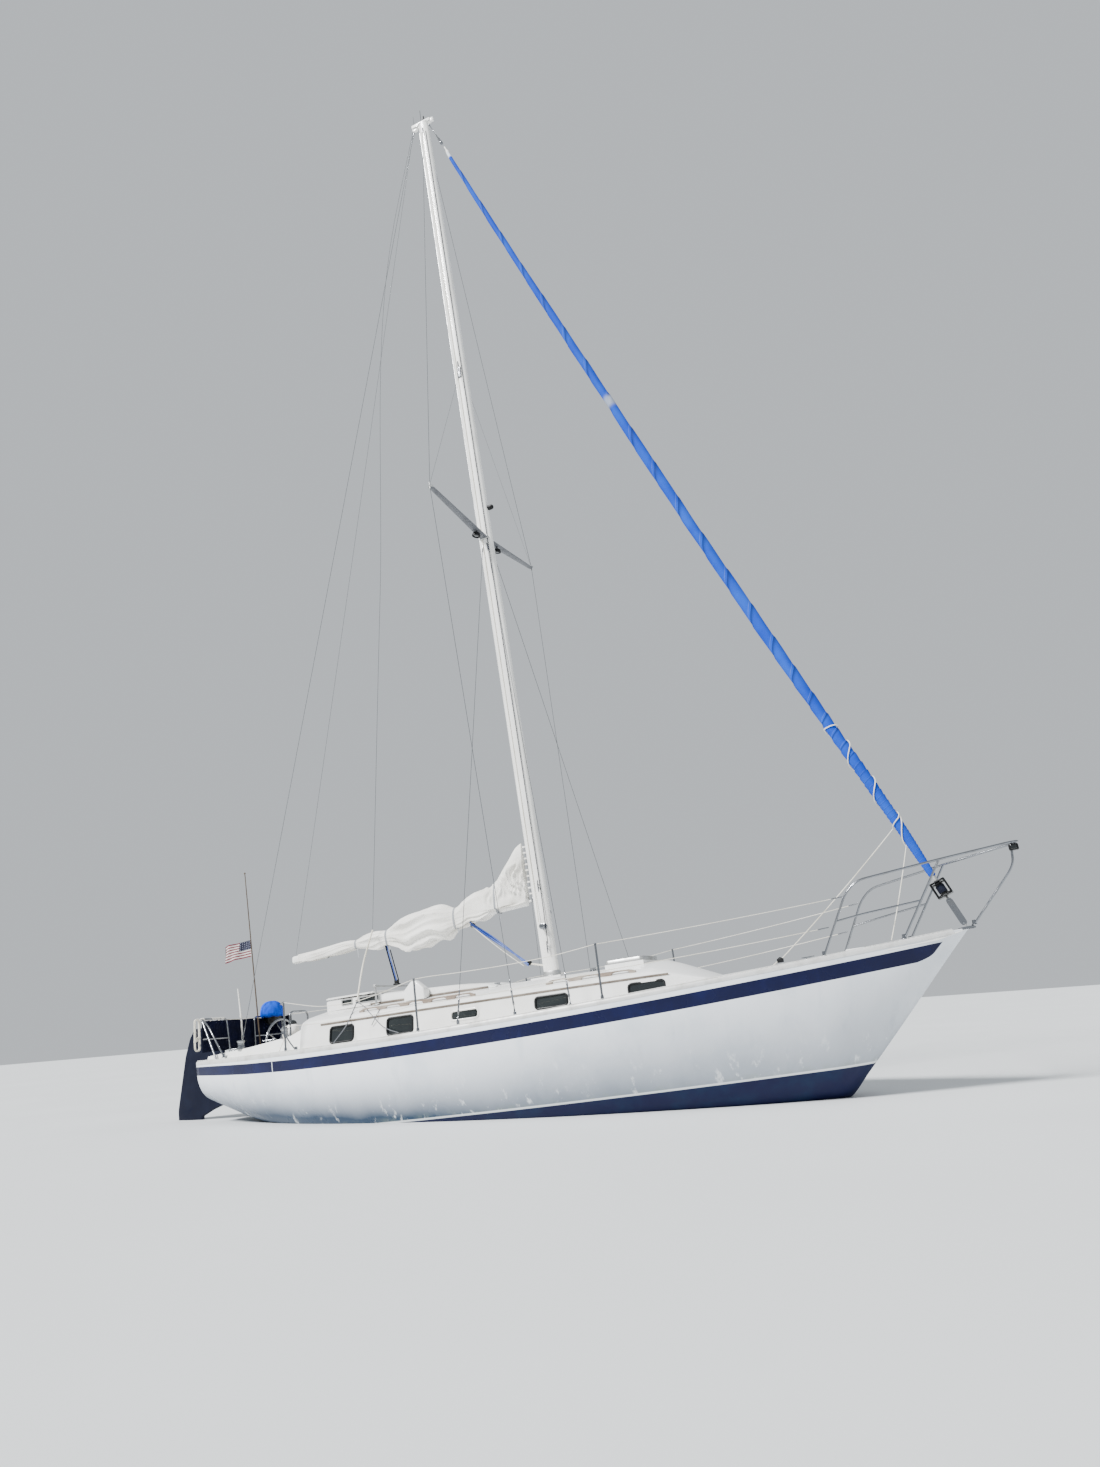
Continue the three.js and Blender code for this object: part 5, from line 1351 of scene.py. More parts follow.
def makeRoll():
    # radius = size along the stay + step * (saw of the turns less a half) + low lumps
    share = np.concatenate([np.linspace(0.035, 0.14, 420), np.linspace(0.14, 0.945, 440)[1:]])
    sides = roll["sides"]
    pitch, step = np.array(roll["pitch"]), np.array(roll["step"])
    metres = share * stayLong
    rate = 1 / np.interp(share, pitch[:, 0], pitch[:, 1])
    turns = np.concatenate([[0], np.cumsum(np.diff(metres) * (rate[1:] + rate[:-1]) / 2)])
    turn = wholeTurn(sides)[None]
    around = (turns[:, None] - turn / (2 * np.pi)) % 1
    fall = np.clip((around - 0.9) / 0.1, 0, 1)
    saw = around - fall * fall * (3 - 2 * fall)
    m = metres[:, None]
    lumps = (0.03 * np.sin(2 * turn + 2.1 * m) + 0.02 * np.sin(3 * turn - 3.7 * m) + 0.02 * np.sin(m * 7.3 + turn) +
        0.025 * np.sin(m * 3.1 - 2 * turn + 2 * np.sin(m * 0.7)))
    ledge = np.interp(share, step[:, 0], step[:, 1])[:, None]
    radius = rollRadius(share)[:, None] * (1 + lumps) + ledge * (saw - 0.5)
    radius *= np.clip((share - 0.0335) / 0.003, 0.55, 1)[:, None]
    points = stayAt(np.broadcast_to(share[:, None], radius.shape), radius, np.broadcast_to(turn, radius.shape))
    shell = grid(points)
    extra = len(shell["points"]) - radius.size
    near = np.exp(-((share[:, None] - 0.549) / 0.0065) ** 4) * (np.cos(turn + 1.9) > -0.2)
    white = np.broadcast_to(np.clip((share[:, None] - 0.936) / 0.002, 0, 1), radius.shape)
    flat = lambda v: np.concatenate([np.asarray(v).ravel(), np.zeros(extra)])
    rollMaterial(shell["quadMap"][..., 1].max())
    obj = piece("furled_jib_rolled", [shell], "rollCover", "furler", stands="furled_jib", sharp=60,
        marks={"turns": flat(np.broadcast_to(turns[:, None], radius.shape)), "patch": flat(near),
        "white": flat(white)})


makeRoll()

sheets = {"rope": 0.0062, "wrap": [(0.172, 3.1), (0.154, 2.0), (0.137, 1.0), (0.12, 0.0), (0.1025, -1.0),
    (0.086, -2.0), (0.0645, -3.0)], "fore": (4.06, -0.378, 1.318), "aft": (2.985, -0.865, 1.262)}


def makeSheets():
    # a rope wound down the roll, whose end leaves for the rail ahead, and one that leaves for the rail further aft
    r = sheets["rope"]
    knots = np.array(sheets["wrap"])[::-1]
    share = np.linspace(0.172, 0.0645, 110)
    turn = np.interp(share, knots[:, 0], knots[:, 1]) * np.pi
    wound = [tube(stayAt(share, rollRadius(share) + r + 0.005, turn), r, 8)]
    share = np.linspace(0.09, 0.08, 18)
    turn = np.interp(share, [0.08, 0.084, 0.09], [-3.0, -2.3, -1.8]) * np.pi
    wound.append(tube(stayAt(share, rollRadius(share) + r + 0.006, turn), r, 8))
    share = np.linspace(0.1745, 0.1695, 14)
    wound.append(tube(stayAt(share, rollRadius(share) + r + 0.003, np.linspace(2.4, 4.2, 14) * np.pi), r * 1.25, 8))
    piece("jib_sheet_wraps", wound, "ropeWhite", "furler")
    for name, start, end in (("jib_sheet_fore", stayAt(0.0645, 0.052, -3 * np.pi), sheets["fore"]),
            ("jib_sheet_aft", stayAt(0.08, 0.062, -3 * np.pi), sheets["aft"])):
        path = slackLine(start, end, 0.1, 50)
        line = piece(name, [tube(path, r * 0.85, 8)], "ropeWhite", None)
        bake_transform(line)
    # the aft sheet's block on the toe rail, and its run along the side deck to the cockpit winch
    foot = np.array(sheets["aft"])
    eye = [block(foot - (0.035, 0.012, 0.024), foot + (0.035, 0.012, 0.02), 0.008),
        turned([(-0.009, 0.026), (0.009, 0.026)], foot + (0, 0, 0.006), (0, 1, 0), 20)]
    piece("sheet_lead_block", eye, "blackPlastic")
    x = np.linspace(foot[0] - 0.03, -3.3, 80)
    y = -(np.maximum(halfBeam(x) - 0.1, 0) + 0.012 * np.sin(x * 2.3))
    z = deckZ(x, y) + 0.012
    run = spread(x, y, z)
    run[0] = foot + (-0.03, 0, -0.008)
    path = np.concatenate([run, [(-3.36, -0.935, 1.2), (-3.415, -0.89, 1.262)]])
    piece("jib_sheet_deck_run", [tube(path, r * 0.85, 8)], "ropeWhite")


makeSheets()

drum = {"low": 0.019, "high": 0.0318, "flange": 0.072, "core": 0.04, "cage": 0.086, "post": 0.01}


def makeDrum():
    # a spool with line wound on it turns inside a squared cage that is fixed to the stay's foot
    d = drum
    base, top = stayAt(d["low"]), stayAt(d["high"])
    long = float(np.linalg.norm(top - base))
    spool = [(0.022, 0.03), (0.022, d["flange"]), (0.03, d["flange"]), (0.034, d["core"]),
        (long - 0.048, d["core"]), (long - 0.044, d["flange"]), (long - 0.034, d["flange"]), (long - 0.03, 0.03),
        (long + 0.004, 0.026)]
    piece("furler_spool", [turned(spool, base, stayWay, 36)], "blackPlastic", "furler", stands="furler_drum")
    share = np.linspace(0, 1, 200)
    wound = base + stayWay * (0.046 + share[:, None] * (long - 0.106))
    turn = share * 2 * np.pi * 14
    wound = wound + (d["core"] + 0.004) * (np.cos(turn)[:, None] * stayFore + np.sin(turn)[:, None] * toPort)
    piece("furler_line_on_spool", [tube(wound, 0.0045, 8)], "ropeDark", "furler")
    cage = []
    square = ovalProfile(d["cage"], d["cage"], 5.0, 40)
    hole = ovalProfile(0.03, 0.03, 2.0, 40)
    for at, thick in ((0.002, 0.012), (long - 0.02, 0.012)):
        rows = []
        for ring, lift in ((hole, 0), (square * 0.97, 0), (square, thick * 0.3), (square, thick * 0.7),
                (square * 0.97, thick), (hole, thick)):
            rows.append(base + stayWay * (at + lift) + ring[:, :1] * stayFore + ring[:, 1:] * toPort)
        cage.append(hoop(np.stack(rows)))
    for sx in (-1, 1):
        for sy in (-1, 1):
            corner = 0.069 * np.array([sx, sy]) * 1.09
            foot = base + corner[0] * stayFore + corner[1] * toPort
            cage.append(tube([foot + stayWay * 0.006, foot + stayWay * (long - 0.014)], d["post"], 10))
    piece("furler_cage", cage, "blackPlastic", sharp=50)
    foil = [turned([(0, 0.026), (0.05, 0.024), (0.075, 0.02), (0.085, 0.014), (0.12, 0.014)], top, stayWay, 20)]
    piece("furler_neck", foil, "alloy", "furler")
    # the stay's foot: a toggle, a long screw in a pale sleeve, and a pin; and the swivel at its head
    foot = stayAt(-0.0052)
    parts = [turned([(0, 0.01), (0.03, 0.011), (0.04, 0.019), (0.25, 0.02), (0.262, 0.013), (0.345, 0.013),
        (0.355, 0.008)], foot, stayWay, 20), turned([(-0.024, 0.008), (0.024, 0.008)], foot + stayWay * 0.012,
        (0, 1, 0), 12)]
    piece("forestay_screw", parts, "alloy", stands="forestay_foot", sharp=50)
    plates = []
    for side in (-1, 1):
        rows = []
        for at, half in ((0.015, 0.014), (0.024, 0.027), (0.048, 0.034), (0.292, 0.034), (0.316, 0.027),
                (0.325, 0.014)):
            middle = foot + stayWay * at + np.array([0, side * 0.0245, 0])
            rows.append([middle + a * half * stayFore + np.array([0, b * 0.0022, 0]) for a,
                b in ((-1, -1), (1, -1), (1, 1), (-1, 1))])
        plates.append(grid(np.array(rows)))
        for at in (0.036, 0.302):
            plates.append(turned([(0, 0.011), (0.004, 0.01), (0.005, 0.004)],
                foot + stayWay * at + np.array([0, side * 0.0262, 0]), (0, side, 0), 12))
    piece("forestay_link_plates", plates, "stainless", sharp=40)
    head = stayAt(0.961)
    long = float(np.linalg.norm(stayAt(1.0) - head))
    parts = [turned([(0, 0.012), (0.02, 0.024), (0.07, 0.024), (0.085, 0.018), (0.16, 0.018), (0.17, 0.01),
        (0.26, 0.009), (0.27, 0.005), (long - 0.06, 0.005), (long - 0.055, 0.009), (long, 0.009)], head, stayWay,
        20)]
    piece("forestay_swivel", parts, "stainless", stands="forestay_head", sharp=50)
    share = np.linspace(0.945, 0.9555, 8)
    piece("jib_head_shackle", [tube(stayAt(share, 0.006, 0 * share), [0.02, 0.024, 0.022, 0.014, 0.01, 0.01, 0.012,
        0.01], 14)], "sailCloth", "furler")


makeDrum()
print("headsail made")

# mainsail flaked on the boom

flaked = {
    # x, top, lower edge, half width
    "shape": [(-3.77, 2.286, 2.246, 0.046), (-3.6, 2.334, 2.222, 0.068), (-3.25, 2.374, 2.234, 0.086),
              (-2.85, 2.405, 2.25, 0.098), (-2.55, 2.438, 2.235, 0.112), (-2.3, 2.47, 2.215, 0.118),
              (-2.03, 2.57, 2.15, 0.15), (-1.75, 2.618, 2.135, 0.165), (-1.47, 2.64, 2.19, 0.16),
              (-1.25, 2.59, 2.262, 0.132), (-0.95, 2.7, 2.35, 0.142), (-0.66, 2.79, 2.412, 0.14),
              (-0.41, 3.03, 2.43, 0.118), (-0.3, 3.165, 2.45, 0.09), (-0.205, 3.22, 2.47, 0.062)],
    "ties": [-2.8, -2.3, -1.244, -0.627], "rows": 320, "columns": 150, "fold": 0.04,
    "panel": (2.99, 0.36), "crumple": 0.042,  # height of the head panel's lower edge at the mast, its slope; depth
}


# the ties' mid-grey is painted shade, standing in for the shadow lines they make on the white sail
cloth("shadedSailTie", "8f9296", "a9abac", 0.3, 900.0, 0.2, bump=0.2)


def pinch(x):
    # 0 at each tie and 1 away from it
    x = np.asarray(x, float)[..., None]
    return 1 - np.exp(-((x - np.array(flaked["ties"])) / 0.11) ** 2).max(-1)


def flakedRing(x):
    # a horseshoe over the boom: the outside runs from one lower edge over the top to the other,
    # half width times the sine and height times the cosine, and the inside comes back round the boom
    columns = flaked["columns"]
    shape = np.array(flaked["shape"])
    top, low, half = (cubicThrough(shape[:, 0], shape[:, k], x)[:, None] for k in (1, 2, 3))
    zb = boomZ(x)[:, None]
    outCount = int(columns * 0.72)
    turn = np.linspace(-1, 1, outCount)[None] * np.pi * 0.86
    s, c = np.sin(turn), np.cos(turn)
    high, deep = top - zb, zb - low
    y = half * np.sign(s) * np.abs(s) ** 0.85
    y = np.where(c < 0, half * np.sign(s) * np.abs(s) ** 0.6, y)
    z = zb + np.where(c > 0, high * np.abs(c) ** 0.9 * np.sign(c), -deep * np.abs(c / np.cos(np.pi * 0.86)) ** 1.1)
    inCount = columns - outCount
    t = np.linspace(0, 1, inCount + 2)[1:-1][None]
    boxHalf, boxHigh = boom["half"] + 0.006, boom["deep"] + 0.006
    drop = np.maximum(deep * 0.9, 0.01)
    legs = np.clip(np.abs(t - 0.5) - 0.18, 0, 1) / 0.32
    innerY = boxHalf * np.clip((0.5 - t) / 0.18, -1, 1)
    innerZ = zb + boxHigh - (boxHigh + drop) * legs
    return y, z, innerY, np.broadcast_to(innerZ, (len(x), inCount)), turn


def makeFlaked():
    # folds: ridges whose lines run along the boom, wander, and gather into fine pleats at the ties
    t = np.linspace(0, 1, flaked["rows"])
    x = -0.205 - 3.565 * (0.55 * (1 - t) + 0.45 * (1 - t) ** 2)  # closer together towards the mast
    y, z, innerY, innerZ, turn = flakedRing(x)
    free = pinch(x)[:, None]
    half = np.abs(y).max(1, keepdims=True)
    along, about = x[:, None], turn
    wander = (0.8 * np.sin(1.9 * along + 1.3 * about) + 0.5 * np.sin(4.3 * along - 2.1 * about + 1.0) + 0.35 *
        np.sin(9.1 * along + 0.7 * about + 2.0))
    ridge = lambda phase: 1 - np.abs(np.sin(phase / 2)) ** 0.8
    big = ridge(5.2 * about + 1.6 * along + 2.2 * wander) - 0.36
    mid = ridge(9.5 * about - 3.1 * along + 2.6 * wander + 1.2) - 0.36
    near = (np.exp(-np.abs(along[..., None] - np.array(flaked["ties"])) / 0.16)).max(-1)
    pleat = near * (ridge(21 * about + 1.5 * wander) - 0.36)
    cross = ridge(7.0 * along + 2.4 * about + 1.8 * wander) - 0.36
    amp = flaked["fold"] * np.clip(half / 0.15, 0.35, 1.1) * np.clip((along + 3.6) / 1.3, 0.35, 1)
    # by the mast a smooth head panel hangs over crumpled folds that fan up towards it
    panelLow = flaked["panel"][0] + flaked["panel"][1] * (along + 0.2)
    forward = np.clip((along + 0.85) / 0.2, 0, 1)
    smoothHead = 1 - 0.85 * forward * np.clip((z - panelLow) / 0.03, 0, 1)
    fan = 24 * along + 15 * z + 1.5 * np.sin(17 * z + 6 * along) + 1.3 * np.sin(9 * along - 13 * z + 2)
    crumple = forward * np.clip((panelLow - z) / 0.03, 0, 1) * np.clip((z - boomZ(along) - 0.06) / 0.05, 0, 1)
    crumple = crumple * (ridge(2.1 * fan) + 0.45 * ridge(3.9 * fan + 11 * z) - 0.75)
    push = amp * free**0.6 * smoothHead * (big + 0.55 * mid + 0.3 * cross) + 0.01 * pleat * free**0.3
    push += flaked["crumple"] * crumple * free**0.4
    push -= 0.026 * (1 - free) * np.clip(half / 0.12, 0, 1)
    normalY = np.sin(turn) / np.maximum(half, 0.05)
    normalZ = np.cos(turn) / np.maximum(np.ptp(z, axis=1)[:, None] / 2, 0.05)
    size = np.hypot(normalY, normalZ)
    y, z = y + push * normalY / size, z + push * normalZ / size
    # the lower edge rises and falls in soft scallops, and never enters the boom
    under = np.clip(-np.cos(turn), 0, 1)
    calm = np.clip((along + 3.0) / 0.8, 0.15, 1)
    z = z + under * free * calm * (0.022 * np.sin(11.0 * along + 1.0) + 0.014 * np.sin(23.0 * along))
    inBoom = np.abs(z - boomZ(along)) < boom["deep"] + 0.004
    y = np.where(inBoom & (np.abs(turn) > 0.9), np.sign(turn) * np.maximum(np.abs(y), boom["half"] + 0.01), y)
    ring = np.concatenate([spread(along, y, z), spread(along, innerY, innerZ)], 1)
    ring[-1, :, 0] -= 0.004
    obj = piece("mainsail_flaked", [grid(ring)], "sailCloth", "boom", stands="mainsail_bundle", sharp=60)
    # ties: flat webbing over the pinched sail and under the boom, grey for painted shade
    bands = []
    for tie in flaked["ties"]:
        row = int(np.abs(x - tie).argmin())
        outer = ring[row, :int(flaked["columns"] * 0.72), 1:]
        low = boomZ(tie) - boom["deep"] - 0.008
        bottom = np.array([(0.052, low + 0.01), (0.04, low), (0.0, low - 0.001), (-0.04, low),
            (-0.052, low + 0.01)])
        loop = np.concatenate([outer[::3], bottom])
        closed = np.concatenate([loop, loop[:1]])
        middle = np.array([0, boomZ(tie)])
        out = (closed - middle) / np.linalg.norm(closed - middle, axis=1, keepdims=True)
        rows = []
        for dx, lift in ((-0.013, 0.001), (-0.013, 0.004), (0.013, 0.004), (0.013, 0.001)):
            spot = closed + out * lift
            rows.append(spread(tie + dx, spot[:, 0], spot[:, 1]))
        rows = np.stack(rows, 1)
        bands.append(grid(rows, capStart=False, capEnd=False))
        tail = np.array([(tie + 0.02, -0.055, low + 0.02), (tie + 0.03, -0.06, low - 0.05),
            (tie + 0.035, -0.057, low - 0.12)])
        bands.append(grid(carried(curveThrough(tail, 12), np.array([(-0.01, -0.0015), (0.01, -0.0015),
            (0.01, 0.0015), (-0.01, 0.0015)]), (0, 1, 0))))
    piece("sail_ties", bands, "shadedSailTie", "boom", sharp=50)
    clip = np.array([-1.96, -0.05, 2.155])
    piece("tack_reef_hook", [block(clip - (0.02, 0.012, 0.035), clip + (0.02, 0.012, 0.03), 0.006),
        tube([clip + (0, 0, 0.02), clip + (0.004, 0, 0.075)], 0.004, 8)], "blackPlastic", "boom")
    # slides stacked on the mast's track
    slides = []
    for z in np.linspace(2.56, 3.16, 9):
        face = mastX(z) - mast["half"][0]
        slides.append(block((face - 0.05, -0.008, z - 0.01), (face - 0.006, 0.008, z + 0.01), 0.004))
    piece("luff_slides", slides, "sailCloth", "boom")


makeFlaked()
print("mainsail made")

# running rigging

vang = {"top": (-1.05, 0.0, 2.32), "foot": (-0.265, 0.0, 1.7)}


def strung(name, path, radius, finish, bodies=None):
    # a line on a path; one that spans two bodies rides neither and keeps its place
    line = piece(name, [tube(path, radius, 8)], finish, None if bodies else "hull")
    if bodies:
        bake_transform(line)


def makeRunning():
    top = np.array([mastX(15.16) - 0.205, 0.0, 15.105])
    foot = np.array([-3.845, 0, boomZ(-3.845) + 0.058])
    path = np.linspace(top, foot, 60)
    strung("topping_lift", path, 0.0025, "wireRope", ("hull", "boom"))
    # a second lift to the middle of the boom, and the white tackle from there to the side deck, whose legs and tail are
    # grey for painted shade
    top = np.array([mastX(15.16) - 0.19, -0.03, 15.1])
    hook = np.array([-2.44, -0.17, 2.455])
    path = curveThrough([top, (-1.172, -0.1, 13.151), (-1.909, -0.15, 7.098), hook], 60)
    strung("mid_boom_lift", path, 0.003, "wireRope", ("hull", "boom"))
    ring = np.array([-2.42, -0.66, 1.535])
    path = curveThrough([hook, (-2.49, -0.34, 2.071), ring], 24)
    strung("white_tackle_fall", path, 0.0105, "ropeWhite", ("boom", "hull"))
    legs = (("tackle_aft_leg", 40, 0.006, [ring, (-2.35, -0.872, 1.402), (-2.324, -0.952, 1.356),
        (-2.292, -1.085, 1.258), (-2.315, -1.335, 1.062)]), ("tackle_fore_leg", 50, 0.005, [ring,
        (-2.19, -0.806, 1.434), (-2.086, -0.903, 1.378), (-1.99, -0.982, 1.328), (-1.838, -1.035, 1.2),
        (-1.66, -1.15, 1.132), (-1.43, -1.3, 1.075)]), ("tackle_tail", 24, 0.0045, [(-1.955, -0.84, 1.412),
        (-1.93, -0.915, 1.374), (-1.914, -0.988, 1.33), (-1.99, -1.005, 1.212)]))
    for name, count, radius, points in legs:
        strung(name, curveThrough(points, count), radius, "shadedWhiteRope")
    piece("white_tackle_thimble", [turned([(-0.012, 0.01), (-0.012, 0.026), (0, 0.021), (0.012, 0.026),
        (0.012, 0.01)], ring, (1, 0.3, 0), 18)], "stainless")
    # mainsheet: four parts between a block on the boom and the traveller's car
    car = np.array([-2.24, 0, 1.716])
    under = np.array([-2.35, 0, boomZ(-2.35) - 0.086])
    for n, (dx, dy, ink) in enumerate(((0.024, 0.014, "ropeDark"), (-0.024, 0.014, "ropeDark"),
            (0.008, -0.014, "ropeBlue"), (-0.014, -0.014, "ropeDark"))):
        path = np.linspace(under + (dx, dy, -0.02), car + (dx, dy, 0.055), 16)
        strung(f"mainsheet_part_{n + 1}", path, 0.0075, ink, ("boom", "hull"))
    high = [block(under - (0.03, 0.02, 0.03), under + (0.03, 0.02, 0.026), 0.01),
        tube([under + (0, 0, 0.02), under + (0, 0, 0.045)], 0.006, 10)]
    piece("mainsheet_boom_block", high, "blackPlastic", "boom")
    low = [block(car - (0.04, 0.034, 0.0), car + (0.04, 0.034, 0.02), 0.006), block(car + (-0.03, -0.02, 0.018),
        car + (0.03, 0.02, 0.066), 0.01)]
    piece("traveller_car", low, "blackPlastic")
    # vang: three blue parts and a thin white tail between two blocks
    high, low = np.array(vang["top"]), np.array(vang["foot"])
    parts = [tube(curveThrough([high + (0.006 * k, o, -0.016 * k),
        (high + low) / 2 + (0.01 * k, o * 1.2, -0.022 * k), low + (-0.03 + 0.006 * k, o, 0.01 * k)], 20), 0.0085, 8)
        for o, k in ((-0.022, 0.2), (-0.008, 1.3), (0.014, 0.4), (0.006, -1.2), (-0.014, -1.6))]
    piece("vang_parts", parts, "ropeBlue", "boom", stands="boom_vang")
    tail = curveThrough([high + (0.02, -0.02, -0.03), (high + low) / 2 + (0.01, -0.03, -0.075),
        low + (-0.09, -0.03, -0.01)], 24)
    piece("vang_tail", [tube(tail, 0.0045, 8)], "ropeWhite", "boom")
    way = (low - high) / np.linalg.norm(low - high)
    blocks = [turned([(-0.018, 0.022), (-0.015, 0.03), (0.015, 0.03), (0.018, 0.022)], spot, (0, 1, 0), 20)
        for spot in (high + way * 0.03, low - way * 0.03)]
    blocks.append(tube([high, high + (0, 0, 0.028)], 0.006, 8))
    piece("vang_blocks", blocks, "blackPlastic", "boom")
    # the white end of the tail is made fast to a bail on the mast
    bail = np.array([mastX(1.66) - mast["half"][0] + 0.004, 0, 1.66])
    strung("vang_foot_lashing", np.linspace(low + (-0.012, 0, 0.006), bail, 8), 0.011, "ropeWhite",
        ("boom", "hull"))


makeRunning()
print("running rigging made")

# rails: stanchions with sagging wires, the pulpit and the pushpits

rails = {
    "posts": [-3.12, -1.066, 1.148], "inboard": 0.06, "wire": 0.0032,
    # x, upper and lower wire over the sheer
    "sag": [(-3.12, 0.6, 0.312), (-2.52, 0.484, 0.29), (-1.96, 0.471, 0.284), (-1.46, 0.532, 0.292),
            (-1.066, 0.598, 0.31), (-0.46, 0.583, 0.301), (0.08, 0.568, 0.297), (0.66, 0.569, 0.3),
            (1.148, 0.598, 0.31)],
    "foreEnds": [(3.682, 0.545, 1.822), (3.492, 0.592, 1.53)],
    "aftEnds": [(-4.878, 0.738, 1.618), (-4.745, 0.795, 1.365)],
}


def railY(x):
    # straight between the stanchions
    posts = np.array(rails["posts"])
    return np.interp(x, posts, halfBeam(posts) - rails["inboard"])


def footPlate(spot, radius=0.038):
    return turned([(0.0, radius), (0.005, radius), (0.008, radius * 0.92), (0.01, 0.02), (0.045, 0.0175),
        (0.05, 0.0165)], spot, (0, 0, 1), 20)


def makeRails():
    for sideName, side in bothSides.items():
        name = "guard_rail_" + sideName
        steel, wires, feet = [], [], []
        for x in rails["posts"]:
            y, low = halfBeam(x) - rails["inboard"], sheerZ(x) + 0.008
            foot = np.array([x, side * y, low])
            steel.append(tube([foot, foot + (0, 0, 0.59), foot + (0, 0, 0.6), foot + (0, 0, 0.604)],
                [0.0125, 0.0115, 0.009, 0.004], 16))
            feet.append(footPlate(foot + (0, 0, 0.004)))
            for lift in (0.304, 0.592):
                steel.append(turned([(-0.006, 0.0125), (-0.006, 0.0145), (0.006, 0.0145), (0.006, 0.0125)],
                    foot + (0, 0, lift), (0, 0, 1), 16))
        x, z = rails["posts"][0], sheerZ(rails["posts"][0]) + 0.22
        y = halfBeam(x) - rails["inboard"]
        brace = [(x, side * y, z), (x + 0.06, side * (y - 0.004), z - 0.1), (x + 0.15, side * (y - 0.01),
            sheerZ(x + 0.15) + 0.012)]
        steel.append(tube(easedPath(brace, 0.05), 0.009, 12))
        feet.append(footPlate(np.array(brace[-1]) + (0, 0, -0.002), 0.03))
        sag = np.array(rails["sag"])

        def strand(start, end, drop):
            # a slack wire with the fitting that ends it
            run = slackLine(start, end, drop, 30)
            wires.append(tube(run, rails["wire"], 8))
            steel.append(turned([(0, 0.005), (0.02, 0.007), (0.1, 0.007), (0.12, 0.0045)], end, run[-4] - end, 10))

        for k, (fore, aft) in enumerate(zip(rails["foreEnds"], rails["aftEnds"])):
            x = np.linspace(rails["posts"][0], rails["posts"][-1], 90)
            over = np.interp(x, sag[:, 0], sag[:, k + 1]) * 0.35 + cubicThrough(sag[:, 0], sag[:, k + 1], x) * 0.65
            run = spread(x, side * railY(x), sheerZ(x) + over)
            wires.append(tube(run, rails["wire"], 8))
            strand(run[-1], np.array(fore) * [1, side, 1], 0.05)
            start = run[0]
            if side > 0:
                strand(start, aft, 0.06)
            else:  # the gate's wires are let go, and hang from their post by a hook
                steel.append(tube([start, start + (-0.03, 0, -0.004), start + (-0.052, 0, -0.022)],
                    [0.0045, 0.0065, 0.004], 10))
        piece(name + "_posts", steel, "stainless", stands=name)
        piece(name + "_wires", wires, "ropeWhite")
        piece(name + "_feet", feet, "stainless", sharp=50)


makeRails()

pulpit = {"side": [(3.39, 0.6, 1.252), (3.72, 0.56, 1.85), (3.86, 0.54, 1.965), (4.7, 0.29, 2.062),
    (5.4, 0.1, 2.13), (5.49, 0.0, 2.138)], "leg": [(4.18, 0.3, 1.316), (4.69, 0.292, 2.058)], "radius": 0.0125,
    "mid": [(3.571, 0.578, 1.58), (3.85, 0.518, 1.617), (4.069, 0.43, 1.64), (4.427, 0.296, 1.676)],
    "centre": [(4.87, 0, 1.372), (5.33, 0, 1.85), (5.38, 0, 1.93), (5.405, 0, 2.128)]}


def makePulpit():
    flip = np.array([1, -1, 1])
    side = np.array(pulpit["side"])
    loop = np.concatenate([side * flip, side[:-1][::-1]])
    shells = [tube(easedPath(loop, 0.1, 8), pulpit["radius"], 16)]
    shells.append(tube(easedPath(pulpit["centre"], 0.1, 8), pulpit["radius"], 16))
    shells.append(tube([(5.405, -0.098, 2.128), (5.405, 0.098, 2.128)], 0.0105, 12))
    for s in (np.array([1, 1, 1]), flip):
        leg = np.array(pulpit["leg"]) * s
        shells.append(tube(leg, pulpit["radius"], 16))
        shells.append(tube(curveThrough(np.array(pulpit["mid"]) * s, 20), 0.0105, 14))
        shells += [footPlate(side[0] * s + (0, 0, -0.002)), footPlate(leg[0] + (0, 0, -0.002))]
    shells.append(footPlate((4.87, 0, 1.366), 0.03))
    piece("pulpit_tubes", shells, "stainless", stands="pulpit", sharp=50)
    # the bow light under the tip: a dark housing with a lens on each side
    lamp = [block((5.372, -0.04, 2.05), (5.47, 0.04, 2.118), 0.012)]
    piece("bow_light_housing", lamp, "blackPlastic")
    lens = [block((5.392, s * 0.042 - 0.006, 2.062), (5.452, s * 0.042 + 0.006, 2.106), 0.006) for s in (-1, 1)]
    piece("bow_light_lenses", lens, "windowGlass")


makePulpit()

pushpit = {"corner": (-4.915, 0.7, 1.628), "inner": {"port": 0.36, "starboard": 0.21}, "foot": (-4.54, 0.835, 1.04),
    "radius": 0.0125}


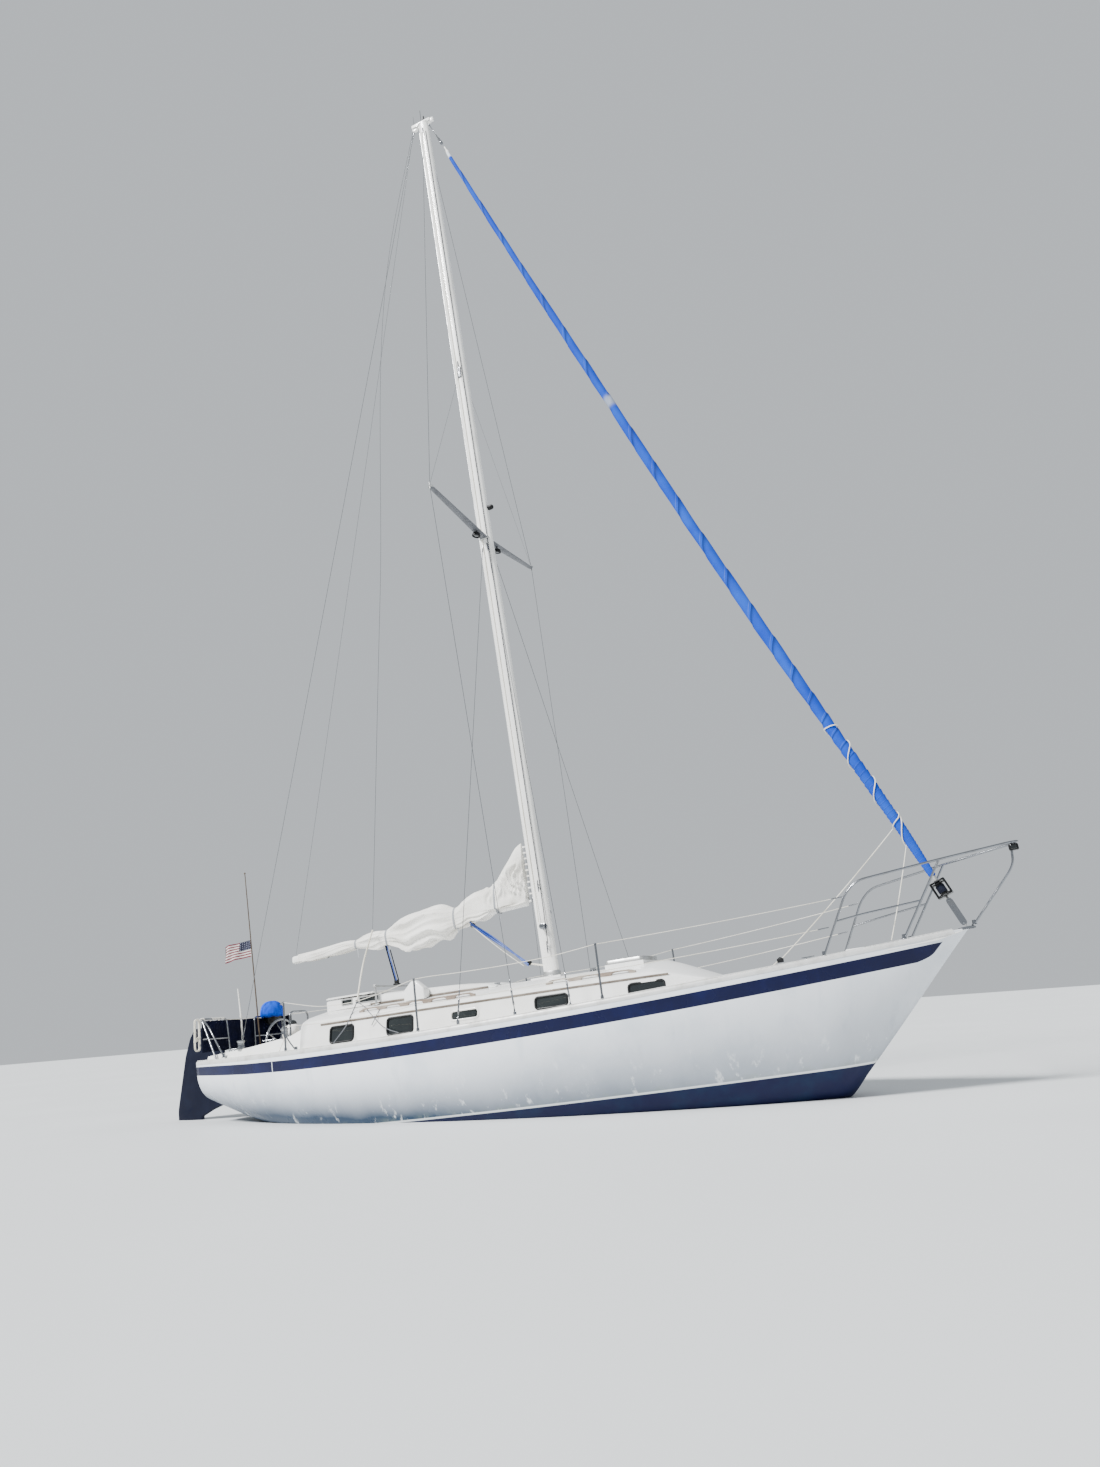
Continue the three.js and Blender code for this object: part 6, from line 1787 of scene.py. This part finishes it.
def makePushpits():
    for name, side in bothSides.items():
        inner = pushpit["inner"][name]
        s = np.array([1, side, 1])
        outline = [pushpit["foot"], pushpit["corner"], (-4.925, inner, 1.628), (-4.895, inner - 0.03, 1.08)]
        shells = [tube(easedPath(np.array(outline) * s, 0.07, 8), pushpit["radius"], 16)]
        rake = np.array([(-4.44, 0.822, 1.1), (-4.64, 0.8, 1.4), (-4.76, 0.752, 1.53), (-4.905, 0.702, 1.622)]) * s
        shells.append(tube(easedPath(rake, 0.12, 8), 0.0105, 14))
        bar = np.array([(-4.755, 0.766, 1.363), (-4.905, 0.7, 1.363), (-4.91, inner - 0.012, 1.363)]) * s
        shells.append(tube(easedPath(bar, 0.05, 6), 0.0105, 14))
        for spot in (outline[0], outline[3], (-4.44, 0.822, 1.092)):
            shells.append(footPlate(np.array(spot) * s + (0, 0, -0.002), 0.03))
        piece(f"pushpit_{name}_tubes", shells, "stainless", stands="pushpit_" + name, sharp=50)
    tape = [turned([(0, 0.0128), (0.001, 0.0145), (long - 0.001, 0.0145), (long, 0.0128)], (x, y, 1.628),
        (-0.012, 1, 0), 16) for x, y, long in ((-4.9195, -0.5, 0.15), (-4.9225, -0.33, 0.07))]
    piece("rail_tape", tape, "sailCloth", sharp=50)
    # a slim white aerial on the stern deck, and its clamp
    mastFoot = np.array([-4.905, 0.075, 1.075])
    aerial = [tube([mastFoot, (-4.903, 0.066, 1.6), (-4.902, 0.064, 1.626)], 0.011, 14), turned([(0, 0.017),
        (0.03, 0.02), (0.05, 0.014), (0.4, 0.01), (0.408, 0.006)], (-4.902, 0.064, 1.618), (-0.004, -0.115, 1), 16),
        footPlate(mastFoot, 0.03)]
    piece("stern_aerial", aerial, "sparPaint", sharp=50)
    piece("stern_gate_line", [tube([(-4.925, -0.205, 1.612), (-4.928, 0.08, 1.604), (-4.925, 0.355, 1.612)], 0.0035,
        8)], "ropeWhite")


makePushpits()
print("rails made")

# cloth at the stern: the navy weather cloth, the blue cover on the rail, and the flag

weatherCloth = {"from": -0.655, "corner": 0.855, "x": -4.956, "quarter": 0.3, "low": 1.192, "high": 1.612,
    "thick": 0.0016, "columns": 150, "rows": 30}


def makeWeatherCloth():
    # along: across the stern, round the port corner and forward; the top edge sags a little between its ties,
    # and soft folds run down from each tie
    w = weatherCloth
    across, bend = w["corner"] - w["from"], 0.025
    total = across - bend + bend * np.pi / 2 + w["quarter"] - bend
    s = np.linspace(0, total, w["columns"])
    straight = across - bend
    turn = np.clip((s - straight) / bend, 0, np.pi / 2)
    rest = np.clip(s - straight - bend * np.pi / 2, 0, None)
    x = w["x"] + bend * (1 - np.cos(turn)) + rest
    y = w["from"] + np.minimum(s, straight) + bend * np.sin(turn)
    normal = spread(-np.cos(turn), np.sin(turn))
    t = np.linspace(0, 1, w["rows"])[None]
    ties = 0.16
    phase = s[:, None] / ties * 2 * np.pi
    sag = 0.007 * (1 - np.cos(phase)) / 2
    top, low = w["high"] - sag, w["low"] + 0.01 * np.sin(s[:, None] * 3.1 + 0.6) ** 2
    z = top + (low - top) * t
    fade = np.exp(-t * 3.0)
    ripple = (0.0035 * np.sin(phase + 1.5 * np.sin(s[:, None] * 2.0)) * (0.25 + fade) + 0.003 *
        np.sin(s[:, None] * 11 + 5 * t + np.sin(t * 6)) + 0.0022 * np.sin(s[:, None] * 23 - 7 * t))
    ripple *= np.clip((total - s[:, None]) / 0.04, 0, 1) * np.clip(s[:, None] / 0.04, 0, 1) * 0.9
    layers = []
    for lift in (w["thick"] / 2, -w["thick"] / 2):
        push = ripple + lift
        layers.append(spread(x[:, None] + normal[:, :1] * push, y[:, None] + normal[:, 1:] * push, z))
    ring = np.concatenate([layers[0], layers[1][:, ::-1]], 1)
    obj = piece("weather_cloth_hung", [grid(ring)], "navyCloth", stands="weather_cloth", sharp=60)
    # lacing: a short loop round the rail at each tie
    loops = []
    for at in np.arange(ties, straight, ties):
        yy = w["from"] + at
        if -0.205 < yy < 0.355:
            continue
        turns = wholeTurn(18)
        loop = spread(-4.937 + 0.0225 * np.cos(turns), yy + 0.006 * np.sin(turns), 1.6235 + 0.0215 * np.sin(turns))
        loops.append(grid(carried(np.concatenate([loop, loop[:2]]), ovalProfile(0.002, 0.002, 2, 6), (0, 1, 0))))
    lacing = piece("weather_cloth_lacing", loops, "ropeWhite")


makeWeatherCloth()

cover = {"middle": (-4.8, 0.6, 1.645), "radii": (0.162, 0.196, 0.19), "skirt": 0.045, "thick": 0.0016}


def makeCover():
    # a dome whose cloth gathers towards a drawn-in hem: radius = dome * (1 + pleats that deepen downwards)
    c = cover
    t = np.linspace(0, 1, 44)[:, None]
    turn = wholeTurn(120)[None]
    fall = np.clip(t / 0.8, 0, 1)
    skirt = np.clip((t - 0.8) / 0.2, 0, 1)
    out = np.sin(fall * np.pi / 2) ** 0.8 * (1 - 0.07 * skirt - 0.06 * skirt**2)
    up = np.cos(fall * np.pi / 2) ** 0.95
    pleats = np.sin(17 * turn + 2.2 * np.sin(3 * turn) + 1.5 * t) * 0.02 * t**2.2
    pleats = pleats + np.sin(29 * turn + 4 * t) * 0.01 * t**4
    belly = np.sin(np.pi * t)
    slack = 0.03 * np.sin(5 * turn + 3 * t + 1.0) * belly + 0.022 * np.sin(9 * turn - 6 * t) * belly
    crease = -0.02 * np.exp(-((np.sin(turn * 1.5 + 2.4 * t) - 0.3) / 0.15) ** 2) * belly
    out = out * (1 + pleats + slack + crease)
    layers = []
    for inset in (0.0, c["thick"]):
        rx, ry, rz = (r - 0.006 - inset for r in c["radii"])
        x = c["middle"][0] + rx * out * np.cos(turn)
        y = c["middle"][1] + ry * out * np.sin(turn)
        z = c["middle"][2] + rz * up * (1 + 0.5 * slack) - skirt * c["skirt"] + 0.004 * np.sin(7 * turn) * skirt
        layers.append(spread(x, y, z))
    rows = np.concatenate([layers[0][1:], layers[1][1:][::-1]])
    obj = piece("rail_cover_cloth", [grid(rows)], "blueCover", stands="rail_cover", sharp=60)
    # what it covers: a dark kettle on a bracket over the rail's corner
    bowl = [turned([(-0.15, 0.03), (-0.145, 0.059), (-0.11, 0.101), (-0.06, 0.126), (-0.01, 0.134), (0.03, 0.133),
        (0.032, 0.118), (0.1, 0.084), (0.13, 0.017)], c["middle"], (0, 0, 1), 30), tube([(-4.8, 0.6, 1.5),
        (-4.815, 0.64, 1.47), (-4.85, 0.69, 1.575), (-4.862, 0.7, 1.6)], 0.009, 12), turned([(-0.02, 0.012),
        (-0.02, 0.019), (0.02, 0.019), (0.02, 0.012)], (-4.872, 0.715, 1.56), (0.5, -0.2, -0.83), 16)]
    kettle = piece("rail_kettle", bowl, "blackPlastic", sharp=50)
    hem = layers[0][-3]
    cordPath = np.concatenate([hem, hem[:1]])
    middle = np.array([*c["middle"][:2], 0])
    away = cordPath - middle
    away[:, 2] = 0
    cordPath = cordPath + away / np.linalg.norm(away, axis=1, keepdims=True) * 0.002
    hemCord = piece("rail_cover_hem", [tube(cordPath, 0.0028, 6)], "navyCloth")


makeCover()

flag = {"hoist": (-4.876, 2.474, 2.712), "fly": -5.275, "y": 0.291, "swing": -0.115, "droop": 0.05, "thick": 0.0009}


def flagMaterial():
    # thirteen stripes and a blue corner with rows of pale dots, laid out on the flag's own lengths
    tree, plain, shader = cloth("flagCloth", "c9c6c2", "b9b6b0", 0.3, 700.0, 0.4, bump=0.3, bumpDistance=0.001)
    across, drop = (carriedMark(tree, label) for label in ("outFromHoist", "downFromTop"))
    stripe = isUnder(fraction(times(drop, 6.5)), 0.5)
    inCorner = times(isUnder(across, 0.42), isUnder(drop, 7 / 13))
    dx = minus(fraction(times(across, 6 / 0.42)), 0.5)
    dz = minus(fraction(times(drop, 5 * 13 / 7)), 0.5)
    far = plus(times(dx, dx), times(dz, dz))
    dots = isUnder(far, 0.035)
    striped = blendColours(stripe, plain, colour("6e2433"))
    corner = blendColours(dots, colour("11162e"), colour("8f93a6"))
    plug(shader, {"Base Color": blendColours(inCorner, striped, corner)})


painted("staffWood", "54473a", "7d7265", 0.5, 6.0, 0.5, 0.5, 140, bump=0.2, gloss=0.3)


def makeFlag():
    f = flag
    u = np.linspace(0, 1, 70)[:, None]
    v = np.linspace(0, 1, 40)[None]
    x0, low, high = f["hoist"]
    x = x0 + (f["fly"] - x0) * u + 0 * v
    wave = 0.034 * np.sin(7.5 * u + 1.2 * v - 0.4) * u**0.7 + 0.012 * np.sin(15 * u - 4 * v) * u
    z = high + (low - high) * v - 0.006 * np.sin(5 * u + v) * u - f["droop"] * u**1.4
    layers = [spread(x, f["y"] + f["swing"] * u + wave + lift, z) for lift in (f["thick"] / 2, -f["thick"] / 2)]
    ring = np.concatenate([layers[0], layers[1][:, ::-1]], 1)
    shell = grid(ring)
    extra = len(shell["points"]) - ring.shape[0] * ring.shape[1]
    full = lambda a: np.concatenate([np.concatenate([np.broadcast_to(a, x.shape),
        np.broadcast_to(a, x.shape)[:, ::-1]], 1).ravel(), np.zeros(extra)])
    flagMaterial()
    obj = piece("flag_flying", [shell], "flagCloth", stands="flag", sharp=60, marks={"outFromHoist": full(u),
        "downFromTop": full(v)})
    foot, top = np.array([-4.862, 0.4, 1.125]), np.array([-4.862, 0.206, 3.69])
    t = np.linspace(0, 1, 20)[:, None]
    staff = [tube(foot + t * (top - foot), np.linspace(0.0105, 0.0065, 20), 14), turned([(0, 0.006), (0.006, 0.013),
        (0.016, 0.014), (0.024, 0.008), (0.026, 0.002)], top + (0, 0, -0.016), (0, 0, 1), 16), turned([(0, 0.02),
        (0.004, 0.02), (0.1, 0.0145), (0.104, 0.011)], foot, top - foot, 16)]
    staffPiece = piece("flag_staff_turned", staff, "staffWood", stands="flag_staff", sharp=50)
    clips = []
    for z in (low + 0.012, high - 0.012):
        y = 0.4 + (z - 1.125) * (0.206 - 0.4) / (3.69 - 1.125)
        clips.append(tube([(-4.862, y, z), (-4.87, f["y"], z), (-4.88, f["y"], z)], 0.0022, 6))
    halyard = np.linspace((-4.874, 0.398, 1.3), (-4.869, 0.2075, 3.66), 30) + np.array([0.004, 0, 0])
    clips.append(tube(halyard, 0.0016, 6))
    clipPiece = piece("flag_clips_and_halyard", clips, "ropeWhite")


makeFlag()
print("stern cloth made")

# cockpit gear

wheel = {"x": -4.145, "z": 1.165, "radius": 0.345, "rim": 0.0135, "spokes": 6}


def makeWheel():
    w = wheel
    turn = np.linspace(0, 2 * np.pi, 73)
    rim = spread(w["x"], w["radius"] * np.cos(turn), w["z"] + w["radius"] * np.sin(turn))
    profile = ovalProfile(w["rim"], w["rim"], 2, 14)
    rows = spread(rim[:, None, 0] + profile[None, :, 0],
        (w["radius"] + profile[None, :, 1]) * np.cos(turn)[:, None],
        w["z"] + (w["radius"] + profile[None, :, 1]) * np.sin(turn)[:, None])
    shells = [grid(rows, capStart=False, capEnd=False)]
    for a in wholeTurn(w["spokes"]) + np.pi / 2:
        way = np.array([0, math.cos(a), math.sin(a)])
        hub = np.array([w["x"] + 0.022, 0, w["z"]])
        path = [hub + way * 0.028, hub + way * 0.12 + (-0.006, 0, 0),
            np.array([w["x"], 0, w["z"]]) + way * (w["radius"] - 0.01)]
        shells.append(tube(curveThrough(path, 10), 0.0062, 10))
    shells.append(turned([(-0.02, 0.016), (-0.018, 0.026), (0, 0.033), (0.03, 0.033), (0.066, 0.024),
        (0.07, 0.018)], (w["x"], 0, w["z"]), (1, 0, 0), 28))
    piece("steering_wheel_rim", shells, "stainless", "wheel", stands="steering_wheel")


makeWheel()


def makePedestal():
    foot = np.array([-3.96, 0, 0.56])
    column = turned([(0.0, 0.105), (0.012, 0.105), (0.02, 0.078), (0.05, 0.074), (0.7, 0.061), (0.725, 0.072),
        (0.735, 0.084), (0.78, 0.085), (0.845, 0.076), (0.858, 0.062)], foot, (0, 0, 1), 36)
    nose = turned([(-0.03, 0.03), (0.0, 0.03), (0.07, 0.026), (0.075, 0.02)], (-3.985, 0, 1.165), (-1, 0, 0), 20)
    piece("pedestal_column", [column, nose], "deckGelcoat", stands="steering_pedestal", sharp=50)
    dome = turned([(0.855, 0.0605), (0.862, 0.061), (0.885, 0.055), (0.905, 0.04), (0.917, 0.02), (0.921, 0.004)],
        foot, (0, 0, 1), 32)
    lever = tube([(-3.96, -0.075, 1.235), (-3.96, -0.115, 1.245), (-3.965, -0.122, 1.33)], [0.008, 0.007, 0.007],
        10)
    knob = turned([(0, 0.008), (0.008, 0.016), (0.02, 0.015), (0.026, 0.005)], (-3.965, -0.122, 1.322), (0, 0, 1),
        16)
    piece("pedestal_compass", [dome], "windowGlass")
    piece("pedestal_lever", [lever, knob], "blackPlastic")
    guard = easedPath([(-3.85, -0.19, 0.56), (-3.85, -0.19, 1.58), (-3.85, 0.19, 1.58), (-3.85, 0.19, 0.56)], 0.08,
        8)
    piece("pedestal_guard_tube", [tube(guard, 0.0125, 16), footPlate((-3.85, -0.19, 0.56), 0.03),
        footPlate((-3.85, 0.19, 0.56), 0.03)], "stainless", stands="pedestal_guard", sharp=50)


makePedestal()


def makeWinches():
    for end, x, y, z in (("aft", -4.19, 0.776, 1.1665), ("fore", -3.42, 0.846, 1.2305)):
        for sideName, side in bothSides.items():
            node = f"winch_{end}_{sideName}"
            piece(node + "_turned", winch((x, side * y, z), (0, 0, 1), 0.058, 0.112), "stainless", stands=node,
                sharp=40)
    # horn cleats by the winches, at the stern and on the foredeck
    cleats = []
    for x, y, turnBy in ((-3.72, 0.8, 0.2), (-4.62, 0.64, 0.5), (3.2, 0.5, -0.5), (-4.4, 0.7, 0.15)):
        for side in (1, -1):
            z = deckZ(x, y) if x > -3.1 else float(np.interp(x, [-4.78, -4.0, -3.3, -3.055],
                [1.134, 1.172, 1.232, 1.296]))
            if x < -4.5:
                z = deckZ(x, y) + 0.002
            way = np.array([math.cos(turnBy), -side * math.sin(turnBy), 0])
            middle = np.array([x, side * y, z])
            horn = [middle - way * 0.085 + (0, 0, 0.034), middle - way * 0.045 + (0, 0, 0.03),
                middle + way * 0.045 + (0, 0, 0.03), middle + way * 0.085 + (0, 0, 0.034)]
            cleats.append(tube(horn, [0.005, 0.009, 0.009, 0.005], 10))
            for along in (-0.024, 0.024):
                cleats.append(turned([(0, 0.016), (0.004, 0.016), (0.01, 0.008), (0.03, 0.007)],
                    middle + way * along, (0, 0, 1), 12))
    piece("horn_cleats", cleats, "stainless", sharp=50)


makeWinches()


def makeTraveller():
    # a T-shaped track on two risers, with end stops
    section = np.array([(-0.016, 0.004), (-0.016, 0.01), (0.016, 0.01), (0.016, 0.004), (0.006, 0.003),
        (0.006, -0.01), (-0.006, -0.01), (-0.006, 0.003)])
    y = np.linspace(-0.53, 0.53, 20)
    path = spread(-2.24, y, 1.7015)
    shells = [grid(carried(path, section, (0, 0, 1)))]
    for side in (-1, 1):
        shells.append(block((-2.262, side * 0.515 - 0.014, 1.69), (-2.218, side * 0.515 + 0.014, 1.72), 0.004))
        roof = roofZ(np.array(-2.24), np.array(0.5))
        shells.append(tube([(-2.24, side * 0.5, roof - 0.004), (-2.24, side * 0.5, 1.694)], [0.015, 0.012], 14))
        shells.append(block((-2.29, side * 0.5 - 0.03, roof + 0.001), (-2.19, side * 0.5 + 0.03, roof + 0.009),
            0.003))
    piece("traveller_track", shells, "alloy", stands="traveller", sharp=50)


makeTraveller()


def makeBow():
    # cheeks and a floor plate over the stem, with a black roller between them; a low lid on the foredeck
    shells = [block((4.562, -0.044, 1.331), (4.8, 0.044, 1.3365), 0.002)]
    for side in (-1, 1):
        xs = np.array([4.7, 4.704, 4.76, 4.82, 4.872, 4.878])
        tops = np.array([1.338, 1.35, 1.358, 1.361, 1.356, 1.345])
        lows = np.array([1.332, 1.331, 1.331, 1.333, 1.338, 1.342])
        y0, y1 = side * 0.0445, side * 0.0385
        rows = np.stack([spread(xs, y0, lows), spread(xs, y0, tops), spread(xs, y1, tops), spread(xs, y1, lows)], 1)
        shells.append(grid(rows))
    shells.append(tube([(4.85, -0.045, 1.349), (4.85, 0.045, 1.349)], 0.005, 12))
    piece("bow_roller_cheeks", shells, "stainless", stands="bow_fitting", sharp=40)
    piece("bow_roller", [turned([(-0.036, 0.01), (-0.036, 0.0165), (-0.012, 0.012), (0.012, 0.012), (0.036, 0.0165),
        (0.036, 0.01)], (4.85, 0, 1.349), (0, 1, 0), 24)], "blackPlastic")
    z = deckZ(3.75, 0.0)
    piece("anchor_locker_lid", [block((3.545, -0.165, z + 0.002), (3.955, 0.165, z + 0.024), 0.01)], "deckGelcoat",
        sharp=50)
    hinges = [block((3.7 + dx, 0.145, z + 0.023), (3.74 + dx, 0.185, z + 0.029), 0.002) for dx in (-0.12, 0.09)]
    hinges.append(turned([(0, 0.018), (0.004, 0.017), (0.005, 0.006)], (3.75, -0.125, z + 0.023), (0, 0, 1), 16))
    # vents and pads on the coachroof
    for x, y in ((-1.23, -0.4), (-0.609, -0.3), (-0.609, 0.3), (0.55, 0.0)):
        roof = roofZ(np.array(x), np.array(abs(y)))
        hinges.append(turned([(0, 0.05), (0.006, 0.05), (0.012, 0.036), (0.022, 0.034), (0.03, 0.04),
            (0.036, 0.036), (0.038, 0.01)], (x, y, roof), (0, 0, 1), 24))
    piece("deck_small_fittings", hinges, "stainless", sharp=50)


makeBow()
print("deck gear made")

# under water: keel and rudder

keelFin = {"rows": [(-0.52, 0.85, 2.32, 0.212), (-0.56, 0.85, 2.3, 0.21), (-1.6, 0.38, 1.52, 0.172),
    (-1.635, 0.362, 1.5, 0.16), (-1.648, 0.356, 1.48, 0.12)]}


def foil(chord, thick):
    # thickness share of a streamlined section: blunt ahead, fine behind; a ring from the tail round the nose
    t = np.linspace(0, 1, 28)
    x = 0.5 * (1 - np.cos(np.pi * t))
    half = 5 * (0.2969 * np.sqrt(x) - 0.126 * x - 0.3516 * x**2 + 0.2843 * x**3 - 0.1036 * x**4)
    ringX = np.concatenate([x[::-1], x[1:-1]])
    ringY = np.concatenate([half[::-1], -half[1:-1]])
    return -ringX * chord, ringY * thick


def makeKeel():
    table = np.array(keelFin["rows"])
    z = np.concatenate([np.linspace(-0.5, -1.6, 24), np.linspace(-1.61, -1.6495, 8)])
    rows = []
    for height in z:
        at, chord, thick = (np.interp(-height, -table[:, 0], table[:, k]) for k in (1, 2, 3))
        x, y = foil(chord, thick)
        rows.append(spread(at + x, y, height))
    piece("fin_keel_faired", [grid(np.stack(rows))], "antifouling", stands="fin_keel", sharp=50)


rudderShape = {"rows": [(1.56, -5.33, -5.7), (1.44, -5.165, -5.79), (1.2, -5.155, -5.88), (0.83, -5.155, -5.96),
    (0.5, -5.155, -6.03), (0.44, -5.38, -6.034), (0.37, -5.56, -6.03), (-0.6, -5.53, -5.985), (-1.05, -5.6, -5.9)],
    "thick": 0.056}


def makeRudder():
    # the CAD outline with a rounded nose and a fine tail; the top and foot are rounded over
    table = np.array(rudderShape["rows"])
    z = np.concatenate([[1.5595, 1.557, 1.55], np.linspace(1.54, 0.5, 34), np.linspace(0.495, 0.37, 10),
        np.linspace(0.35, -1.02, 24), [-1.035, -1.045, -1.0495]])
    ease = np.clip(np.minimum(1.562 - z, z + 1.052) / 0.016, 0.1, 1) ** 0.5
    lead, trail = (np.interp(-z, -table[:, 0], table[:, k]) for k in (1, 2))
    t = np.linspace(0, 1, 26)
    share = np.concatenate([t[::-1], t[1:-1]])
    sign = np.concatenate([np.ones(26), -np.ones(24)])
    fat = np.minimum(np.sqrt(np.clip(share / 0.06, 0, 1)), 1) * np.clip((1 - share) / 0.35, 0.16, 1) ** 0.8
    fat[0] = 0.0
    rows = spread(lead[:, None] + (trail - lead)[:, None] * share[None],
        ease[:, None] * rudderShape["thick"] / 2 * fat[None] * sign[None], z[:, None])
    piece("rudder_blade", [grid(rows)], "rudderPaint", "rudder", stands="rudder", sharp=50)
    # straps from the hinges, with three bolts each
    straps = []
    for height in (0.985, 0.64):
        for side in (-1, 1):
            straps.append(block((-5.36, side * 0.0315 - 0.002, height - 0.024), (-5.15, side * 0.0315 + 0.002,
                height + 0.024), 0.0015))
            for x in (-5.33, -5.27, -5.21):
                straps.append(turned([(0, 0.009), (0.003, 0.008), (0.004, 0.003)], (x, side * 0.033, height),
                    (0, side, 0), 10))
    piece("rudder_cheek_straps", straps, "stainless", "rudder", sharp=50)


painted("rudderPaint", "03071c", "0c1428", 0.5, 5.0, 0.5, 0.42, 120, gloss=0.2)
makeKeel()
makeRudder()
print("underwater parts made")

# stage

stage = {"floor": "d9dcdd", "sky": (0.72, 0.76, 0.8, 1), "skyStrength": 0.85, "sun": 7.6, "sunSize": 0.25,
    "sunFrom": (-0.45, -0.75, 0.85)}


def makeStage():
    # a plain floor at the water's level, a pale surround, one broad key light and a soft fill
    mesh = bpy.data.meshes.new("floor")
    reach = 90
    mesh.from_pydata([(-reach, -reach, 0), (reach, -reach, 0), (reach, reach, 0), (-reach, reach, 0)], [],
        [(0, 1, 2, 3)])
    painted("floorPaint", stage["floor"], "cfd3d4", 0.1, 0.3, 0.0, 0.6, 5.0, bump=0.0)
    mesh.materials.append(finishes["floorPaint"])
    floor = bpy.data.objects.new("floor", mesh)
    bpy.context.scene.collection.objects.link(floor)
    world = bpy.data.worlds.new("studio")
    world.use_nodes = True
    back = world.node_tree.nodes["Background"]
    back.inputs["Color"].default_value = stage["sky"]
    back.inputs["Strength"].default_value = stage["skyStrength"]
    bpy.context.scene.world = world
    light = bpy.data.lights.new("key", "SUN")
    light.energy, light.angle = stage["sun"], stage["sunSize"]
    key = bpy.data.objects.new("key", light)
    key.rotation_euler = Vector(stage["sunFrom"]).to_track_quat("Z", "Y").to_euler()
    bpy.context.scene.collection.objects.link(key)


makeStage()
print("stage set")
